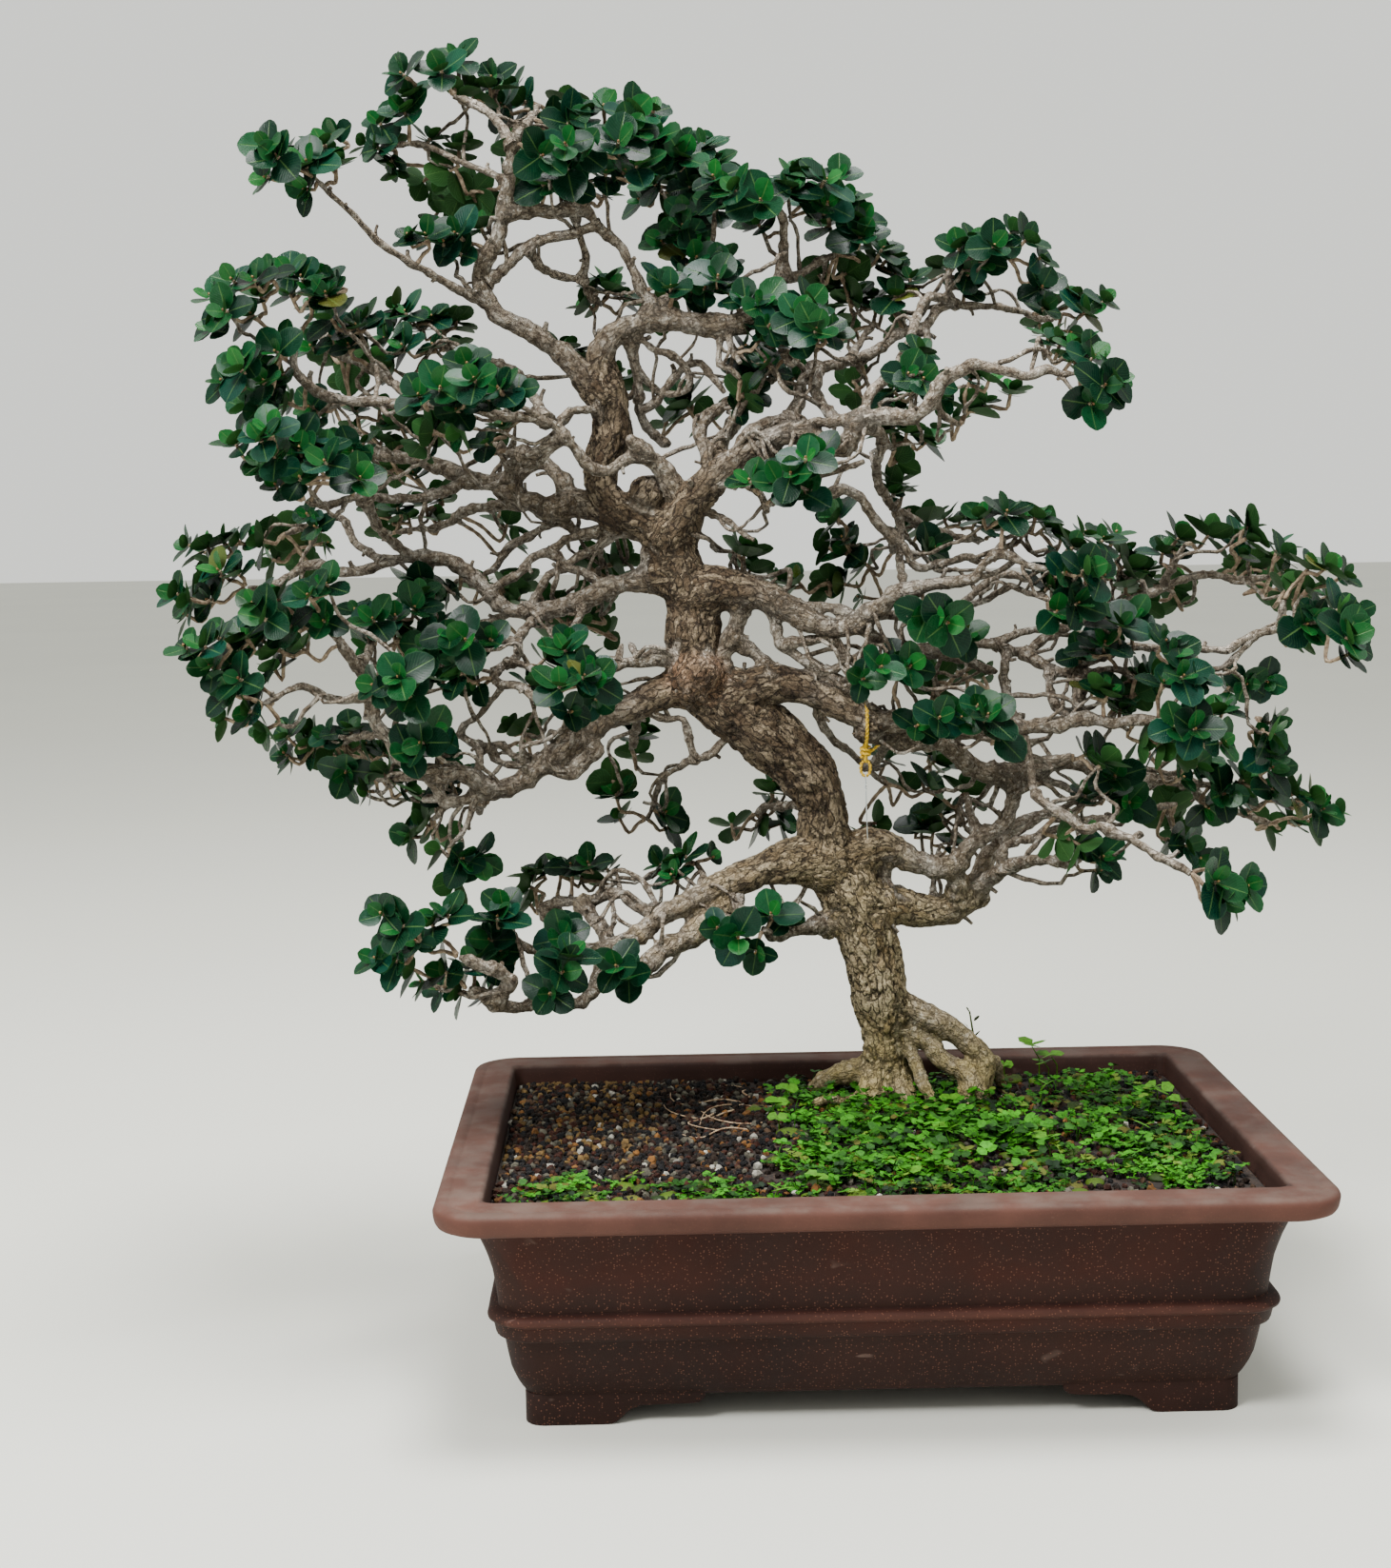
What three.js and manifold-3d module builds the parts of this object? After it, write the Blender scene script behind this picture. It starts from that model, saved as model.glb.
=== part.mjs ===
// Natal plum bonsai in an oblong unglazed pot. Units are millimetres, +Z is up and the front looks to -Y.
import * as THREE from "three";
import Module from "manifold-3d";

const wasm = await Module();
wasm.setup();

// POT, measured over its outside.
const RIM_LENGTH = 600;
const RIM_DEPTH = 430;
const RIM_TOP = 165;
const RIM_THICKNESS = 17;
const RIM_WIDTH = 33;
const RIM_CORNER = 33;
const BODY_LENGTH_UNDER_RIM = 554;
const BODY_DEPTH_UNDER_RIM = 384;
const BELT_TOP = 86;
const BELT_BOTTOM = 67;
const BELT_STANDS_OUT = 4;
const FOOT_LENGTH = 488;
const FOOT_DEPTH = 316;
const FOOT_HEIGHT = 20;
const FOOT_WIDTH = 56;
const BRACKET_REACH = 121;
const BRACKET_RISE = 13;
const FOOT_THICKNESS = 20;
const FLOOR_TOP = 33;
const WALL = 12;
const DRAIN_HOLE_DIAMETER = 26;
const DRAIN_HOLE_OUT = 130;
// SOIL AND WHAT LIES ON IT
const SOIL_TOP = 151;
const CLEARANCE = 0.35;
const SCREEN_SIDE = 46;
const SCREEN_THICKNESS = 1.6;
const SCREEN_HOLE = 3.8;
const SCREEN_PITCH = 7;
const MAT_THICKNESS = 1.6;
// TREE
const PLANE_DEPTH = 100; // the upright plane through the trunk that the limb and leaf tables are read on
const EYE = [-150, -1620, 616]; // where the front view is seen from
const LEAF_LENGTH = 24;
const LEAF_THICKNESS = 0.8;
const TWIG_RADIUS = 1.7;
const HUB_HEIGHT = 1.3;
const KEEP_CLEAR = 0.32; // between two nodes
const ROSETTES_APART = 36; // nearer ones of a spray share their leaves
const LONGEST_TWIG = 115;
const UPPER_LEAVES = 0.9; // how many of a rosette's upper leaves are made
const WOOD_TRIANGLES = 4500;

// A draw from 0 to 1 that depends only on its three whole numbers.
function draw(seed, index, use) {
  let h = Math.imul(seed + 1, 374761393) ^ Math.imul(index + 1, 668265263) ^ Math.imul(use + 1, 1274126177);
  h = Math.imul(h ^ (h >>> 13), 1103515245);
  h = Math.imul(h ^ (h >>> 16), 2246822519);
  h ^= h >>> 13;
  return (h >>> 0) / 4294967296;
}

const V = (x, y, z) => new THREE.Vector3(x, y, z);

// A point of the trunk's plane, slid away from the viewer (or nearer, below 0) along the line of sight.
function placed(x, z, deeper) {
  const k = (PLANE_DEPTH + deeper - EYE[1]) / (PLANE_DEPTH - EYE[1]);
  return V(EYE[0] + (x - EYE[0]) * k, PLANE_DEPTH + deeper, EYE[2] + (z - EYE[2]) * k);
}
const grown = (deeper) => (PLANE_DEPTH + deeper - EYE[1]) / (PLANE_DEPTH - EYE[1]);

function solid(points, triangles) {
  const vertProperties = new Float32Array(points.length * 3);
  points.forEach((p, i) => p.toArray(vertProperties, 3 * i));
  const mesh = new wasm.Mesh({ numProp: 3, vertProperties, triVerts: new Uint32Array(triangles.flat()) });
  return new wasm.Manifold(mesh);
}

// Closed skin through rings that all have the same number of points, capped at both ends.
function skin(rings) {
  const n = rings[0].length;
  const triangles = [];
  for (let k = 0; k + 1 < rings.length; k++)
    for (let i = 0; i < n; i++) {
      const a = k * n + i;
      const b = k * n + ((i + 1) % n);
      triangles.push([a, b, b + n], [a, b + n, a + n]);
    }
  const last = (rings.length - 1) * n;
  for (let i = 1; i + 1 < n; i++) {
    triangles.push([0, i + 1, i]);
    triangles.push([last, last + i, last + i + 1]);
  }
  return solid(rings.flat(), triangles);
}

// A tube of few sides along a polyline, with its own radius at each point.
function tube(points, radii, sides, turn = 0) {
  const rings = [];
  let side = null;
  points.forEach((p, i) => {
    const before = points[Math.max(i - 1, 0)];
    const after = points[Math.min(i + 1, points.length - 1)];
    const along = after.clone().sub(before).normalize();
    if (!side) {
      const helper = Math.abs(along.z) < 0.9 ? V(0, 0, 1) : V(1, 0, 0);
      side = helper.clone().cross(along).normalize();
    } else side.addScaledVector(along, -side.dot(along)).normalize();
    const up = along.clone().cross(side);
    const ring = [];
    for (let s = 0; s < sides; s++) {
      const a = turn + (2 * Math.PI * s) / sides;
      const out = side.clone().multiplyScalar(Math.cos(a)).addScaledVector(up, Math.sin(a));
      ring.push(p.clone().addScaledVector(out, radii[i]));
    }
    rings.push(ring);
  });
  return skin(rings);
}

const fused = (list) => wasm.Manifold.union(list);
// Fewer triangles for a body: short edges are closed up where that moves the surface least.
// Points below the given height stay, so that what fits round them still fits.
function coarsened(body, target, fixedBelow) {
  const got = body.getMesh();
  const points = [];
  for (let i = 0; i < got.vertProperties.length; i += 3) points.push(V().fromArray(got.vertProperties, i));
  let faces = [];
  for (let i = 0; i < got.triVerts.length; i += 3) faces.push([...got.triVerts.slice(i, i + 3)]);
  const plane = ([a, b, c]) => {
    const n = points[b].clone().sub(points[a]).cross(points[c].clone().sub(points[a]));
    const area = n.length() / 2;
    return { n: n.normalize(), area, offset: -n.dot(points[a]) };
  };
  // how far, squared and weighed by area, a point lies off the planes that meet at each corner
  const planes = points.map(() => []);
  for (const face of faces) {
    const p = plane(face);
    for (const v of face) planes[v].push(p);
  }
  const miss = (list, p) => list.reduce((sum, q) => sum + q.area * (q.n.dot(p) + q.offset) ** 2, 0);
  while (faces.length > target) {
    const around = points.map(() => []);
    faces.forEach((face, f) => face.forEach((v) => around[v].push(f)));
    const edges = [];
    for (const [a, b, c] of faces)
      for (const [u, v] of [[a, b], [b, c], [c, a]]) {
        if (u > v || Math.min(points[u].z, points[v].z) < fixedBelow) continue;
        const both = [...planes[u], ...planes[v]];
        const spots = [points[u], points[v], points[u].clone().lerp(points[v], 0.5)];
        const costs = spots.map((p) => miss(both, p));
        const cost = Math.min(...costs);
        const length = points[u].distanceTo(points[v]);
        edges.push({ u, v, spot: spots[costs.indexOf(cost)], cost: cost + 0.02 * length ** 2 });
      }
    edges.sort((a, b) => a.cost - b.cost);
    const touched = new Set();
    const gone = new Set();
    let closed = 0;
    for (const { u, v, spot } of edges.slice(0, Math.ceil(edges.length / 4))) {
      if (faces.length - gone.size <= target) break;
      const ring = new Set([...around[u], ...around[v]].flatMap((f) => faces[f]));
      if ([...ring].some((w) => touched.has(w))) continue;
      const nextTo = (w) => new Set(around[w].flatMap((f) => faces[f]));
      const shared = [...nextTo(u)].filter((w) => w !== u && w !== v && nextTo(v).has(w));
      if (shared.length !== 2) continue;
      const kept = [...around[u], ...around[v]].filter((f) => !(faces[f].includes(u) && faces[f].includes(v)));
      const turnsOver = kept.some((f) => {
        const before = plane(faces[f]);
        const moved = faces[f].map((w) => (w === u || w === v ? spot : points[w]));
        const n = moved[1].clone().sub(moved[0]).cross(moved[2].clone().sub(moved[0]));
        const longest = Math.max(...[0, 1, 2].map((k) => moved[k].distanceTo(moved[(k + 1) % 3])));
        return n.length() < 0.01 * longest ** 2 || n.normalize().dot(before.n) < 0.7;
      });
      if (turnsOver) continue;
      for (const f of around[u]) if (faces[f].includes(v)) gone.add(f);
      for (const f of around[v]) faces[f] = faces[f].map((w) => (w === v ? u : w));
      points[u] = spot.clone();
      planes[u] = [...planes[u], ...planes[v]];
      for (const w of ring) touched.add(w);
      closed++;
    }
    faces = faces.filter((face, f) => !gone.has(f));
    if (closed < 3) break;
  }
  const used = [...new Set(faces.flat())];
  const at = new Map(used.map((v, i) => [v, i]));
  return solid(used.map((v) => points[v]), faces.map((face) => face.map((v) => at.get(v))));
}

function meshOf(name, body, colour, roughness = 0.8) {
  const got = body.getMesh();
  const geometry = new THREE.BufferGeometry();
  geometry.setAttribute("position", new THREE.BufferAttribute(new Float32Array(got.vertProperties), 3));
  geometry.setIndex(new THREE.BufferAttribute(new Uint32Array(got.triVerts), 1));
  const flat = geometry.toNonIndexed();
  flat.computeVertexNormals();
  const mesh = new THREE.Mesh(flat, new THREE.MeshStandardMaterial({ color: colour, roughness }));
  mesh.name = name;
  return mesh;
}

// POT
const CORNER_STEPS = 3;

// A level ring with rounded corners, counter-clockwise from above.
function levelRing(halfLength, halfDepth, corner, z) {
  const ring = [];
  const centres = [
    [1, -1, -90],
    [1, 1, 0],
    [-1, 1, 90],
    [-1, -1, 180],
  ];
  for (const [sx, sy, from] of centres)
    for (let s = 0; s <= CORNER_STEPS; s++) {
      const a = ((from + (90 * s) / CORNER_STEPS) * Math.PI) / 180;
      const x = sx * (halfLength - corner) + corner * Math.cos(a);
      const y = sy * (halfDepth - corner) + corner * Math.sin(a);
      ring.push(V(x, y, z));
    }
  return ring;
}

const RIM_HALF = [RIM_LENGTH / 2, RIM_DEPTH / 2];
const UNDER_RIM = [BODY_LENGTH_UNDER_RIM / 2, BODY_DEPTH_UNDER_RIM / 2];
const FOOT_HALF = [FOOT_LENGTH / 2, FOOT_DEPTH / 2];
const OUTSIDE = [
  // half length, half depth, corner radius, height
  [FOOT_HALF[0] - 1, FOOT_HALF[1] - 1, 16, FOOT_HEIGHT - 0.5],
  [FOOT_HALF[0] + 1, FOOT_HALF[1] + 1, 17, FOOT_HEIGHT + 3],
  [FOOT_HALF[0] + 5, FOOT_HALF[1] + 6, 20, FOOT_HEIGHT + 10],
  [FOOT_HALF[0] + 9, FOOT_HALF[1] + 13, 22, FOOT_HEIGHT + 22],
  [FOOT_HALF[0] + 13, FOOT_HALF[1] + 20, 24, BELT_BOTTOM],
  [FOOT_HALF[0] + 14 + BELT_STANDS_OUT, FOOT_HALF[1] + 21 + BELT_STANDS_OUT, 27, BELT_BOTTOM + 1.5],
  [FOOT_HALF[0] + 17 + BELT_STANDS_OUT, FOOT_HALF[1] + 25 + BELT_STANDS_OUT, 28, BELT_TOP - 5],
  [FOOT_HALF[0] + 17 + BELT_STANDS_OUT, FOOT_HALF[1] + 25 + BELT_STANDS_OUT, 28, BELT_TOP - 2],
  [FOOT_HALF[0] + 16, FOOT_HALF[1] + 24, 26, BELT_TOP],
  [FOOT_HALF[0] + 20, FOOT_HALF[1] + 28, 28, 120],
  [UNDER_RIM[0] - 5, UNDER_RIM[1] - 5, 29, 136],
  [UNDER_RIM[0], UNDER_RIM[1], 30, RIM_TOP - RIM_THICKNESS],
  [RIM_HALF[0] - 7, RIM_HALF[1] - 7, RIM_CORNER - 3, RIM_TOP - RIM_THICKNESS + 1],
  [RIM_HALF[0] - 1, RIM_HALF[1] - 1, RIM_CORNER, RIM_TOP - 11],
  [RIM_HALF[0], RIM_HALF[1], RIM_CORNER, RIM_TOP - 4],
  [RIM_HALF[0] - 3.5, RIM_HALF[1] - 3.5, RIM_CORNER - 2, RIM_TOP],
  [RIM_HALF[0] - RIM_WIDTH + 1.5, RIM_HALF[1] - RIM_WIDTH + 1.5, 9, RIM_TOP],
  [RIM_HALF[0] - RIM_WIDTH, RIM_HALF[1] - RIM_WIDTH, 8, RIM_TOP - 2],
];
const INSIDE = [
  [RIM_HALF[0] - RIM_WIDTH - 2, RIM_HALF[1] - RIM_WIDTH - 2, 9, 140],
  [FOOT_HALF[0] + 14 - WALL + 6, FOOT_HALF[1] + 20 - WALL + 6, 14, BELT_TOP],
  [FOOT_HALF[0] + 4 - WALL, FOOT_HALF[1] + 8 - WALL, 14, FLOOR_TOP + 6],
  [FOOT_HALF[0] - WALL, FOOT_HALF[1] + 2 - WALL, 12, FLOOR_TOP],
];
const ringOf = ([halfLength, halfDepth, corner, z]) => levelRing(halfLength, halfDepth, corner, z);

// One corner foot: two plates with a cloud-shaped lower edge, meeting at the corner.
function footPlate(outer, reach) {
  const shape = new THREE.Shape();
  const inner = outer - FOOT_WIDTH;
  shape.moveTo(outer, 0);
  shape.lineTo(outer, FOOT_HEIGHT + 2);
  shape.lineTo(reach, FOOT_HEIGHT + 2);
  shape.lineTo(reach, FOOT_HEIGHT - 2);
  shape.lineTo(reach + 3, BRACKET_RISE + 2);
  shape.lineTo(reach + 8, BRACKET_RISE);
  shape.lineTo(inner - 22, BRACKET_RISE);
  shape.lineTo(inner - 13, BRACKET_RISE - 4);
  shape.lineTo(inner - 8, 3.5);
  shape.lineTo(inner - 2, 0);
  return shape;
}
function plateSolid(shape, thickness) {
  const flat = new THREE.ExtrudeGeometry(shape, { depth: thickness, bevelEnabled: false });
  flat.deleteAttribute("normal");
  flat.deleteAttribute("uv");
  const points = [];
  const index = new Map();
  const corners = [];
  const position = flat.getAttribute("position");
  for (let i = 0; i < position.count; i++) {
    const key = [0, 1, 2].map((a) => Math.round(position.array[3 * i + a] * 1e4)).join();
    if (!index.has(key)) {
      index.set(key, points.length);
      points.push(V(position.getX(i), position.getY(i), position.getZ(i)));
    }
    corners.push(index.get(key));
  }
  const triangles = [];
  for (let i = 0; i < corners.length; i += 3) triangles.push(corners.slice(i, i + 3));
  return solid(points, triangles);
}
function boxSolid(x0, y0, z0, x1, y1, z1) {
  const ring = (z) => [V(x0, y0, z), V(x1, y0, z), V(x1, y1, z), V(x0, y1, z)];
  return skin([ring(z0), ring(z1)]);
}
function roundBar(x, y, z0, z1, radius, sides) {
  const ring = (z) => {
    const out = [];
    for (let s = 0; s < sides; s++) {
      const a = (2 * Math.PI * (s + 0.5)) / sides;
      out.push(V(x + radius * Math.cos(a), y + radius * Math.sin(a), z));
    }
    return out;
  };
  return skin([ring(z0), ring(z1)]);
}

function buildPot() {
  let pot = skin(OUTSIDE.map(ringOf));
  const cavity = [...INSIDE].reverse().map(ringOf);
  const mouth = levelRing(RIM_HALF[0] - RIM_WIDTH, RIM_HALF[1] - RIM_WIDTH, 8, RIM_TOP - 2);
  const above = levelRing(RIM_HALF[0] - RIM_WIDTH, RIM_HALF[1] - RIM_WIDTH, 8, RIM_TOP + 20);
  pot = pot.subtract(skin([...cavity, mouth, above]));
  const feet = [];
  const front = plateSolid(footPlate(FOOT_HALF[0], BRACKET_REACH), FOOT_THICKNESS);
  const side = plateSolid(footPlate(FOOT_HALF[1], 66), FOOT_THICKNESS);
  for (const sx of [1, -1])
    for (const sy of [1, -1]) {
      // the front plate's shape stands in X and Z, the side plate's in Y and Z
      let a = front.transform([1, 0, 0, 0, 0, 0, 1, 0, 0, -1, 0, 0, 0, 0, 0, 1]);
      a = a.translate([0, FOOT_HALF[1], 0]).scale([sx, sy, 1]);
      let b = side.transform([0, 1, 0, 0, 0, 0, 1, 0, 1, 0, 0, 0, 0, 0, 0, 1]);
      b = b.translate([FOOT_HALF[0] - FOOT_THICKNESS, 0, 0]).scale([sx, sy, 1]);
      feet.push(a, b);
    }
  pot = fused([pot, ...feet]);
  for (const sx of [1, -1])
    pot = pot.subtract(roundBar(sx * DRAIN_HOLE_OUT, 0, 0, FLOOR_TOP + 5, DRAIN_HOLE_DIAMETER / 2, 14));
  return pot;
}

// A square of mesh laid over a drain hole.
function buildScreen(x) {
  const h = SCREEN_SIDE / 2;
  const bottom = FLOOR_TOP + CLEARANCE;
  const plate = boxSolid(x - h, -h, bottom, x + h, h, bottom + SCREEN_THICKNESS);
  const holes = [];
  for (const i of [-1, 1])
    for (const j of [-1, 1]) {
      const cx = x + (i * SCREEN_PITCH) / 2;
      const cy = (j * SCREEN_PITCH) / 2;
      const r = SCREEN_HOLE / 2;
      holes.push(boxSolid(cx - r, cy - r, bottom - 1, cx + r, cy + r, bottom + 3));
    }
  return plate.subtract(fused(holes));
}

// TRUNK: x, z and depth on the trunk's plane, and the radius there.
const TRUNK = [
  [26, 118, 16, 23],
  [25, 150, 15, 21],
  [26, 168, 14, 17.5],
  [28, 186, 14, 15.5],
  [27, 206, 13, 17],
  [25, 226, 12, 21],
  [22, 250, 11, 22.5],
  [16, 280, 10, 23.5],
  [7, 308, 8, 25],
  [-7, 335, 6, 24],
  [-18, 362, 4, 20.5],
  [-20, 386, 2, 19.5],
  [-29, 408, 1, 22],
  [-49, 430, 0, 24],
  [-73, 451, -1, 24],
  [-96, 469, -1, 23],
  [-113, 488, 0, 24],
  [-117, 512, 1, 20],
  [-118, 540, 2, 19.5],
  [-126, 565, 3, 19.5],
  [-135, 588, 4, 18.5],
  [-151, 606, 5, 15.5],
  [-172, 615, 6, 13.5],
  [-185, 630, 7, 13],
  [-184, 650, 6, 14.5],
  [-177, 670, 4, 16],
  [-178, 692, 2, 15.5],
  [-181, 711, 0, 13.5],
  [-184, 729, -3, 11],
  [-178, 743, -5, 9.5],
  [-163, 752, -6, 8.8],
  [-140, 757, -7, 8.6],
  [-110, 753, -8, 8.6],
  [-85, 752, -9, 8.2],
  [-68, 757, -10, 7.6],
];

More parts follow.
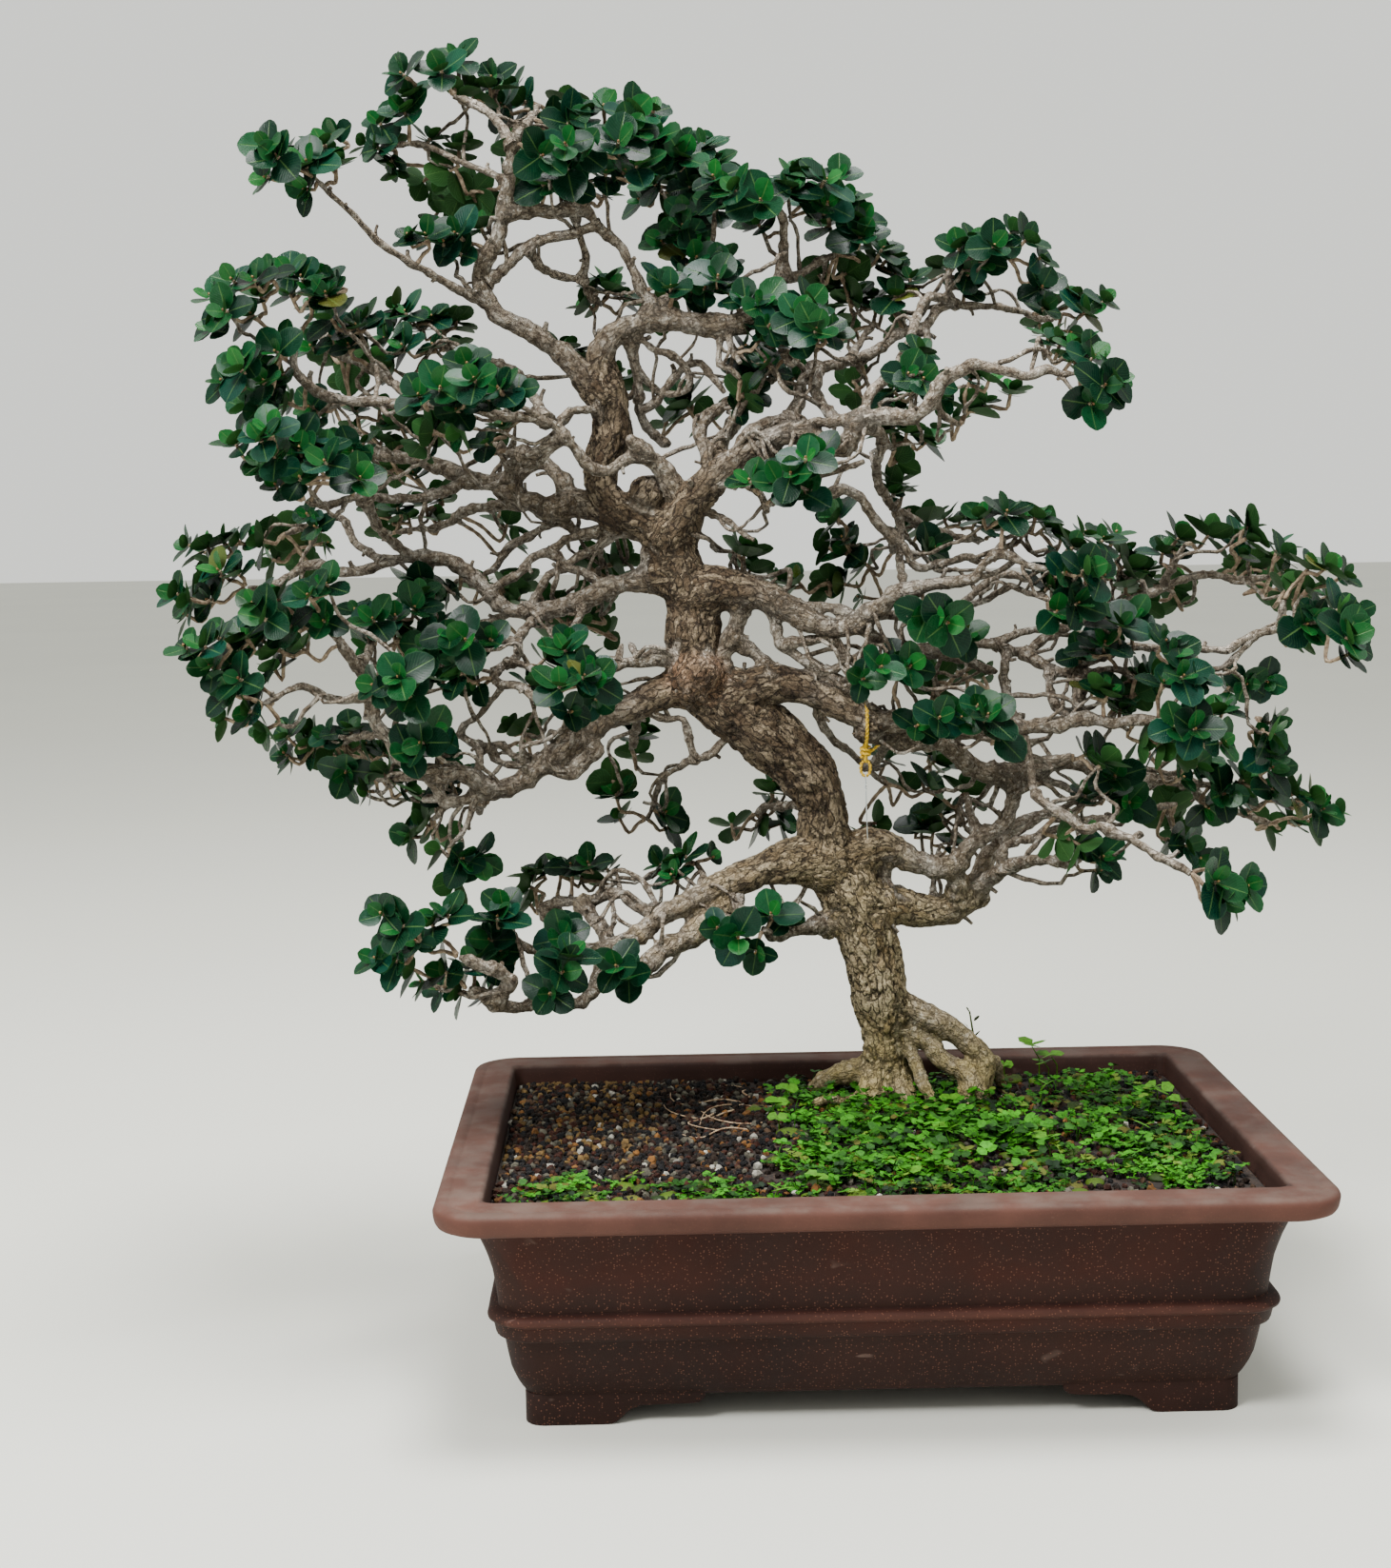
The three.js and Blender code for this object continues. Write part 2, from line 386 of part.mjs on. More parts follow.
// LIMBS: name, where it starts, first and last radius, depth at its end, then x and z pairs on the trunk's
// plane; a name at the end says which limb its tip grows into.
const LIMBS = [
  // roots
  ["rootArch", "trunk", 13, 9, 8, [38, 230, 56, 221, 76, 210, 91, 199, 102, 189, 107, 176, 105, 160, 103,
    142, 102, 122]],
  ["rootInner", "trunk", 10, 9.5, -12, [34, 214, 50, 206, 63, 196, 72, 185, 85, 177, 96, 170, 97, 156, 95,
    141, 93, 122]],
  ["rootProp", "rootInner", 5, 5, -22, [45, 198, 52, 181, 58, 166, 64, 152, 67, 134]],
  ["rootLeft", "trunk", 10, 5, 62, [20, 178, 3, 175, -13, 171, -25, 162, -37, 148, -46, 130]],
  ["rootFront", "trunk", 13, 7, -18, [24, 172, 17, 158, 12, 146, 6, 128]],
  ["rootToe", "trunk", 13, 7, -16, [33, 172, 41, 157, 46, 145, 50, 128]],
  ["rootShort", "trunk", 6, 4, -26, [24, 153, 8, 151, -8, 153, -19, 153, -28, 150]],
  ["rootRight", "rootArch", 6, 4.5, 40, [99, 192, 112, 180, 119, 167, 122, 150, 124, 128]],
  ["rootBack", "trunk", 12, 6, 50, [24, 192, 16, 172, 12, 152, 8, 126]],
  ["rootBackRight", "trunk", 12, 6, 53, [32, 196, 46, 176, 54, 156, 60, 128]],
  // lowest left
  ["lowLeft", "trunk", 17, 3.4, -66, [-12, 343, -42, 343, -68, 337, -92, 327, -115, 317, -135, 308, -152, 297,
    -166, 286, -183, 279, -202, 277, -222, 278, -241, 277, -255, 282, -262, 291]],
  ["lowLeftUnder", "lowLeft", 9, 8, -70, [-92, 310, -113, 295, -126, 284, -141, 279, -151, 270, -159, 260,
    -169, 253]],
  ["lowLeftCrook", "lowLeft", 4.2, 4.5, 40, [-148, 304, -164, 310, -175, 319, -190, 318, -205, 314, -222,
    315, -238, 311]],
  ["lowLeftDrop", "lowLeftCrook", 4, 3, 30, [-236, 311, -232, 300, -226, 290]],
  ["lowLeftTie", "lowLeftCrook", 5.5, 5, 0, [-205, 313, -197, 300, -190, 290, -186, 280], "lowLeft"],
  ["lowLeftThin", "lowLeftCrook", 2, 2, 0, [-184, 318, -182, 302, -186, 287], "lowLeft"],
  ["lowLeftArch", "lowLeft", 2, 2, 0, [-148, 308, -156, 325, -166, 335, -178, 338, -187, 333, -193, 320],
    "lowLeftCrook"],
  ["lowLeftLoop", "lowLeft", 6, 5, -140, [-190, 276, -193, 256, -202, 241, -213, 234, -226, 239, -237, 240,
    -249, 234, -262, 231, -276, 234, -284, 242, -296, 246]],
  ["lowLeftEnd", "lowLeftLoop", 6, 4.5, -160, [-276, 236, -266, 248, -262, 254, -273, 261, -288, 267, -303,
    273]],
  ["lowLeftTwig", "lowLeft", 3, 2.2, -10, [-114, 322, -113, 335, -118, 343]],
  ["lowLeftSpur", "lowLeft", 4, 3, -60, [-86, 318, -84, 309, -78, 304]],
  ["stemLeft", "trunk", 7, 4.5, -55, [-8, 293, -25, 293, -40, 289, -53, 284, -67, 290]],
  ["stemBehind", "trunk", 5, 3, 75, [-24, 388, -42, 388, -60, 387, -72, 381]],
  // left limb from the burl
  ["burlLimb", "trunk", 14, 3.4, -105, [-104, 480, -130, 479, -150, 472, -170, 463, -190, 457, -207, 450,
    -212, 441, -220, 433, -235, 422, -250, 410, -265, 403, -280, 408, -297, 417, -315, 415, -332, 419,
    -343, 431, -352, 445, -362, 458, -366, 475, -371, 492, -380, 508, -387, 522, -400, 533]],
  ["burlUnder", "burlLimb", 6, 5, 0, [-193, 454, -200, 441, -193, 431, -203, 424, -212, 416, -222, 418,
    -233, 423], "burlLimb"],
  ["burlUpper", "trunk", 7, 4, -40, [-113, 498, -140, 502, -160, 500, -180, 496, -195, 494, -209, 489]],
  ["burlSpurA", "burlUpper", 3.2, 2, 0, [-158, 500, -166, 514]],
  ["burlSpurB", "burlUpper", 3.2, 2, -10, [-176, 498, -172, 513]],
  ["burlDrop", "burlLimb", 3.4, 3, 0, [-158, 468, -148, 459, -135, 456, -127, 454, -122, 440, -117, 425,
    -105, 428, -95, 437, -80, 442], "trunk"],
  ["burlDropEnd", "burlDrop", 2.8, 2.1, 60, [-117, 425, -130, 418, -143, 410, -148, 398, -151, 386, -155,
    378]],
  ["burlFork", "burlLimb", 4, 3, 60, [-162, 466, -162, 449, -166, 433]],
  ["burlCurl", "burlLimb", 3.4, 3, -20, [-229, 427, -238, 426, -248, 425, -258, 430, -265, 437, -276, 436,
    -288, 440, -298, 446]],
  ["burlCurlEnd", "burlCurl", 2.4, 2, 0, [-297, 445, -294, 453, -284, 459, -274, 470, -265, 481], "leftHook"],
  ["burlLinkA", "burlCurl", 2.8, 2.8, 0, [-284, 439, -283, 428, -286, 414], "burlLimb"],
  ["burlLinkB", "burlCurl", 2.8, 2.8, 0, [-275, 436, -268, 425, -253, 421, -240, 420], "burlLimb"],
  ["burlLow", "burlLimb", 4.4, 4, 0, [-266, 403, -280, 397, -299, 395, -312, 396, -317, 405, -323, 416],
    "burlLimb"],
  ["burlLowSpur", "burlLow", 3.6, 3.2, 0, [-282, 397, -284, 386]],
  ["burlLowTwig", "burlLow", 2.4, 1.9, -60, [-288, 395, -293, 378, -302, 366, -309, 358]],
  ["burlLowBack", "burlLow", 3, 2, 50, [-304, 395, -312, 388, -320, 381]],
  ["burlReach", "burlLimb", 3.2, 2.3, -150, [-367, 476, -385, 474, -400, 478, -410, 484, -420, 485, -433,
    479, -447, 472]],
  ["burlTwigA", "burlLimb", 2.8, 2, -60, [-365, 480, -352, 474, -341, 465, -331, 459, -328, 450]],
  ["burlTwigB", "burlLimb", 3, 2.4, -130, [-367, 481, -357, 487, -346, 494]],
  ["burlTwigC", "burlLimb", 4, 2.6, -40, [-374, 500, -366, 509, -362, 518, -358, 527]],
  ["burlTwigD", "burlLimb", 3.2, 2, -20, [-328, 417, -345, 413, -362, 412]],
  ["burlTwigE", "burlLimb", 3.4, 2, 30, [-353, 447, -372, 446, -394, 442]],
  // left limb from the middle
  ["leftLimb", "trunk", 9, 3.2, 10, [-128, 566, -150, 562, -166, 560, -180, 557, -195, 550, -210, 545,
    -226, 540, -242, 540, -257, 542, -268, 548, -275, 557, -284, 568, -296, 576, -311, 581, -330, 582,
    -350, 579, -370, 573, -391, 572, -401, 578, -415, 573, -428, 567, -442, 560, -456, 561]],
  ["leftEar", "trunk", 5, 4, 0, [-134, 588, -150, 585, -154, 573, -160, 562], "leftLimb"],
  ["leftUnder", "leftLimb", 4, 3, 70, [-257, 542, -268, 533, -282, 529, -295, 530]],
  ["leftHook", "leftLimb", 3.6, 3.4, -70, [-231, 540, -240, 531, -250, 520, -251, 505, -262, 499, -270,
    491, -267, 484, -256, 483, -246, 479, -238, 471]],
  ["leftHookTwig", "leftHook", 3, 2.6, -60, [-260, 500, -247, 498, -235, 492]],
  ["leftHookPale", "leftHook", 3, 2.4, -30, [-251, 516, -268, 519, -284, 520]],
  ["leftDown", "leftLimb", 3, 2.3, -20, [-200, 547, -205, 533, -213, 521, -222, 513]],
  ["leftRise", "leftLimb", 3.2, 2.4, 85, [-352, 579, -362, 586, -372, 592, -376, 602, -380, 611, -392, 613,
    -408, 606, -425, 601]],
  // upper left main limb
  ["mainLeft", "trunk", 12, 3.8, 60, [-166, 612, -192, 618, -208, 618, -222, 616, -240, 622, -253, 631,
    -265, 638, -285, 640, -303, 649, -322, 656, -350, 658, -366, 664]],
  ["mainLeftUpper", "mainLeft", 7, 5, 0, [-200, 618, -213, 635, -222, 648, -235, 652, -246, 646, -259,
    637], "mainLeft"],
  ["mainLeftFront", "mainLeft", 4.6, 3.2, -85, [-284, 640, -300, 632, -315, 627, -335, 625, -355, 627,
    -375, 626, -395, 621, -410, 625]],
  ["mainLeftBack", "mainLeft", 6, 3, 125, [-222, 616, -250, 621, -270, 620, -288, 617, -300, 608, -312,
    603, -328, 603, -341, 601]],
  ["mainLeftLink", "mainLeftFront", 3.4, 3.4, 0, [-364, 626, -358, 612, -352, 600, -343, 592, -330, 582],
    "leftLimb"],
  ["crossA", "trunk", 5.5, 3, 50, [-152, 602, -180, 600, -200, 597, -214, 605, -224, 605, -240, 597, -255,
    590, -262, 580, -268, 572, -277, 568]],
  ["crossB", "crossA", 3.8, 3, 0, [-186, 599, -210, 595, -222, 588, -238, 581, -248, 570, -260, 562, -273,
    556], "leftLimb"],
  ["crossC", "crossB", 3.4, 3.6, 0, [-228, 585, -220, 581, -212, 572, -200, 568, -184, 558], "leftLimb"],
  ["crossD", "crossA", 4, 3, 0, [-172, 600, -190, 588, -205, 580, -215, 572, -226, 566, -235, 555, -241,
    541], "leftLimb"], // upper left, over the trunk's hollow
  ["knotLimb", "trunk", 11, 5.5, -30, [-137, 592, -126, 615, -132, 636, -147, 655, -165, 669]],
  ["pale", "knotLimb", 5, 4, -70, [-148, 655, -161, 656, -175, 648, -185, 646, -197, 652, -205, 663, -213,
    674, -226, 682, -245, 686, -262, 688, -285, 693, -310, 696, -335, 698, -355, 698, -375, 700, -391, 704,
    -404, 713, -415, 725, -412, 740]],
  ["paleUp", "pale", 5, 3.6, 60, [-320, 697, -335, 707, -350, 720, -370, 731, -385, 739, -394, 750]],
  ["paleBack", "pale", 4.2, 2.8, 115, [-225, 682, -235, 700, -246, 716, -258, 724, -275, 729, -292, 736,
    -306, 739]],
  ["paleCurl", "trunk", 3.4, 3, 0, [-178, 690, -196, 691, -208, 689, -215, 684, -218, 677], "pale"],
  ["paleInner", "pale", 5, 3.4, 0, [-211, 671, -225, 664, -243, 658, -256, 660, -266, 668]],
  ["paleLink", "paleInner", 4, 4, 0, [-243, 658, -251, 649, -260, 636], "mainLeft"],
  // crown on the left
  ["crownLimb", "trunk", 9.5, 4, -45, [-180, 700, -198, 718, -214, 733, -230, 744, -245, 754, -260, 762,
    -270, 776, -272, 790, -267, 805, -259, 820, -256, 836, -251, 850, -248, 866, -246, 884, -238, 900]],
  ["crownLong", "crownLimb", 3.6, 2, -90, [-264, 768, -285, 778, -300, 787, -318, 798, -345, 814, -362,
    833, -380, 850, -394, 864]],
  ["crownOver", "trunk", 5.5, 3, -30, [-150, 756, -146, 765, -151, 777, -159, 794, -166, 810, -176, 820,
    -186, 830, -195, 845, -201, 862, -206, 880]],
  ["crownBridge", "crownLimb", 5.4, 5, 0, [-257, 836, -236, 838, -215, 836, -193, 842], "crownOver"],
  ["crownThin", "crownLimb", 3, 2, 0, [-250, 858, -265, 866, -285, 874, -305, 884, -320, 887, -336, 886]],
  ["crownCross", "crownLimb", 4, 3.4, 0, [-268, 786, -252, 798, -238, 811, -218, 818, -182, 827],
    "crownOver"],
  ["crownHang", "crownCross", 3.4, 2.8, 30, [-237, 811, -229, 798, -215, 790, -198, 786, -191, 775, -182,
    768]],
  ["crownHangUp", "crownHang", 2.9, 2.7, 0, [-197, 786, -194, 800, -196, 815, -201, 838], "crownBridge"],
  ["crownTop", "crownLimb", 4, 2.8, -20, [-246, 884, -258, 905, -274, 915, -289, 921]],
  ["crownMid", "crownLimb", 3.4, 2.6, 35, [-240, 896, -232, 905, -226, 914]],
  ["crownStub", "trunk", 4.6, 4, 40, [-142, 760, -127, 776, -104, 785, -82, 790]],
  ["crownBack", "crownStub", 3.6, 2.4, 95, [-127, 776, -122, 800, -124, 826, -120, 850]],
  // hanging thin growth below the top of the trunk
  ["hangLeft", "trunk", 4.8, 4, 30, [-164, 752, -160, 732, -157, 718, -155, 704, -156, 690, -150, 677,
    -140, 667, -132, 663]],
  ["hangWave", "hangLeft", 3, 2.4, 10, [-156, 690, -148, 692, -140, 701, -130, 712, -119, 722, -108, 724,
    -102, 717, -96, 709, -91, 702]],
  ["hangCross", "trunk", 2.7, 2.6, 0, [-161, 750, -144, 735, -133, 732, -124, 725, -117, 715, -118, 706,
    -128, 701, -141, 703], "hangWave"],
  ["hangLink", "hangLeft", 2.7, 2.6, 0, [-157, 719, -149, 711, -139, 701], "hangWave"],
  ["hangRight", "trunk", 3, 2.3, -20, [-92, 751, -94, 735, -95, 723, -86, 719, -79, 712]],
  ["hangRightTwo", "trunk", 2.6, 2.2, -30, [-88, 751, -85, 735, -79, 724]],
  ["topDrop", "topRight", 3.2, 2.4, -30, [-58, 768, -53, 752, -50, 740, -44, 727, -39, 722, -32, 732]],
  ["topRight", "trunk", 5.4, 3.4, 55, [-72, 756, -60, 772, -50, 783, -35, 788, -20, 796, -6, 803]],
  ["topRise", "topRight", 4.6, 3, 0, [-46, 785, -46, 805, -45, 822, -48, 838]],
  // right fork
  ["fork", "trunk", 14, 2.8, -110, [-137, 592, -126, 608, -117, 621, -105, 632, -92, 645, -78, 656, -60,
    665, -42, 671, -28, 669, -15, 662, -2, 660, 5, 668, 10, 678, 22, 683, 40, 683, 55, 684, 65, 692, 71,
    703, 81, 713, 96, 720, 112, 717, 128, 712, 142, 712, 152, 717, 165, 712, 177, 713]],
  ["forkPale", "fork", 5.4, 4, 40, [-104, 633, -105, 655, -110, 668, -106, 681, -95, 690, -80, 700, -63,
    707, -50, 713]],
  ["forkDark", "fork", 8, 5, 60, [-96, 642, -97, 660, -89, 672, -80, 684, -76, 697, -73, 707]],
  ["forkUp", "fork", 6.4, 2.8, 120, [-77, 657, -68, 672, -55, 678, -42, 683, -35, 692, -33, 705, -25, 717,
    -12, 722, 5, 725, 22, 730, 33, 738, 42, 744, 55, 746, 64, 752, 70, 762, 80, 765, 100, 764, 120, 762,
    137, 757, 152, 753, 163, 757]],
  ["forkUpRise", "forkUp", 3.6, 2, 55, [80, 765, 79, 778, 80, 792, 92, 800, 110, 801, 124, 798]],
  ["forkUpIn", "forkUp", 3.2, 2.5, 75, [5, 725, 12, 738, 22, 750]],
  ["forkRing", "forkUp", 4.2, 4, 0, [-22, 719, -22, 705, -17, 692, -8, 682, 8, 679], "fork"],
  ["forkRise", "forkShort", 3.6, 3.2, 0, [37, 716, 44, 730, 51, 745, 56, 760, 64, 770, 76, 768, 84, 765],
    "forkUp"],
  ["forkShort", "fork", 5, 3.6, -40, [10, 680, 17, 690, 20, 703, 30, 711, 42, 716, 53, 718]],
  ["forkDrop", "forkUp", 2.8, 2.2, 20, [60, 749, 64, 737, 62, 726, 63, 714]],
  ["forkFall", "fork", 4.8, 3, 100, [14, 680, 25, 670, 28, 660, 24, 648, 26, 634, 31, 621, 40, 610, 52,
    604, 64, 597, 78, 593, 92, 590, 106, 588]],
  ["forkFallSpur", "forkFall", 2.6, 2, 20, [27, 662, 37, 658]],
  ["forkSkin", "fork", 4.4, 4, 0, [-43, 671, -30, 677, -15, 679, 0, 680, 14, 680], "fork"],
  ["forkSlip", "forkUp", 3.4, 3.2, 0, [-43, 683, -33, 681, -24, 668], "fork"],
  ["forkTwig", "fork", 2.8, 2, -60, [69, 699, 71, 688, 77, 681, 87, 675]],
  ["forkIn", "fork", 3.8, 2.8, -60, [-99, 638, -86, 634, -72, 631, -63, 622, -60, 612]],
  // right middle
  ["mid", "fork", 6.6, 3, -20, [-62, 664, -50, 651, -38, 637, -27, 626, -12, 625, 0, 628, 10, 622, 18, 611,
    26, 601, 36, 592, 45, 583, 51, 572, 58, 568, 70, 570, 85, 575, 100, 573, 112, 571]],
  ["midTwig", "mid", 3, 2.2, -70, [-40, 640, -28, 637, -12, 641, 3, 645, 14, 649]],
  ["midDrop", "forkFall", 3.2, 3, 0, [40, 610, 42, 598, 41, 582, 42, 567, 45, 549], "right"],
  ["midStub", "mid", 4, 2.6, 40, [36, 592, 36, 580]],
  ["sideTwig", "trunk", 3.6, 2.2, -30, [-128, 602, -112, 612, -98, 610, -88, 604, -80, 597, -70, 591]],
  ["right", "trunk", 14, 2.8, -75, [-118, 546, -104, 553, -90, 554, -72, 551, -55, 545, -42, 536, -28, 529,
    -12, 523, 2, 523, 13, 530, 25, 538, 35, 547, 50, 551, 65, 555, 82, 557, 97, 561, 105, 570, 118, 577,
    130, 574, 140, 568, 155, 565]],
  ["rightSkin", "right", 5, 4.4, 0, [-45, 540, -25, 539, -8, 538, 5, 532, 14, 530], "right"],
  ["rightSpur", "right", 4.4, 3, 20, [14, 530, 28, 533, 40, 533, 54, 534, 72, 532, 88, 537]],
  ["rightPale", "rightSpur", 3.2, 3, 25, [87, 537, 97, 548, 106, 555, 118, 562, 132, 560, 145, 556, 160,
    552, 180, 553, 199, 556]],
  ["rightTwig", "rightSpur", 2.8, 2.4, -60, [87, 537, 105, 542, 118, 549, 128, 553, 140, 547, 153, 545]],
  ["rightDown", "right", 5, 4, 0, [8, 527, 22, 517, 33, 510, 48, 507, 62, 503, 78, 500, 92, 497, 104, 492,
    116, 487]],
  ["rightFar", "rightDown", 5, 3.2, 60, [60, 504, 74, 509, 88, 511, 100, 510, 115, 507, 128, 502, 140, 503,
    152, 513, 167, 519, 182, 527, 200, 534, 215, 540, 232, 545, 246, 552, 262, 557, 280, 560, 298, 556,
    312, 556, 325, 557]],
  ["rightFarSkin", "rightFar", 3.2, 3, 0, [113, 508, 130, 517, 148, 520, 170, 520], "rightFar"],
  ["rightFarRise", "rightFar", 2.9, 2.2, 10, [243, 551, 247, 562, 252, 572, 260, 583]],
  ["rightLow", "rightFar", 4.2, 3.2, -60, [136, 502, 150, 493, 162, 487, 178, 486, 195, 486, 210, 487, 222,
    481]],
  ["rightHigh", "rightLow", 3.4, 3, -60, [170, 487, 186, 494, 200, 500, 214, 504, 232, 504, 252, 503, 265,
    505, 280, 502, 292, 502, 305, 508, 316, 514, 330, 517, 334, 528, 336, 539]],
  ["rightHighTwig", "rightHigh", 2.6, 2.4, 0, [262, 504, 272, 491, 286, 487, 300, 497, 316, 514],
    "rightHigh"],
  ["rightPost", "rightFar", 4.4, 4, 0, [124, 504, 121, 487, 123, 472, 128, 458, 132, 443], "tied"],
  ["rightPostTwo", "rightLow", 4.2, 4, 0, [177, 486, 180, 470, 177, 458, 168, 449, 155, 446], "tied"],
  ["rightPostThree", "rightLow", 3.4, 3.2, 0, [157, 490, 156, 475, 161, 463, 172, 452], "rightPostTwo"],
  ["ringLeft", "right", 5.4, 6, 0, [-76, 552, -81, 538, -84, 525, -80, 512, -70, 505, -63, 497, -56, 482],
    "tied"],
  ["ringKnot", "ringLeft", 6, 6, 0, [-83, 520, -92, 512, -96, 502, -91, 492, -80, 477], "tied"],
  ["darkLink", "right", 5.4, 3.6, 0, [-58, 546, -55, 528, -51, 512, -38, 501, -27, 495, -14, 489, 0, 480,
    4, 469, 7, 456], "tied"],
  ["loopRight", "darkLink", 3.7, 3.4, 0, [-49, 510, -40, 512, -28, 513, -12, 517, -5, 507, 3, 499, 12, 503,
    17, 511, 18, 521], "rightDown"],
  ["loopLink", "loopRight", 3.3, 3.2, 0, [2, 500, -8, 492, -18, 490], "darkLink"],
  // the tied limb
  ["tied", "trunk", 16, 3.4, -90, [-94, 470, -75, 476, -56, 481, -38, 479, -20, 471, -5, 464, 12, 455, 30,
    451, 50, 452, 68, 450, 85, 446, 105, 443, 125, 444, 145, 444, 162, 446, 185, 450, 205, 447, 225, 449,
    245, 447, 261, 444]],
  ["tiedUnder", "tied", 9.5, 3.4, 70, [12, 452, 32, 441, 50, 435, 68, 434, 82, 428, 92, 418, 103, 411, 118,
    410, 135, 413, 155, 414, 178, 415, 200, 406, 222, 402, 245, 402, 262, 399, 272, 390, 281, 381, 296,
    377, 312, 373, 328, 366]],
  ["tiedSpur", "tiedUnder", 3.2, 2.4, 20, [260, 400, 277, 398, 290, 396]],
  ["tiedSpurUp", "tiedUnder", 4.8, 3.4, -10, [208, 405, 225, 414, 233, 425]],
  ["tiedSkin", "tied", 3.8, 3, -70, [103, 443, 116, 434, 130, 428, 142, 421, 158, 419, 173, 422]],
  ["tiedHook", "tiedUnder", 5.2, 3.2, 30, [108, 411, 122, 403, 140, 401, 155, 402, 168, 398, 178, 392, 183,
    384]],
  ["tiedBelow", "tied", 3.8, 2.5, 40, [-24, 472, -21, 457, -15, 445, -8, 435, 3, 427, 12, 418, 22, 408, 30,
    402]],
  ["tiedBelowTwo", "tiedUnder", 4.2, 3.2, 0, [32, 441, 29, 430, 22, 420, 13, 416], "tiedBelow"],
  ["fall", "rightPost", 4, 3.4, -150, [130, 452, 133, 442, 139, 428, 141, 412, 143, 400, 148, 388, 158,
    381, 172, 373, 184, 365, 196, 367, 208, 361, 220, 356, 230, 350, 242, 342, 256, 335, 267, 328]],
  // lowest right
  ["lowRight", "trunk", 14, 3.6, 50, [10, 308, 35, 307, 58, 302, 78, 302, 92, 310, 100, 322, 106, 338, 112,
    350, 124, 362, 138, 370, 152, 377, 165, 378, 178, 370, 190, 371, 204, 373]],
  ["lowRightLong", "lowRight", 8, 3.4, -70, [95, 314, 109, 325, 122, 334, 138, 340, 155, 340, 170, 338,
    182, 341]],
  ["lowRightTwig", "lowRightLong", 3.6, 3, -20, [121, 334, 120, 350, 130, 356, 145, 358, 158, 363, 170, 368]],
  ["lowRightUpper", "trunk", 12, 5, 40, [-2, 345, 20, 352, 38, 348, 55, 340, 72, 336, 85, 340, 93, 352,
    106, 361, 118, 368, 125, 380, 128, 395, 121, 411], "tiedUnder"],
  ["lowRightPost", "lowRight", 7.4, 7, 0, [87, 306, 84, 323, 80, 339], "lowRightUpper"],
  ["lowRightRing", "lowRightUpper", 5.2, 5, 0, [34, 348, 27, 335, 30, 322, 40, 307], "lowRight"],
  ["lowRightUp", "lowRightUpper", 3.3, 2.5, 25, [101, 360, 97, 372, 94, 385, 92, 394]],
  ["lowRightFar", "lowRight", 2.9, 2.2, 95, [202, 373, 222, 378, 240, 380, 255, 383]],
  ["lowRightShade", "lowRight", 3.4, 2.6, 110, [62, 305, 66, 314, 66, 322]],
];

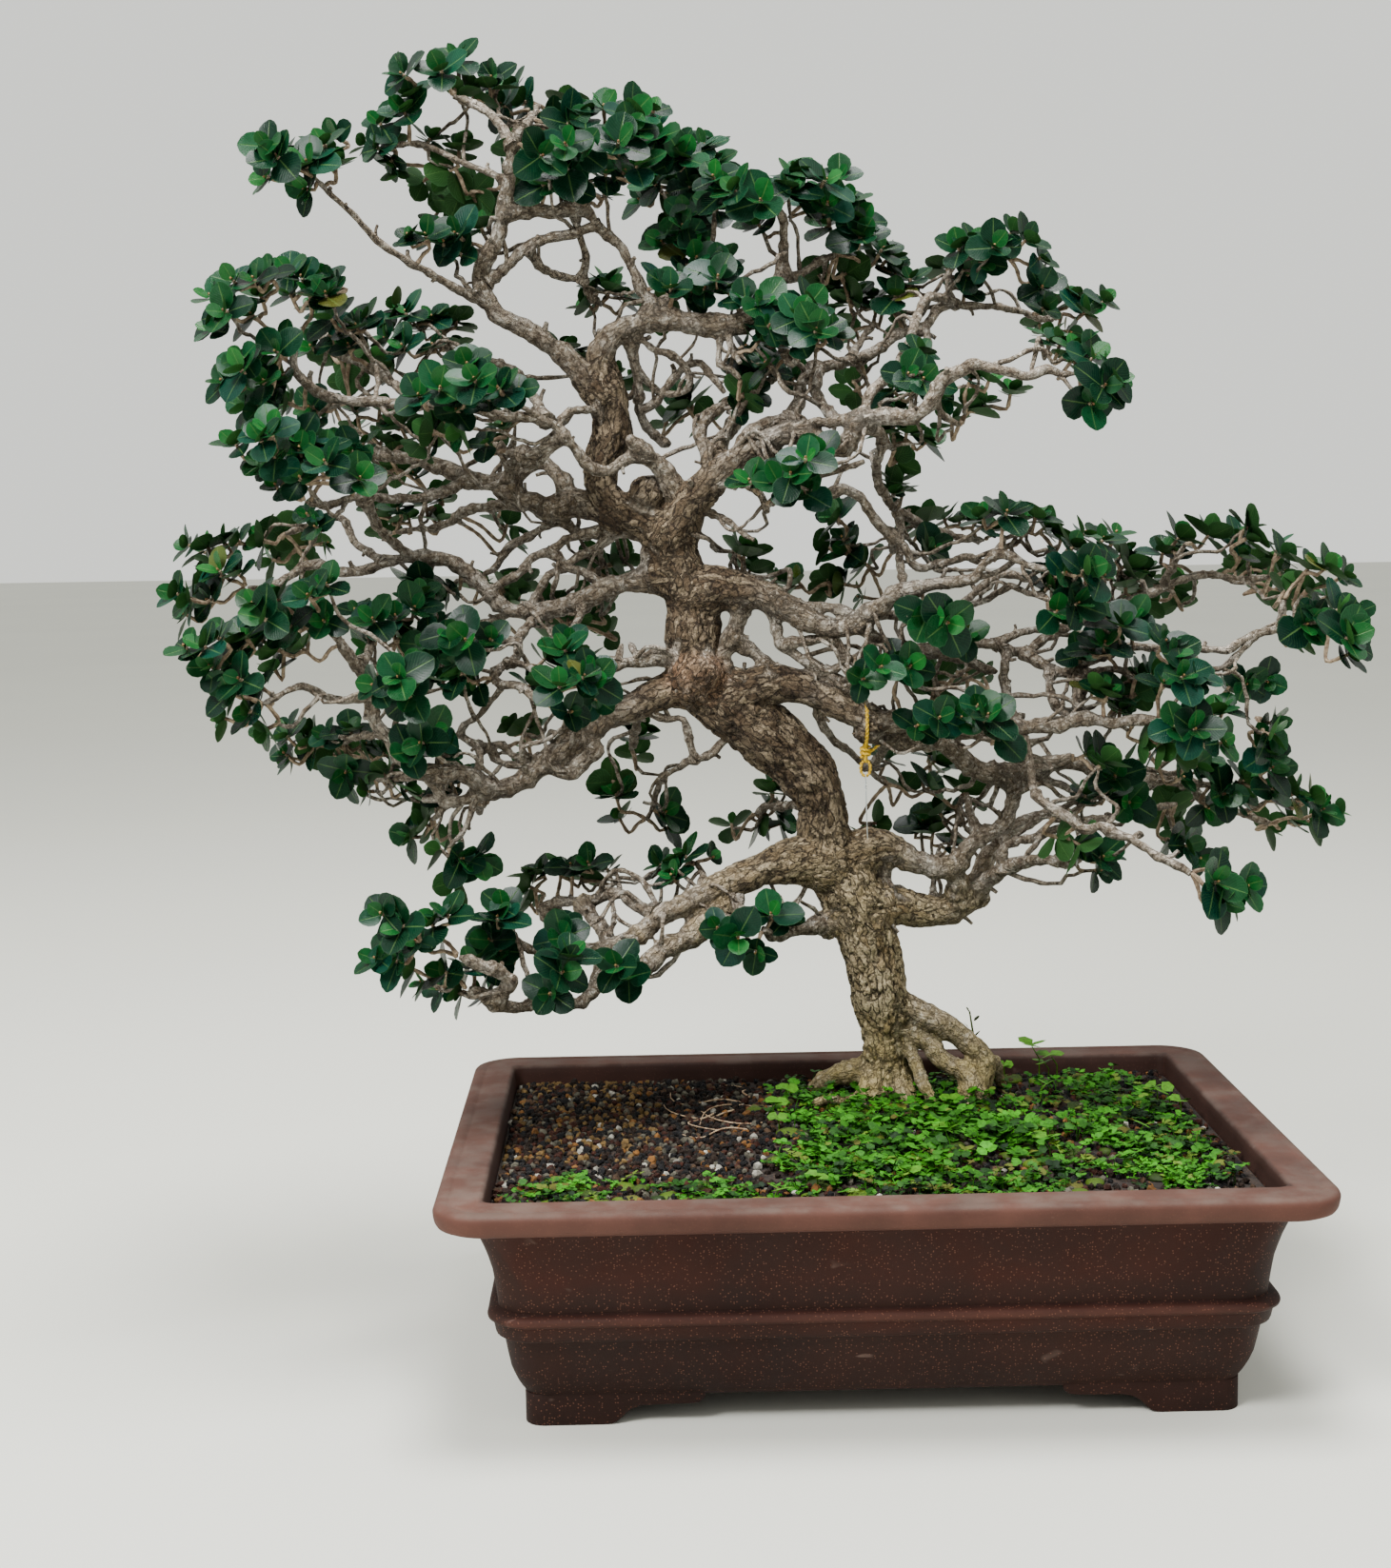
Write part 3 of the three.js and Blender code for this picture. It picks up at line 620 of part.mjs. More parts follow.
// SPRAYS: name, then clusters of leaves: x, z, half width, half height, how much deeper, size of leaf.
const SPRAYS = [
  ["crownA", [[-297, 938, 30, 18, -25, 1.15], [-325, 908, 22, 22, -10, 1], [-262, 925, 14, 12, -5, 0.9],
    [-232, 915, 28, 14, 35, 1.1], [-205, 900, 14, 14, -10, 1.05]]],
  ["crownC", [[-226, 877, 24, 18, -55, 1.1], [-206, 868, 12, 12, -40, 1], [-168, 884, 26, 18, -45, 1.15],
    [-158, 905, 22, 13, -20, 1.05], [-178, 862, 14, 10, -20, 0.95]]],
  ["crownD", [[-292, 868, 24, 20, 0, 1], [-270, 850, 20, 18, 10, 1], [-292, 845, 16, 12, 45, 0.9],
    [-345, 884, 12, 10, 0, 0.7], [-335, 880, 8, 8, 5, 0.75], [-288, 820, 20, 11, -30, 0.95],
    [-312, 818, 12, 8, -45, 0.85]]],
  ["crownF", [[-398, 872, 18, 15, -90, 1], [-420, 878, 14, 14, -105, 0.95], [-385, 885, 14, 12, -75, 0.9]]],
  ["crownI", [[-120, 874, 24, 18, 60, 1.2], [-140, 888, 18, 12, 45, 1.2], [-100, 868, 14, 14, 85, 1.05],
    [-140, 855, 22, 14, 95, 1], [-118, 848, 18, 14, 120, 1]]],
  ["crownK", [[-120, 822, 16, 14, 40, 1], [-112, 800, 20, 14, 20, 0.95], [-95, 785, 14, 14, -10, 1.05],
    [-178, 775, 16, 11, 30, 1.1], [-130, 778, 14, 14, -20, 0.9]]],
  ["crownM", [[-62, 842, 22, 20, -5, 1.2], [-88, 850, 16, 14, 15, 1], [-42, 850, 14, 14, 10, 1.1],
    [-15, 855, 18, 14, 20, 1.05], [-10, 838, 14, 12, 50, 0.9]]],
  ["crownO", [[12, 814, 18, 16, 40, 1.15], [0, 788, 26, 20, 75, 1.05], [32, 798, 10, 12, 85, 0.9],
    [38, 770, 18, 18, 60, 1], [5, 765, 24, 16, 95, 1], [-10, 750, 20, 12, 110, 1]]],
  ["crownQ", [[-35, 755, 22, 16, -45, 1.15], [-62, 765, 13, 13, -30, 1], [-22, 745, 12, 10, -60, 0.95],
    [-66, 738, 18, 16, -25, 1.1], [-62, 718, 20, 14, 20, 1.05], [-78, 700, 9, 9, -5, 0.8]]],
  ["crownS", [[-118, 690, 20, 11, 75, 1.05], [-205, 735, 12, 12, 30, 0.85], [-170, 712, 12, 10, 45, 0.9]]],
  ["leftA", [[-440, 788, 18, 12, -95, 1], [-462, 766, 24, 14, -110, 1.1], [-452, 722, 20, 13, -120, 1.05],
    [-425, 735, 16, 12, -95, 0.95], [-437, 705, 20, 12, -75, 1.05]]],
  ["leftB", [[-405, 788, 24, 12, -30, 1.05], [-388, 776, 14, 18, -50, 1.1], [-388, 755, 18, 16, 30, 1],
    [-365, 752, 10, 12, -20, 0.9], [-372, 728, 18, 14, 80, 1]]],
  ["leftE", [[-330, 738, 24, 14, 90, 1.05], [-328, 762, 20, 11, 115, 1], [-300, 752, 18, 12, 130, 1]]],
  ["leftF", [[-305, 706, 18, 16, -95, 1.1], [-278, 712, 22, 14, -110, 1.05],
    [-258, 704, 10, 12, -90, 0.95], [-287, 678, 24, 18, -45, 1.15], [-258, 676, 10, 12, 10, 0.85],
    [-310, 675, 14, 10, -25, 1]]],
  ["leftH", [[-335, 678, 18, 10, 75, 1.05], [-368, 690, 18, 10, 90, 1], [-400, 695, 18, 14, 10, 1],
    [-340, 650, 20, 12, 75, 1], [-318, 620, 20, 10, 130, 1], [-345, 612, 16, 9, 150, 0.9]]],
  ["leftI", [[-392, 652, 26, 18, -125, 1.25], [-372, 662, 14, 12, -60, 1], [-412, 662, 14, 12, -100, 1],
    [-440, 670, 20, 12, -150, 1.1], [-428, 650, 14, 14, -120, 0.95], [-432, 690, 12, 12, -100, 0.85]]],
  ["leftL", [[-440, 596, 22, 11, 70, 1.2], [-418, 590, 20, 10, 105, 1], [-400, 605, 12, 8, 60, 0.8],
    [-483, 590, 14, 12, 40, 1], [-474, 572, 18, 10, 5, 1], [-497, 552, 14, 10, -15, 1.05]]],
  ["leftN", [[-408, 552, 26, 16, -130, 1.35], [-442, 536, 26, 18, -150, 1.35],
    [-462, 518, 18, 14, -125, 1.15], [-488, 515, 16, 14, -170, 1.05], [-432, 512, 20, 12, -90, 1.15],
    [-420, 535, 18, 12, -60, 1.1], [-462, 490, 16, 11, -165, 1], [-455, 466, 18, 11, -145, 1.15]]],
  ["leftQ", [[-360, 533, 16, 15, -60, 1.2], [-330, 541, 22, 14, -35, 1.15], [-322, 560, 20, 10, 20, 1],
    [-290, 518, 22, 13, -75, 1.25], [-318, 515, 16, 13, -50, 1.1], [-342, 520, 12, 10, -20, 0.9],
    [-342, 490, 16, 16, -145, 1.3], [-295, 492, 20, 10, -60, 1.1]]],
  ["leftT", [[-220, 480, 26, 16, -85, 1.35], [-195, 484, 12, 10, -70, 1.05], [-215, 508, 24, 9, -40, 1]]],
  ["leftU", [[-408, 440, 20, 14, 40, 1.1], [-428, 445, 10, 12, 25, 0.9], [-385, 445, 12, 16, 15, 1.2],
    [-358, 432, 14, 14, 60, 1.1], [-355, 411, 14, 9, -20, 1.1], [-385, 420, 12, 9, 10, 1]]],
  ["leftW", [[-325, 440, 20, 11, -75, 1.3], [-305, 408, 12, 9, 15, 1.05], [-248, 447, 14, 12, 25, 0.8],
    [-324, 376, 16, 14, 55, 1], [-300, 350, 16, 14, -60, 1.15]]],
  ["leftY", [[-225, 540, 16, 12, 40, 1.05], [-190, 537, 12, 14, 60, 1], [-262, 557, 22, 9, 90, 1],
    [-180, 574, 16, 9, 70, 0.95], [-258, 604, 12, 12, 110, 0.95]]],
  ["hangB", [[-178, 396, 20, 15, 70, 1.15], [-143, 382, 12, 9, 50, 1.2], [-162, 440, 18, 11, 75, 1.1],
    [-125, 347, 18, 9, -5, 1], [-135, 331, 12, 9, -20, 0.9]]],
  ["lowA", [[-345, 297, 22, 16, -185, 1.2], [-322, 297, 18, 16, -150, 1.05], [-350, 270, 16, 13, -160, 1],
    [-312, 260, 22, 15, -135, 1.15], [-300, 245, 16, 9, -115, 1]]],
  ["lowB", [[-272, 300, 20, 14, -110, 1.2], [-270, 277, 16, 12, -85, 1.15],
    [-225, 258, 28, 14, -130, 1.45], [-222, 286, 16, 10, -95, 1.1], [-180, 262, 12, 10, -110, 1.1]]],
  ["lowE", [[-245, 326, 18, 12, 65, 1], [-222, 338, 16, 14, 45, 1.15], [-200, 342, 18, 18, 20, 1.05]]],
  ["lowG", [[-86, 285, 20, 18, -75, 1.2], [-60, 300, 12, 10, -50, 1]]],
  ["lowH", [[-70, 375, 20, 15, 85, 1.1], [-58, 395, 14, 10, 60, 0.9]]],
  ["rightA", [[88, 803, 16, 10, 60, 1], [92, 786, 14, 9, 75, 1], [112, 806, 14, 8, 40, 1],
    [135, 810, 14, 14, 45, 1.1], [148, 775, 20, 14, 70, 1.05], [180, 757, 20, 16, 120, 1.15],
    [158, 760, 16, 14, 140, 1]]],
  ["rightD", [[162, 732, 16, 14, -70, 1.2], [186, 722, 16, 14, -110, 1.05], [195, 702, 14, 12, -130, 1],
    [108, 706, 18, 11, -60, 1.05], [92, 686, 18, 13, -40, 1.1], [58, 708, 18, 12, -60, 1.2],
    [56, 728, 12, 9, -30, 0.85], [38, 700, 12, 10, 20, 1]]],
  ["rightG", [[8, 702, 12, 11, 55, 1.05], [35, 686, 16, 8, 50, 1], [46, 668, 14, 12, 0, 1.15],
    [38, 648, 18, 14, 35, 1.1], [36, 622, 10, 9, 50, 0.8], [62, 602, 16, 13, 80, 1.2],
    [98, 600, 14, 9, 95, 0.9], [60, 580, 12, 8, 20, 0.9]]],
  ["rightI", [[-50, 632, 20, 18, -75, 1.1], [-30, 650, 16, 9, -95, 0.95]]],
  ["rightJ", [[-5, 605, 18, 13, 45, 1.1], [2, 580, 14, 14, 60, 1.1], [0, 556, 16, 14, 75, 0.95],
    [-35, 557, 22, 12, 70, 1.1], [-78, 578, 26, 11, 45, 1.15]]],
  ["rightM", [[122, 606, 22, 17, -60, 1.55], [150, 596, 16, 14, -30, 1.15], [172, 580, 20, 16, -75, 1.25],
    [180, 563, 14, 11, -100, 1.05], [160, 560, 14, 10, -50, 1]]],
  ["rightO", [[212, 566, 20, 15, 30, 1.3], [226, 552, 14, 10, 50, 1], [195, 585, 14, 10, 0, 0.95],
    [242, 575, 16, 16, 40, 1], [250, 550, 14, 10, 90, 0.95]]],
  ["rightP", [[76, 526, 20, 18, -70, 1.4], [25, 492, 16, 12, -75, 1.25], [47, 492, 12, 12, -55, 1]]],
  ["rightR", [[175, 538, 20, 11, -85, 1.1], [210, 520, 22, 14, -80, 1.25], [190, 503, 16, 11, -60, 1.1]]],
  ["rightS", [[250, 498, 20, 13, -95, 1.35], [258, 480, 16, 12, -110, 1.2], [232, 482, 10, 12, -60, 1],
    [200, 466, 18, 14, -75, 1.3], [222, 468, 12, 12, -50, 1]]],
  ["rightV", [[276, 588, 22, 12, 30, 1.25], [304, 585, 16, 14, 10, 1.2], [332, 572, 18, 11, 60, 1.1],
    [330, 548, 20, 9, 100, 1.1], [310, 565, 14, 10, 120, 1]]],
  ["rightX", [[366, 562, 16, 13, -60, 1.25], [352, 545, 16, 11, -25, 1.1], [352, 520, 16, 13, -75, 1.25],
    [376, 530, 14, 13, -90, 1.1], [384, 508, 16, 12, -115, 1.75]]],
  ["endB", [[306, 476, 16, 10, 30, 0.95], [282, 450, 14, 9, 10, 1], [325, 436, 18, 14, -50, 1.5],
    [326, 408, 14, 14, -20, 1.15], [306, 400, 12, 12, 0, 0.95], [290, 390, 14, 12, 0, 1.35],
    [268, 412, 16, 8, -20, 1], [344, 388, 16, 11, 30, 1.3], [342, 368, 18, 11, 85, 1.35],
    [366, 375, 12, 16, 60, 1.1]]],
  ["endA", [[268, 440, 22, 14, -110, 1.25], [240, 430, 18, 11, -75, 1.2], [196, 415, 18, 14, -60, 1.4],
    [200, 390, 16, 10, -20, 1]]],
  ["endF", [[250, 378, 22, 16, 110, 1.3], [262, 350, 18, 9, 80, 1]]],
  ["endG", [[178, 353, 20, 14, -90, 1.4], [196, 343, 10, 9, -60, 1.1]]],
  ["endH", [[285, 320, 20, 16, -170, 1.55], [308, 318, 10, 12, -150, 1.15]]],
  ["endI", [[108, 452, 20, 16, -95, 1.45], [70, 452, 16, 10, -70, 1]]],
  ["endJ", [[68, 482, 14, 12, 50, 1], [92, 486, 12, 11, 70, 1]]],
  ["endK", [[62, 398, 26, 12, 60, 1.35], [72, 378, 18, 11, 85, 1.2], [66, 362, 16, 8, 100, 1],
    [30, 420, 8, 9, 70, 0.9], [66, 418, 16, 7, 95, 0.95], [20, 372, 12, 9, 80, 0.8]]],
];

const SIMPLIFY = 3; // bends flatter than this are left out of a limb
const KNOTS = [
  // x, z, depth, radius: swellings of the trunk
  [-115, 487, -7, 24],
  [-150, 628, -2, 14],
];
const STUB_REACH = 5;
const STUB_RADIUS = 2.3;

// LIMB LINES
const rows = new Map(LIMBS.map((row) => [row[0], row]));
const lines = new Map();
lines.set("trunk", {
  flat: TRUNK.map(([x, z]) => [x, z]),
  depth: TRUNK.map((row) => row[2]),
  radii: TRUNK.map((row) => row[3]),
});

// How deep a limb lies at its point nearest to x, z as seen from the front.
function depthAt(name, x, z) {
  const { flat, depth } = lineOf(name);
  let best = Infinity;
  let found = 0;
  for (let i = 0; i + 1 < flat.length; i++) {
    const [ax, az] = flat[i];
    const dx = flat[i + 1][0] - ax;
    const dz = flat[i + 1][1] - az;
    const t = Math.min(1, Math.max(0, ((x - ax) * dx + (z - az) * dz) / (dx * dx + dz * dz)));
    const gap = Math.hypot(ax + dx * t - x, az + dz * t - z);
    if (gap < best) {
      best = gap;
      found = depth[i] + (depth[i + 1] - depth[i]) * t;
    }
  }
  return found;
}

function lineOf(name) {
  if (lines.has(name)) return lines.get(name);
  const [, from, first, last, end, pairs, joins] = rows.get(name);
  const number = LIMBS.indexOf(rows.get(name));
  const flat = [];
  for (let i = 0; i < pairs.length; i += 2) flat.push([pairs[i], pairs[i + 1]]);
  const gone = [0];
  for (let i = 1; i < flat.length; i++)
    gone.push(gone[i - 1] + Math.hypot(flat[i][0] - flat[i - 1][0], flat[i][1] - flat[i - 1][1]));
  const whole = gone[gone.length - 1];
  const start = depthAt(from, ...flat[0]);
  const stop = joins ? depthAt(joins, ...flat[flat.length - 1]) : end;
  const bow = 0.09 * whole * (draw(number, 0, 1) - 0.5);
  const depth = gone.map((g) => start + (stop - start) * (g / whole) + bow * Math.sin((Math.PI * g) / whole));
  const radii = gone.map((g, i) => {
    const even = first + (last - first) * Math.pow(g / whole, 0.7);
    return even * (1 + 0.14 * (draw(number, i, 2) - 0.5));
  });
  lines.set(name, { flat, depth, radii });
  return lines.get(name);
}

const limbs = [];
for (const name of ["trunk", ...rows.keys()]) {
  const { flat, depth, radii } = lineOf(name);
  const points = flat.map(([x, z], i) => placed(x, z, depth[i]));
  limbs.push({ name, points, radii: radii.map((r, i) => r * grown(depth[i])) });
}

// Leaves out the points of a line that a straight run would miss by less than the given amount.
function thinned({ points, radii }, miss) {
  const keep = new Set([0, points.length - 1]);
  const split = (a, b) => {
    let worst = 0;
    let at = -1;
    const run = new THREE.Line3(points[a], points[b]);
    for (let i = a + 1; i < b; i++) {
      const near = run.closestPointToPoint(points[i], true, V());
      const t = near.distanceTo(points[a]) / Math.max(1e-6, points[a].distanceTo(points[b]));
      const gap = near.distanceTo(points[i]) + 0.6 * Math.abs(radii[i] - (radii[a] + (radii[b] - radii[a]) * t));
      if (gap > worst) {
        worst = gap;
        at = i;
      }
    }
    if (worst > miss) {
      keep.add(at);
      split(a, at);
      split(at, b);
    }
  };
  split(0, points.length - 1);
  const kept = [...keep].sort((a, b) => a - b);
  return { points: kept.map((i) => points[i]), radii: kept.map((i) => radii[i]) };
}

const sidesFor = (radius) => (radius > 20 ? 9 : radius > 12 ? 7 : radius > 6.5 ? 5 : 4);

// The nearest place on the wood: the point, the direction from it to p and the gap left to the bark.
function nearestWood(p) {
  let best = { gap: Infinity };
  for (const { points, radii } of limbs)
    for (let i = 0; i + 1 < points.length; i++) {
      const a = points[i];
      const run = points[i + 1].clone().sub(a);
      const t = Math.min(1, Math.max(0, p.clone().sub(a).dot(run) / run.lengthSq()));
      const on = a.clone().addScaledVector(run, t);
      const radius = radii[i] + (radii[i + 1] - radii[i]) * t;
      const gap = on.distanceTo(p) - radius;
      if (gap < best.gap) best = { gap, on, radius };
    }
  best.out = p.clone().sub(best.on);
  if (best.out.length() < 0.01) best.out.set(0, -1, 0.3);
  best.out.normalize();
  return best;
}

// SPRAYS: where each rosette of leaves stands and which way it looks.
const CROWN_MIDDLE = V(-60, 130, 520);
const HUB_CLEAR = 7;

function rosettes(clusters, seed) {
  return clusters.map(([x, z, halfWidth, halfHeight, deeper, size], i) => {
    const hub = placed(x, z, deeper);
    const near = nearestWood(hub);
    if (near.gap < HUB_CLEAR) hub.addScaledVector(near.out, HUB_CLEAR - near.gap);
    const axis = hub.clone().sub(CROWN_MIDDLE).divide(V(420, 220, 420)).multiplyScalar(0.55);
    axis.add(V(0, -0.35, 0.6)).addScaledVector(near.out, 0.7);
    axis.x += 0.9 * (draw(seed, i, 11) - 0.5);
    axis.y += 0.9 * (draw(seed, i, 12) - 0.5);
    axis.z += 0.6 * (draw(seed, i, 13) - 0.5);
    axis.normalize();
    const leaning = axis.dot(near.out);
    if (leaning < 0.3) axis.addScaledVector(near.out, 0.4 - leaning).normalize();
    const turn = 2 * Math.PI * draw(seed, i, 14);
    const helper = Math.abs(axis.z) < 0.9 ? V(0, 0, 1) : V(1, 0, 0);
    const first = helper.cross(axis).normalize();
    const second = axis.clone().cross(first);
    const facing = (angle) => first.clone().multiplyScalar(Math.cos(angle)).addScaledVector(second, Math.sin(angle));
    return { hub, axis, size, turn, seed, index: i, facing };
  });
}

const LEAF_SECTIONS = [
  // along the leaf, half its width, how far it is raised: all as parts of its length
  [0.42, 0.4, 0.05],
  [0.86, 0.27, 0.02],
];

// The four-cornered sections of one leaf. The leaves of a rosette stand crosswise, every other one higher.
function leafSections(rosette, number) {
  const { hub, axis, size, turn, seed, index, facing } = rosette;
  const radial = facing(turn + (number * Math.PI) / 2);
  const side = axis.clone().cross(radial);
  const upper = number % 2;
  const lift = (upper ? 0.52 : 0.1) + 0.22 * (draw(seed, index, 30 + number) - 0.5);
  const length = LEAF_LENGTH * size * (upper ? 0.88 : 1) * (0.88 + 0.24 * draw(seed, index, 40 + number));
  const narrow = upper ? 0.8 : 1;
  const along = radial.clone().multiplyScalar(Math.cos(lift)).addScaledVector(axis, Math.sin(lift));
  const normal = along.clone().cross(side);
  const root = hub.clone().addScaledVector(axis, HUB_HEIGHT / 2).addScaledVector(radial, TWIG_RADIUS * 0.7);
  return LEAF_SECTIONS.map(([t, half, raised]) => {
    const middle = root.clone().addScaledVector(along, t * length).addScaledVector(normal, raised * length);
    const corners = [
      [-1, -1],
      [1, -1],
      [1, 1],
      [-1, 1],
    ];
    return corners.map(([s, n]) =>
      middle
        .clone()
        .addScaledVector(side, s * half * narrow * length)
        .addScaledVector(normal, (n * LEAF_THICKNESS) / 2)
    );
  });
}

// The square ring of a twig: the hub's corners, tipped over to the way the twig runs.
function twigRing(p, rosette, radius, along = rosette.axis) {
  const tipped = new THREE.Quaternion().setFromUnitVectors(rosette.axis, along);
  return [0, 1, 2, 3].map((k) => {
    const out = rosette.facing(rosette.turn + ((k - 0.5) * Math.PI) / 2).applyQuaternion(tipped);
    return out.multiplyScalar(radius).add(p);
  });
}

// Whether a leaf would run into the lower part of its own twig.
function meetsOwnTwig(from, rosette, section) {
  const rings = twigRings(from, rosette);
  if (rings.length < 2) return false;
  const [start, bend] = rings;
  const lower = skin([start, bend.map((p, k) => p.clone().lerp(start[k], 0.1))]);
  const inner = skin([section.map((p) => p.clone().lerp(rosette.hub, 0.7)), section]);
  return lower.minGap(inner, KEEP_CLEAR) < KEEP_CLEAR;
}

// How straight a twig from a point comes up to its hub: 1 is along the hub's own axis, 0 is from the side.
const rise = (from, { hub, axis }) => hub.clone().sub(from).normalize().dot(axis);

// Where the last straight run up to a hub begins: at a bend, or on a straight twig at its start.
function beforeHub(from, rosette) {
  if (rise(from, rosette) > 0.85) return from;
  const run = rosette.hub.distanceTo(from);
  return rosette.hub.clone().addScaledVector(rosette.axis, -Math.min(12, Math.max(5, 0.4 * run)));
}

// The rings of a twig below its hub.
function twigRings(from, rosette) {
  const { hub, axis } = rosette;
  const bend = beforeHub(from, rosette);
  if (bend === from) return [twigRing(from, rosette, TWIG_RADIUS * 0.8, hub.clone().sub(from).normalize())];
  const first = bend.clone().sub(from).normalize();
  const halfWay = first.clone().add(axis).normalize();
  return [twigRing(from, rosette, TWIG_RADIUS * 0.8, first), twigRing(bend, rosette, TWIG_RADIUS, halfWay)];
}

// A twig from a point to the hub of a rosette, and the leaves with the given numbers on it, in one skin.
function twigWithLeaves(from, rosette, leaves) {
  const { hub, axis } = rosette;
  const top = hub.clone().addScaledVector(axis, HUB_HEIGHT);
  const rings = twigRings(from, rosette);
  rings.push(twigRing(hub, rosette, TWIG_RADIUS), twigRing(top, rosette, TWIG_RADIUS));
  const points = rings.flat();
  const triangles = [
    [0, 2, 1],
    [0, 3, 2],
  ];
  const wall = (a, b, c, d) => triangles.push([a, b, c], [a, c, d]);
  const lastRing = 4 * (rings.length - 1);
  const hubRing = lastRing - 4;
  for (let r = 0; r + 1 < rings.length; r++)
    for (let k = 0; k < 4; k++) {
      const a = 4 * r + k;
      const b = 4 * r + ((k + 1) % 4);
      if (4 * r === hubRing && leaves.includes(k)) continue;
      wall(a, b, b + 4, a + 4);
    }
  wall(lastRing, lastRing + 1, lastRing + 2, lastRing + 3);
  for (const k of leaves) {
    const next = (k + 1) % 4;
    let ring = [hubRing + k, hubRing + next, lastRing + next, lastRing + k];
    for (const section of leafSections(rosette, k)) {
      const start = points.length;
      points.push(...section);
      const outer = [start, start + 1, start + 2, start + 3];
      for (let c = 0; c < 4; c++) {
        const d = (c + 1) % 4;
        wall(ring[c], ring[d], outer[d], outer[c]);
      }
      ring = outer;
    }
    wall(...ring);
  }
  return solid(points, triangles);
}

// WOOD
const woodParts = limbs.map((limb) => {
  const { points, radii } = thinned(limb, SIMPLIFY);
  return tube(points, radii, sidesFor(Math.max(...radii)), 0.4);
});
for (const [x, z, deeper, radius] of KNOTS) {
  const ball = new THREE.IcosahedronGeometry(radius, 1);
  const middle = placed(x, z, deeper);
  const corner = ball.getAttribute("position");
  const points = [];
  const seen = new Map();
  const order = [];
  for (let i = 0; i < corner.count; i++) {
    const p = V().fromBufferAttribute(corner, i);
    const key = p.toArray().map((v) => v.toFixed(3)).join();
    if (!seen.has(key)) {
      seen.set(key, points.length);
      points.push(p.add(middle));
    }
    order.push(seen.get(key));
  }
  const faces = [];
  for (let i = 0; i < order.length; i += 3) faces.push(order.slice(i, i + 3));
  woodParts.push(solid(points, faces));
}

const wholeWood = coarsened(fused(woodParts), WOOD_TRIANGLES, SOIL_TOP + 25);
const sprays = SPRAYS.map(([name, clusters], seed) => ({ name, list: rosettes(clusters, seed + 100) }));

// SOIL AND GROUND COVER
const SOIL_EDGE_TOP = 147.5;
const soilRing = ([halfLength, halfDepth, corner, z]) =>
  levelRing(halfLength - 0.42, halfDepth - 0.42, corner, z);
const hugs = (name, more) => {
  const { points, radii } = thinned(limbs.find((limb) => limb.name === name), SIMPLIFY);
  const line = points.map((p) => p.clone());
  const last = line.length - 1;
  line[0].add(points[0].clone().sub(points[1]).setLength(more + 0.1));
  line[last].add(points[last].clone().sub(points[last - 1]).setLength(more + 0.1));
  const sides = sidesFor(Math.max(...radii));
  return tube(line, radii.map((r) => r + more / Math.cos(Math.PI / sides)), sides, 0.4);
};
const inSoil = ["trunk", ...LIMBS.map((row) => row[0]).filter((name) => name.startsWith("root"))];

function buildSoil() {
  const rings = [...INSIDE].reverse().map(([a, b, corner, z]) => soilRing([a, b, corner, z]));
  rings[0].forEach((p) => (p.z += CLEARANCE));
  const top = INSIDE[0];
  rings.push(soilRing([top[0] + 0.6, top[1] + 0.6, 9, SOIL_EDGE_TOP]));
  rings.push(levelRing(top[0] - 15, top[1] - 15, 12, SOIL_TOP - 0.5));
  const away = inSoil.map((name) => hugs(name, 0.45));
  const h = SCREEN_SIDE / 2 + CLEARANCE;
  for (const x of [-DRAIN_HOLE_OUT, DRAIN_HOLE_OUT])
    away.push(boxSolid(x - h, -h, FLOOR_TOP - 1, x + h, h, FLOOR_TOP + SCREEN_THICKNESS + 2 * CLEARANCE));
  return skin(rings).subtract(fused(away));
}

// A creeping mat on the soil with an uneven outline, and small blades that stand up from it.
function buildGroundCover(outline, blades, seed) {
  const bottom = SOIL_TOP - 0.5 + CLEARANCE;
  const shape = new THREE.Shape(outline.map(([x, y]) => new THREE.Vector2(x, y)));
  const mat = plateSolid(shape, MAT_THICKNESS).translate([0, 0, bottom]);
  const bodies = [mat];
  const reach = [0, 1].map((k) => [Math.min(...outline.map((p) => p[k])), Math.max(...outline.map((p) => p[k]))]);
  for (let i = 0; bodies.length <= blades; i++) {
    const [x, y] = reach.map(([low, high], k) => low + (high - low) * draw(seed, i, k));
    const bed = boxSolid(x - 4, y - 4, bottom, x + 4, y + 4, bottom + 0.5);
    if (mat.intersect(bed).volume() < bed.volume() * 0.999) continue;
    const turn = 2 * Math.PI * draw(seed, i, 2);
    const length = 9 + 5 * draw(seed, i, 3);
    const lift = 0.35 + 0.6 * draw(seed, i, 4);
    const side = V(-Math.sin(turn), Math.cos(turn), 0);
    const along = V(Math.cos(turn) * Math.cos(lift), Math.sin(turn) * Math.cos(lift), Math.sin(lift));
    const normal = along.clone().cross(side);
    const root = V(x, y, bottom + 0.75);
    const face = (off) =>
      [
        [0, 0],
        [0.5, -0.3],
        [1, 0],
        [0.5, 0.3],
      ].map(([t, across]) => {
        const p = root.clone().addScaledVector(along, t * length);
        return p.addScaledVector(side, across * length).addScaledVector(normal, off);
      });
    bodies.push(skin([face(-LEAF_THICKNESS / 2), face(LEAF_THICKNESS / 2)]));
  }
  return fused(bodies);
}

// TIE AND GUY LINE
const TIE_AT = 14;
const TIE_LIMB = "tied";
const TIE_RADIUS = 1.6;
const TIE_HALF_HEIGHT = 15.4;
const TIE_HALF_DEPTH = 15.2;
const EYE_HALF = [3.7, 6];
const GUY_RADIUS = 0.7;
const GUY_RING = 3.2;
const GUY_FOOT = [12, 354, -25]; // x, z and depth the line is aimed at

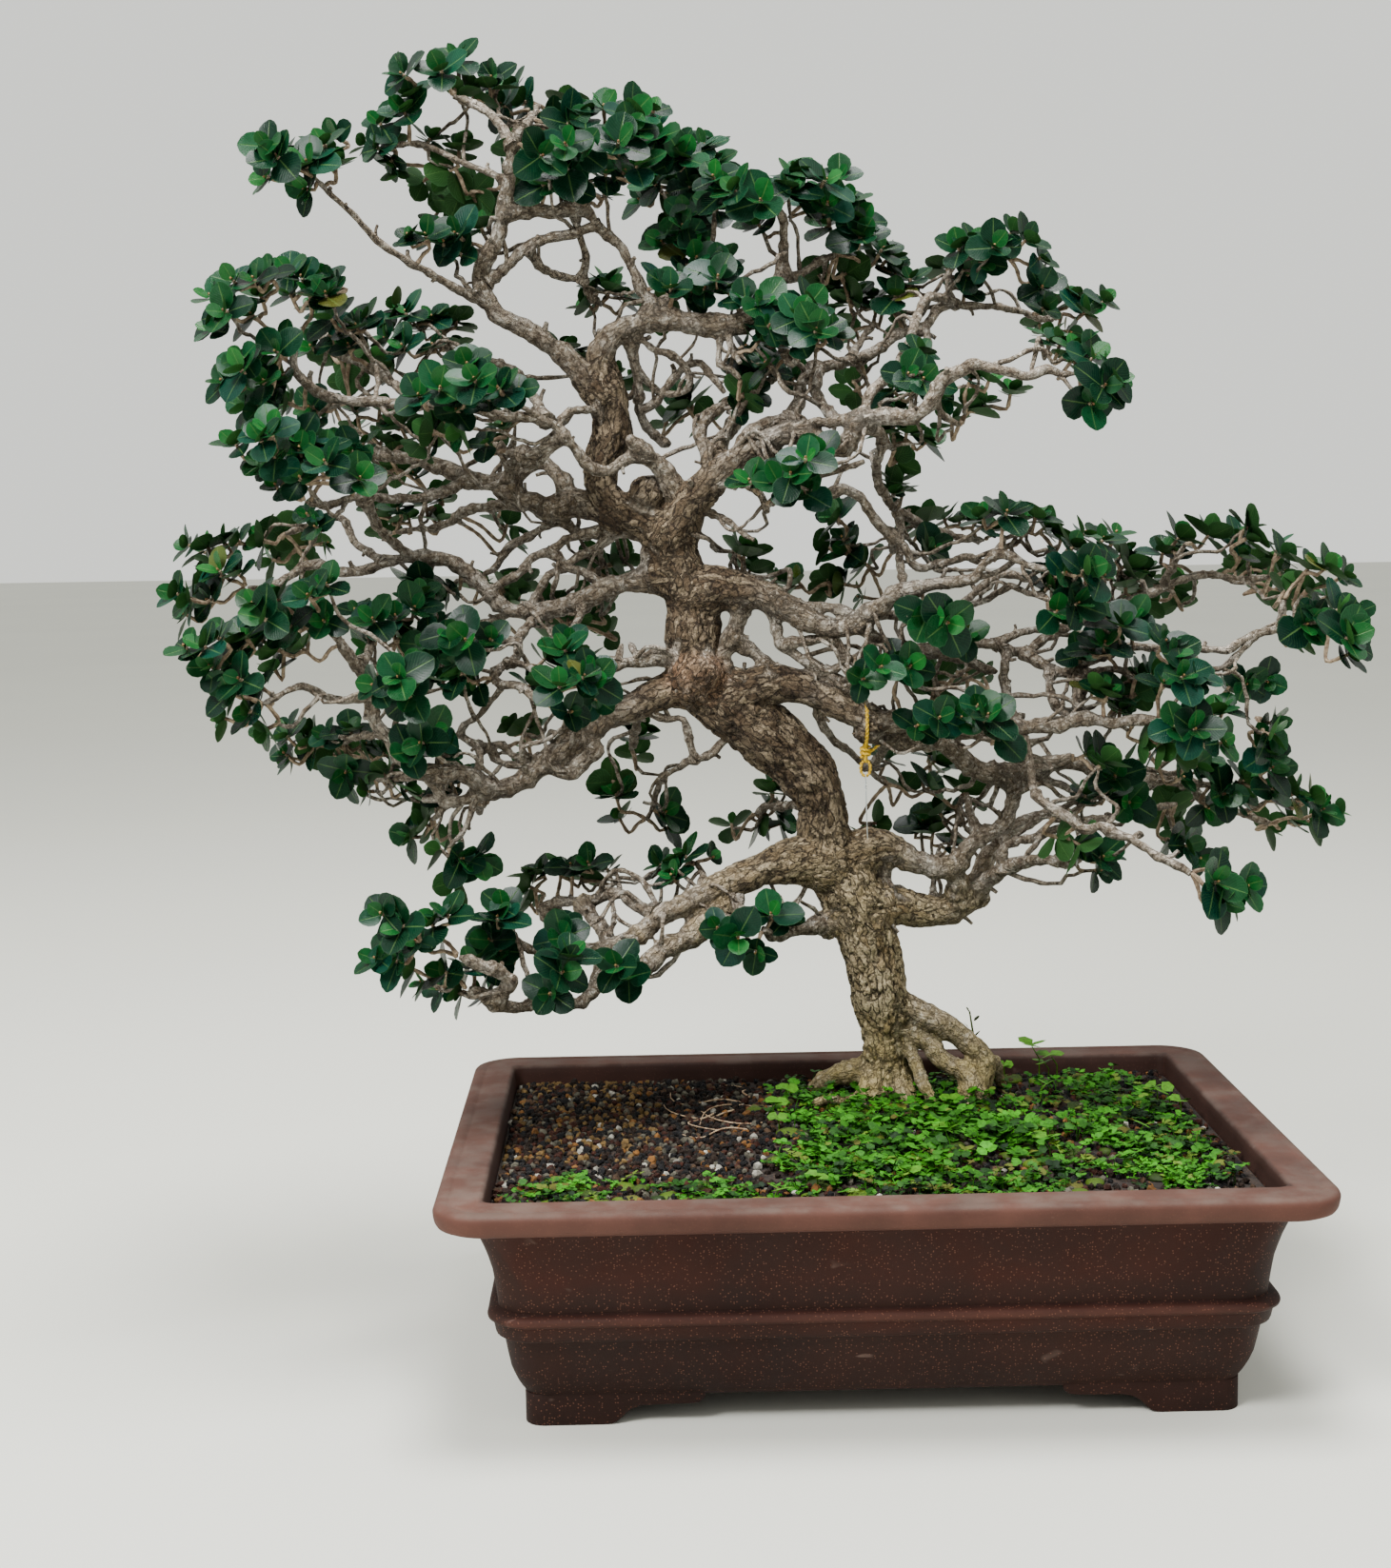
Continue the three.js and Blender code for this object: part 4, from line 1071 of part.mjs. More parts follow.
// Closed ring of cord through points that lie in one plane.
function cordRing(points, radius, sides, normal) {
  const n = points.length;
  const vertices = [];
  points.forEach((p, i) => {
    const along = points[(i + 1) % n].clone().sub(points[(i + n - 1) % n]).normalize();
    const up = along.clone().cross(normal).normalize();
    for (let s = 0; s < sides; s++) {
      const a = (2 * Math.PI * s) / sides;
      const q = p.clone().addScaledVector(normal, radius * Math.cos(a));
      vertices.push(q.addScaledVector(up, radius * Math.sin(a)));
    }
  });
  const triangles = [];
  for (let i = 0; i < n; i++)
    for (let s = 0; s < sides; s++) {
      const a = i * sides + s;
      const b = i * sides + ((s + 1) % sides);
      const c = ((i + 1) % n) * sides + ((s + 1) % sides);
      const d = ((i + 1) % n) * sides + s;
      triangles.push([a, d, c], [a, c, b]);
    }
  const body = solid(vertices, triangles);
  return body.volume() > 0 ? body : solid(vertices, triangles.map(([a, b, c]) => [a, c, b]));
}

// The cord lies round the limb just below its middle line and runs together in a knot under it.
function buildTie() {
  const { flat, depth } = lineOf(TIE_LIMB);
  const i = flat.findIndex(([x]) => x > TIE_AT) - 1;
  const t = (TIE_AT - flat[i][0]) / (flat[i + 1][0] - flat[i][0]);
  const z = flat[i][1] + (flat[i + 1][1] - flat[i][1]) * t;
  const deeper = depth[i] + (depth[i + 1] - depth[i]) * t;
  const middle = placed(TIE_AT, z, deeper);
  const up = V(0, 0, 1);
  const across = V(0, 1, 0);
  const normal = V(1, 0, 0);
  const at = (y, height, x = 0) =>
    middle.clone().addScaledVector(across, y).addScaledVector(up, height).addScaledVector(normal, x);
  const round = [];
  for (let k = 0; k < 9; k++) {
    const a = ((-50 + (280 * k) / 8) * Math.PI) / 180;
    round.push(at(TIE_HALF_DEPTH * Math.cos(a), TIE_HALF_HEIGHT * Math.sin(a)));
  }
  round.push(at(-2.4, -TIE_HALF_HEIGHT - 7));
  round.push(at(2.4, -TIE_HALF_HEIGHT - 7));
  const loop = cordRing(round, TIE_RADIUS, 5, normal);
  const knot = tube([at(0, -20, 1), at(0, -24, 1.5), at(0, -30, 0), at(0, -33, 0)], [2.6, 4.6, 4, 2.2], 5);
  const eyeMiddle = at(0, -39);
  const eye = [];
  for (let k = 0; k < 9; k++) {
    const a = (2 * Math.PI * k) / 9 + Math.PI / 2;
    const p = eyeMiddle.clone().addScaledVector(normal, EYE_HALF[0] * Math.cos(a));
    eye.push(p.addScaledVector(up, EYE_HALF[1] * Math.sin(a)));
  }
  const eyeRing = cordRing(eye, 1.3, 5, across);
  const tail = tube([at(0, -28, 2), at(-1, -23, 8), at(-2, -19, 12)], [1.4, 1.4, 1.1], 5);
  return { tie: fused([loop, knot, eyeRing, tail]), eyeMiddle };
}

function buildGuy(eyeMiddle) {
  const lowest = eyeMiddle.clone().add(V(0, 0, -EYE_HALF[1]));
  const ringMiddle = lowest.clone().add(V(0, 0, 1.3 + 0.35 + GUY_RADIUS - GUY_RING));
  const ring = [];
  for (let k = 0; k < 8; k++) {
    const a = (2 * Math.PI * k) / 8;
    ring.push(ringMiddle.clone().add(V(0, GUY_RING * Math.cos(a), GUY_RING * Math.sin(a))));
  }
  const near = nearestWood(placed(...GUY_FOOT));
  const surface = near.on.clone().addScaledVector(near.out, near.radius);
  const top = ringMiddle.clone().add(V(0, 0, -GUY_RING));
  const along = surface.clone().sub(top).normalize();
  const foot = surface.clone().addScaledVector(along, 4);
  const line = tube([top, foot], [GUY_RADIUS, GUY_RADIUS], 5);
  const hole = tube(
    [surface.clone().addScaledVector(along, -6), surface.clone().addScaledVector(along, 4.35)],
    [GUY_RADIUS + 0.45, GUY_RADIUS + 0.45],
    5
  );
  return { guy: fused([cordRing(ring, GUY_RADIUS, 5, V(1, 0, 0)), line]), hole };
}

const soil = buildSoil();
const RIGHT_MAT = [
  [-62, -150],
  [-10, -160],
  [60, -156],
  [130, -161],
  [205, -157],
  [246, -140],
  [247, -60],
  [240, 30],
  [246, 110],
  [235, 157],
  [172, 160],
  [158, 104],
  [112, 62],
  [52, 44],
  [4, 52],
  [-38, 66],
  [-66, 40],
  [-52, -20],
  [-70, -70],
  [-56, -110],
];
const LEFT_MAT = [
  [-246, -158],
  [-190, -162],
  [-130, -158],
  [-84, -161],
  [-76, -140],
  [-104, -120],
  [-150, -112],
  [-196, -102],
  [-232, -92],
  [-247, -110],
];
const coverRight = buildGroundCover(RIGHT_MAT, 26, 501);
const coverLeft = buildGroundCover(LEFT_MAT, 9, 502);
const { tie, eyeMiddle } = buildTie();
const { guy, hole } = buildGuy(eyeMiddle);
const wood = wholeWood.subtract(hole);

// TWIGS: each rosette hangs on the wood or on the nearest one before it, where a straight run is free.
const standing = [];
const apart = (a, b, room) => [0, 1, 2].some((k) => a.min[k] > b.max[k] + room || b.min[k] > a.max[k] + room);
function clearOf(body, room, counts) {
  const box = body.boundingBox();
  return standing.every(
    (other) => !counts(other) || apart(box, other.box, room) || other.body.minGap(body, room) >= room * 0.999
  );
}
const stand = (body, node, hub) => standing.push({ node, hub, body, box: body.boundingBox() });
for (const [node, body] of Object.entries({ wood, tie, guy, soil, coverRight, coverLeft })) stand(body, node);

// Moves the start of a twig until its end stands just clear of the wood.
function startOnWood(rosette) {
  const { on, out, radius } = nearestWood(rosette.hub);
  let reach = radius + CLEARANCE;
  for (let i = 0; i < 12; i++) {
    const from = on.clone().addScaledVector(out, reach);
    const gap = wood.minGap(twigWithLeaves(from, rosette, []), 12);
    if (gap >= KEEP_CLEAR && gap < KEEP_CLEAR + 0.08) return from;
    reach += gap > 0 ? KEEP_CLEAR + 0.03 - gap : 0.7;
    if (on.clone().addScaledVector(out, reach).distanceTo(rosette.hub) < 2) return null;
  }
  return null;
}

for (const spray of sprays) {
  spray.grown = [];
  let waiting = spray.list;
  while (waiting.length) {
    const ways = [];
    for (const rosette of waiting) {
      if (!spray.grown.length) ways.push({ rosette, run: nearestWood(rosette.hub).gap });
      for (const parent of spray.grown) {
        const from = parent.fork;
        const run = from.distanceTo(rosette.hub);
        if (run < LONGEST_TWIG) ways.push({ rosette, from, parent: parent.rosette, run });
      }
    }
    ways.sort((a, b) => a.run - b.run);
    const grew = ways.some(({ rosette, from, parent }) => {
      const start = from || startOnWood(rosette);
      if (!start) return false;
      if (rise(start, rosette) < (parent ? 0.2 : 0)) return false;
      const body = twigWithLeaves(start, rosette, []);
      if (!clearOf(body, KEEP_CLEAR, (other) => other.node !== spray.name)) return false;
      if (!clearOf(body, 0.1, (other) => other.node === spray.name && other.hub !== parent.hub)) return false;
      const fork = rosette.hub.clone().lerp(beforeHub(start, rosette), 0.35);
      spray.grown.push({ rosette, start, fork, twig: body, leaves: [] });
      stand(body, spray.name, rosette.hub);
      waiting = waiting.filter(({ hub }) => hub.distanceTo(rosette.hub) > ROSETTES_APART);
      return true;
    });
    if (!grew) break;
  }
}

// LEAVES, in rounds, so that a crowded place gives every rosette its first leaves before any has four.
for (const number of [0, 2, 1, 3])
  for (const spray of sprays)
    for (const grown of spray.grown) {
      const { rosette } = grown;
      if (number % 2 && draw(rosette.seed, rosette.index, 60 + number) > UPPER_LEAVES) continue;
      const [near, far] = leafSections(rosette, number);
      const foot = near.map((p) => p.clone().lerp(rosette.hub, 0.85));
      const body = skin([foot, near, far]);
      if (skin([near, far]).minGap(grown.twig, KEEP_CLEAR) < KEEP_CLEAR) continue;
      if (meetsOwnTwig(grown.start, rosette, near)) continue;
      if (!clearOf(body, KEEP_CLEAR, (other) => other.node !== spray.name)) continue;
      if (!clearOf(body, 0.1, (other) => other.node === spray.name && other.hub !== rosette.hub)) continue;
      grown.leaves.push(number);
      stand(body, spray.name, rosette.hub);
    }
for (const spray of sprays) {
  const body = fused(spray.grown.map(({ start, rosette, leaves }) => twigWithLeaves(start, rosette, leaves)));
  // what the fusing closed off inside is filled
  const pieces = body.decompose().sort((a, b) => b.volume() - a.volume());
  spray.body = pieces[0];
}

// OBJECT
const CLAY = 0x4a3336;
const parts = [
  meshOf("pot", buildPot(), CLAY),
  meshOf("screen_left", buildScreen(-DRAIN_HOLE_OUT), 0x222522),
  meshOf("screen_right", buildScreen(DRAIN_HOLE_OUT), 0x222522),
  meshOf("soil", soil, 0x4d3b2c, 1),
  meshOf("ground_cover_left", coverLeft, 0x4f7a2c),
  meshOf("ground_cover_right", coverRight, 0x4f7a2c),
  meshOf("wood", wood, 0x7d6a58, 0.95),
  meshOf("tie", tie, 0xd9a520, 0.6),
  meshOf("guy_line", guy, 0xe8e8e4, 0.4),
];
for (const { name, body } of sprays) parts.push(meshOf("leaves_" + name, body, 0x2f6b35, 0.5));

// The middle of the underside of the whole object's box is the origin.
const whole = new THREE.Box3();
for (const mesh of parts) whole.expandByObject(mesh);
const origin = whole.getCenter(V()).setZ(whole.min.z);
const group = new THREE.Group();
group.name = "natal_plum_bonsai";
for (const mesh of parts) {
  mesh.geometry.translate(-origin.x, -origin.y, -origin.z);
  group.add(mesh);
}
export default group;
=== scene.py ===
from math import cos, dist, exp, hypot, inf, pi, radians, sin, tau

import bmesh
import bpy
import numpy as np
from bpy.props import FloatProperty, FloatVectorProperty, IntProperty, PointerProperty
from mathutils import Matrix, Vector
from mathutils.kdtree import KDTree


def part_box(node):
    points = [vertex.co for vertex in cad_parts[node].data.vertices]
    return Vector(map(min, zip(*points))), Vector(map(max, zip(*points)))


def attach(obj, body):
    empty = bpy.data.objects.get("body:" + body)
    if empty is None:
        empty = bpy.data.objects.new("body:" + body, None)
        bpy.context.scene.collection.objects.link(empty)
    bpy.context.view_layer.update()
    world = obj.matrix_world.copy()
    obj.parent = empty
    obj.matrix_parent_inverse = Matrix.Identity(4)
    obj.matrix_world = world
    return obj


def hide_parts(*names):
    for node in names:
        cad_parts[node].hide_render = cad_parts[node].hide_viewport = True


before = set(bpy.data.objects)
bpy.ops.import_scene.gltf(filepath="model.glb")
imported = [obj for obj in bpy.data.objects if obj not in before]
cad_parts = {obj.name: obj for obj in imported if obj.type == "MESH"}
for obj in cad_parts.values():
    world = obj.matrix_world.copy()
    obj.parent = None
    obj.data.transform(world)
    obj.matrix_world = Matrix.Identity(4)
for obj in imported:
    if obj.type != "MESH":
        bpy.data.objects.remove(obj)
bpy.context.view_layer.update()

bl_info = {
    "name": "Natal plum bonsai",
    "version": (1, 0, 0),
    "blender": (4, 5, 0),
    "location": "3D View > Sidebar > Bonsai",
    "description": "Builds a natal plum bonsai in its oblong clay pot",
    "category": "Add Mesh",
}

POT_BOX = [np.array(corner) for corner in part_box("pot")]
POT_MIDDLE = (POT_BOX[0] + POT_BOX[1]) / 2


def groups(text):
    """The groups of numbers in a text: commas inside a group, blanks between groups."""
    return [[float(n) for n in group.split(",")] for group in text.split()]


def entries(text):
    """A table's entries, each as its name and the rest. A line that starts with blanks goes on with its entry."""
    whole = text.strip().replace("\n  ", " ")
    return [entry.split(" ", 1) for entry in whole.split("\n") if not entry.startswith("#")]


def limb_of(name, rest):
    """A limb as a list: name, start, first and last radius, end depth, points, and the limb it grows into."""
    about, points = rest.split(":")
    ends, *sizes = about.split()
    start, *into = ends.split(">")
    return [name, start, *map(float, sizes), groups(points), *into]


# The tables below are in millimetres, from the middle of the pot's underside.
# TRUNK: x, z and depth on the upright plane through the trunk, and the radius there.
TRUNK = groups("""
    26,118,16,23 25,150,15,21 26,168,14,17.5 28,186,14,15.5 27,206,13,17 25,226,12,21 22,250,11,22.5 16,280,10,23.5
    7,308,8,25 -7,335,6,24 -18,362,4,20.5 -20,386,2,19.5 -29,408,1,22 -49,430,0,24 -73,451,-1,24 -96,469,-1,23
    -113,488,0,24 -117,512,1,20 -118,540,2,19.5 -126,565,3,19.5 -135,588,4,18.5 -151,606,5,15.5 -172,615,6,13.5
    -185,630,7,13 -184,650,6,14.5 -177,670,4,16 -178,692,2,15.5 -181,711,0,13.5 -184,729,-3,11 -178,743,-5,9.5
    -163,752,-6,8.8 -140,757,-7,8.6 -110,753,-8,8.6 -85,752,-9,8.2 -68,757,-10,7.6""")

# LIMBS: name, where it starts and after > which limb its tip grows into, first and last radius, depth at its
# end: x and z of points on the trunk's plane.
LIMBS = [limb_of(*entry) for entry in entries("""
# roots
rootArch trunk 13 9 8: 38,230 56,221 76,210 91,199 102,189 107,176 105,160 103,142 102,122
rootInner trunk 10 9.5 -12: 34,214 50,206 63,196 72,185 85,177 96,170 97,156 95,141 93,122
rootProp rootInner 5 5 -22: 45,198 52,181 58,166 64,152 67,134
rootLeft trunk 10 5 62: 20,178 3,175 -13,171 -25,162 -37,148 -46,130
rootFront trunk 13 7 -18: 24,172 17,158 12,146 6,128
rootToe trunk 13 7 -16: 33,172 41,157 46,145 50,128
rootShort trunk 6 4 -26: 24,153 8,151 -8,153 -19,153 -28,150
rootRight rootArch 6 4.5 40: 99,192 112,180 119,167 122,150 124,128
rootBack trunk 12 6 50: 24,192 16,172 12,152 8,126
rootBackRight trunk 12 6 53: 32,196 46,176 54,156 60,128
# lowest left
lowLeft trunk 17 3.4 -66: -12,343 -42,343 -68,337 -92,327 -115,317 -135,308 -152,297 -166,286 -183,279 -202,277
  -222,278 -241,277 -255,282 -262,291
lowLeftUnder lowLeft 9 8 -70: -92,310 -113,295 -126,284 -141,279 -151,270 -159,260 -169,253
lowLeftCrook lowLeft 4.2 4.5 40: -148,304 -164,310 -175,319 -190,318 -205,314 -222,315 -238,311
lowLeftDrop lowLeftCrook 4 3 30: -236,311 -232,300 -226,290
lowLeftTie lowLeftCrook>lowLeft 5.5 5 0: -205,313 -197,300 -190,290 -186,280
lowLeftThin lowLeftCrook>lowLeft 2 2 0: -184,318 -182,302 -186,287
lowLeftArch lowLeft>lowLeftCrook 2 2 0: -148,308 -156,325 -166,335 -178,338 -187,333 -193,320
lowLeftLoop lowLeft 6 5 -140: -190,276 -193,256 -202,241 -213,234 -226,239 -237,240 -249,234 -262,231 -276,234 -284,242
  -296,246
lowLeftEnd lowLeftLoop 6 4.5 -160: -276,236 -266,248 -262,254 -273,261 -288,267 -303,273
lowLeftTwig lowLeft 3 2.2 -10: -114,322 -113,335 -118,343
lowLeftSpur lowLeft 4 3 -60: -86,318 -84,309 -78,304
stemLeft trunk 7 4.5 -55: -8,293 -25,293 -40,289 -53,284 -67,290
stemBehind trunk 5 3 75: -24,388 -42,388 -60,387 -72,381
# left limb from the burl
burlLimb trunk 14 3.4 -105: -104,480 -130,479 -150,472 -170,463 -190,457 -207,450 -212,441 -220,433 -235,422 -250,410
  -265,403 -280,408 -297,417 -315,415 -332,419 -343,431 -352,445 -362,458 -366,475 -371,492 -380,508 -387,522 -400,533
burlUnder burlLimb>burlLimb 6 5 0: -193,454 -200,441 -193,431 -203,424 -212,416 -222,418 -233,423
burlUpper trunk 7 4 -40: -113,498 -140,502 -160,500 -180,496 -195,494 -209,489
burlSpurA burlUpper 3.2 2 0: -158,500 -166,514
burlSpurB burlUpper 3.2 2 -10: -176,498 -172,513
burlDrop burlLimb>trunk 3.4 3 0: -158,468 -148,459 -135,456 -127,454 -122,440 -117,425 -105,428 -95,437 -80,442
burlDropEnd burlDrop 2.8 2.1 60: -117,425 -130,418 -143,410 -148,398 -151,386 -155,378
burlFork burlLimb 4 3 60: -162,466 -162,449 -166,433
burlCurl burlLimb 3.4 3 -20: -229,427 -238,426 -248,425 -258,430 -265,437 -276,436 -288,440 -298,446
burlCurlEnd burlCurl>leftHook 2.4 2 0: -297,445 -294,453 -284,459 -274,470 -265,481
burlLinkA burlCurl>burlLimb 2.8 2.8 0: -284,439 -283,428 -286,414
burlLinkB burlCurl>burlLimb 2.8 2.8 0: -275,436 -268,425 -253,421 -240,420
burlLow burlLimb>burlLimb 4.4 4 0: -266,403 -280,397 -299,395 -312,396 -317,405 -323,416
burlLowSpur burlLow 3.6 3.2 0: -282,397 -284,386
burlLowTwig burlLow 2.4 1.9 -60: -288,395 -293,378 -302,366 -309,358
burlLowBack burlLow 3 2 50: -304,395 -312,388 -320,381
burlReach burlLimb 3.2 2.3 -150: -367,476 -385,474 -400,478 -410,484 -420,485 -433,479 -447,472
burlTwigA burlLimb 2.8 2 -60: -365,480 -352,474 -341,465 -331,459 -328,450
burlTwigB burlLimb 3 2.4 -130: -367,481 -357,487 -346,494
burlTwigC burlLimb 4 2.6 -40: -374,500 -366,509 -362,518 -358,527
burlTwigD burlLimb 3.2 2 -20: -328,417 -345,413 -362,412
burlTwigE burlLimb 3.4 2 30: -353,447 -372,446 -394,442
# left limb from the middle
leftLimb trunk 9 3.2 10: -128,566 -150,562 -166,560 -180,557 -195,550 -210,545 -226,540 -242,540 -257,542 -268,548
  -275,557 -284,568 -296,576 -311,581 -330,582 -350,579 -370,573 -391,572 -401,578 -415,573 -428,567 -442,560 -456,561
leftEar trunk>leftLimb 5 4 0: -134,588 -150,585 -154,573 -160,562
leftUnder leftLimb 4 3 70: -257,542 -268,533 -282,529 -295,530
leftHook leftLimb 3.6 3.4 -70: -231,540 -240,531 -250,520 -251,505 -262,499 -270,491 -267,484 -256,483 -246,479
  -238,471
leftHookTwig leftHook 3 2.6 -60: -260,500 -247,498 -235,492
leftHookPale leftHook 3 2.4 -30: -251,516 -268,519 -284,520
leftDown leftLimb 3 2.3 -20: -200,547 -205,533 -213,521 -222,513
leftRise leftLimb 3.2 2.4 85: -352,579 -362,586 -372,592 -376,602 -380,611 -392,613 -408,606 -425,601
# upper left main limb
mainLeft trunk 12 3.8 60: -166,612 -192,618 -208,618 -222,616 -240,622 -253,631 -265,638 -285,640 -303,649 -322,656
  -350,658 -366,664
mainLeftUpper mainLeft>mainLeft 7 5 0: -200,618 -213,635 -222,648 -235,652 -246,646 -259,637
mainLeftFront mainLeft 4.6 3.2 -85: -284,640 -300,632 -315,627 -335,625 -355,627 -375,626 -395,621 -410,625
mainLeftBack mainLeft 6 3 125: -222,616 -250,621 -270,620 -288,617 -300,608 -312,603 -328,603 -341,601
mainLeftLink mainLeftFront>leftLimb 3.4 3.4 0: -364,626 -358,612 -352,600 -343,592 -330,582
crossA trunk 5.5 3 50: -152,602 -180,600 -200,597 -214,605 -224,605 -240,597 -255,590 -262,580 -268,572 -277,568
crossB crossA>leftLimb 3.8 3 0: -186,599 -210,595 -222,588 -238,581 -248,570 -260,562 -273,556
crossC crossB>leftLimb 3.4 3.6 0: -228,585 -220,581 -212,572 -200,568 -184,558
crossD crossA>leftLimb 4 3 0: -172,600 -190,588 -205,580 -215,572 -226,566 -235,555 -241,541
# upper left, over the trunk's hollow
knotLimb trunk 11 5.5 -30: -137,592 -126,615 -132,636 -147,655 -165,669
pale knotLimb 5 4 -70: -148,655 -161,656 -175,648 -185,646 -197,652 -205,663 -213,674 -226,682 -245,686 -262,688
  -285,693 -310,696 -335,698 -355,698 -375,700 -391,704 -404,713 -415,725 -412,740
paleUp pale 5 3.6 60: -320,697 -335,707 -350,720 -370,731 -385,739 -394,750
paleBack pale 4.2 2.8 115: -225,682 -235,700 -246,716 -258,724 -275,729 -292,736 -306,739
paleCurl trunk>pale 3.4 3 0: -178,690 -196,691 -208,689 -215,684 -218,677
paleInner pale 5 3.4 0: -211,671 -225,664 -243,658 -256,660 -266,668
paleLink paleInner>mainLeft 4 4 0: -243,658 -251,649 -260,636
# crown on the left
crownLimb trunk 9.5 4 -45: -180,700 -198,718 -214,733 -230,744 -245,754 -260,762 -270,776 -272,790 -267,805 -259,820
  -256,836 -251,850 -248,866 -246,884 -238,900
crownLong crownLimb 3.6 2 -90: -264,768 -285,778 -300,787 -318,798 -345,814 -362,833 -380,850 -394,864
crownOver trunk 5.5 3 -30: -150,756 -146,765 -151,777 -159,794 -166,810 -176,820 -186,830 -195,845 -201,862 -206,880
crownBridge crownLimb>crownOver 5.4 5 0: -257,836 -236,838 -215,836 -193,842
crownThin crownLimb 3 2 0: -250,858 -265,866 -285,874 -305,884 -320,887 -336,886
crownCross crownLimb>crownOver 4 3.4 0: -268,786 -252,798 -238,811 -218,818 -182,827
crownHang crownCross 3.4 2.8 30: -237,811 -229,798 -215,790 -198,786 -191,775 -182,768
crownHangUp crownHang>crownBridge 2.9 2.7 0: -197,786 -194,800 -196,815 -201,838
crownTop crownLimb 4 2.8 -20: -246,884 -258,905 -274,915 -289,921
crownMid crownLimb 3.4 2.6 35: -240,896 -232,905 -226,914
crownStub trunk 4.6 4 40: -142,760 -127,776 -104,785 -82,790
crownBack crownStub 3.6 2.4 95: -127,776 -122,800 -124,826 -120,850
# hanging thin growth below the top of the trunk
hangLeft trunk 4.8 4 30: -164,752 -160,732 -157,718 -155,704 -156,690 -150,677 -140,667 -132,663
hangWave hangLeft 3 2.4 10: -156,690 -148,692 -140,701 -130,712 -119,722 -108,724 -102,717 -96,709 -91,702
hangCross trunk>hangWave 2.7 2.6 0: -161,750 -144,735 -133,732 -124,725 -117,715 -118,706 -128,701 -141,703
hangLink hangLeft>hangWave 2.7 2.6 0: -157,719 -149,711 -139,701
hangRight trunk 3 2.3 -20: -92,751 -94,735 -95,723 -86,719 -79,712
hangRightTwo trunk 2.6 2.2 -30: -88,751 -85,735 -79,724
topDrop topRight 3.2 2.4 -30: -58,768 -53,752 -50,740 -44,727 -39,722 -32,732
topRight trunk 5.4 3.4 55: -72,756 -60,772 -50,783 -35,788 -20,796 -6,803
topRise topRight 4.6 3 0: -46,785 -46,805 -45,822 -48,838
# right fork
fork trunk 14 2.8 -110: -137,592 -126,608 -117,621 -105,632 -92,645 -78,656 -60,665 -42,671 -28,669 -15,662 -2,660
  5,668 10,678 22,683 40,683 55,684 65,692 71,703 81,713 96,720 112,717 128,712 142,712 152,717 165,712 177,713
forkPale fork 5.4 4 40: -104,633 -105,655 -110,668 -106,681 -95,690 -80,700 -63,707 -50,713
forkDark fork 8 5 60: -96,642 -97,660 -89,672 -80,684 -76,697 -73,707
forkUp fork 6.4 2.8 120: -77,657 -68,672 -55,678 -42,683 -35,692 -33,705 -25,717 -12,722 5,725 22,730 33,738 42,744
  55,746 64,752 70,762 80,765 100,764 120,762 137,757 152,753 163,757
forkUpRise forkUp 3.6 2 55: 80,765 79,778 80,792 92,800 110,801 124,798
forkUpIn forkUp 3.2 2.5 75: 5,725 12,738 22,750
forkRing forkUp>fork 4.2 4 0: -22,719 -22,705 -17,692 -8,682 8,679
forkRise forkShort>forkUp 3.6 3.2 0: 37,716 44,730 51,745 56,760 64,770 76,768 84,765
forkShort fork 5 3.6 -40: 10,680 17,690 20,703 30,711 42,716 53,718
forkDrop forkUp 2.8 2.2 20: 60,749 64,737 62,726 63,714
forkFall fork 4.8 3 100: 14,680 25,670 28,660 24,648 26,634 31,621 40,610 52,604 64,597 78,593 92,590 106,588
forkFallSpur forkFall 2.6 2 20: 27,662 37,658
forkSkin fork>fork 4.4 4 0: -43,671 -30,677 -15,679 0,680 14,680
forkSlip forkUp>fork 3.4 3.2 0: -43,683 -33,681 -24,668
forkTwig fork 2.8 2 -60: 69,699 71,688 77,681 87,675
forkIn fork 3.8 2.8 -60: -99,638 -86,634 -72,631 -63,622 -60,612
# right middle
mid fork 6.6 3 -20: -62,664 -50,651 -38,637 -27,626 -12,625 0,628 10,622 18,611 26,601 36,592 45,583 51,572 58,568
  70,570 85,575 100,573 112,571
midTwig mid 3 2.2 -70: -40,640 -28,637 -12,641 3,645 14,649
midDrop forkFall>right 3.2 3 0: 40,610 42,598 41,582 42,567 45,549
midStub mid 4 2.6 40: 36,592 36,580
sideTwig trunk 3.6 2.2 -30: -128,602 -112,612 -98,610 -88,604 -80,597 -70,591
right trunk 14 2.8 -75: -118,546 -104,553 -90,554 -72,551 -55,545 -42,536 -28,529 -12,523 2,523 13,530 25,538 35,547
  50,551 65,555 82,557 97,561 105,570 118,577 130,574 140,568 155,565
rightSkin right>right 5 4.4 0: -45,540 -25,539 -8,538 5,532 14,530
rightSpur right 4.4 3 20: 14,530 28,533 40,533 54,534 72,532 88,537
rightPale rightSpur 3.2 3 25: 87,537 97,548 106,555 118,562 132,560 145,556 160,552 180,553 199,556
rightTwig rightSpur 2.8 2.4 -60: 87,537 105,542 118,549 128,553 140,547 153,545
rightDown right 5 4 0: 8,527 22,517 33,510 48,507 62,503 78,500 92,497 104,492 116,487
rightFar rightDown 5 3.2 60: 60,504 74,509 88,511 100,510 115,507 128,502 140,503 152,513 167,519 182,527 200,534
  215,540 232,545 246,552 262,557 280,560 298,556 312,556 325,557
rightFarSkin rightFar>rightFar 3.2 3 0: 113,508 130,517 148,520 170,520
rightFarRise rightFar 2.9 2.2 10: 243,551 247,562 252,572 260,583
rightLow rightFar 4.2 3.2 -60: 136,502 150,493 162,487 178,486 195,486 210,487 222,481
rightHigh rightLow 3.4 3 -60: 170,487 186,494 200,500 214,504 232,504 252,503 265,505 280,502 292,502 305,508 316,514
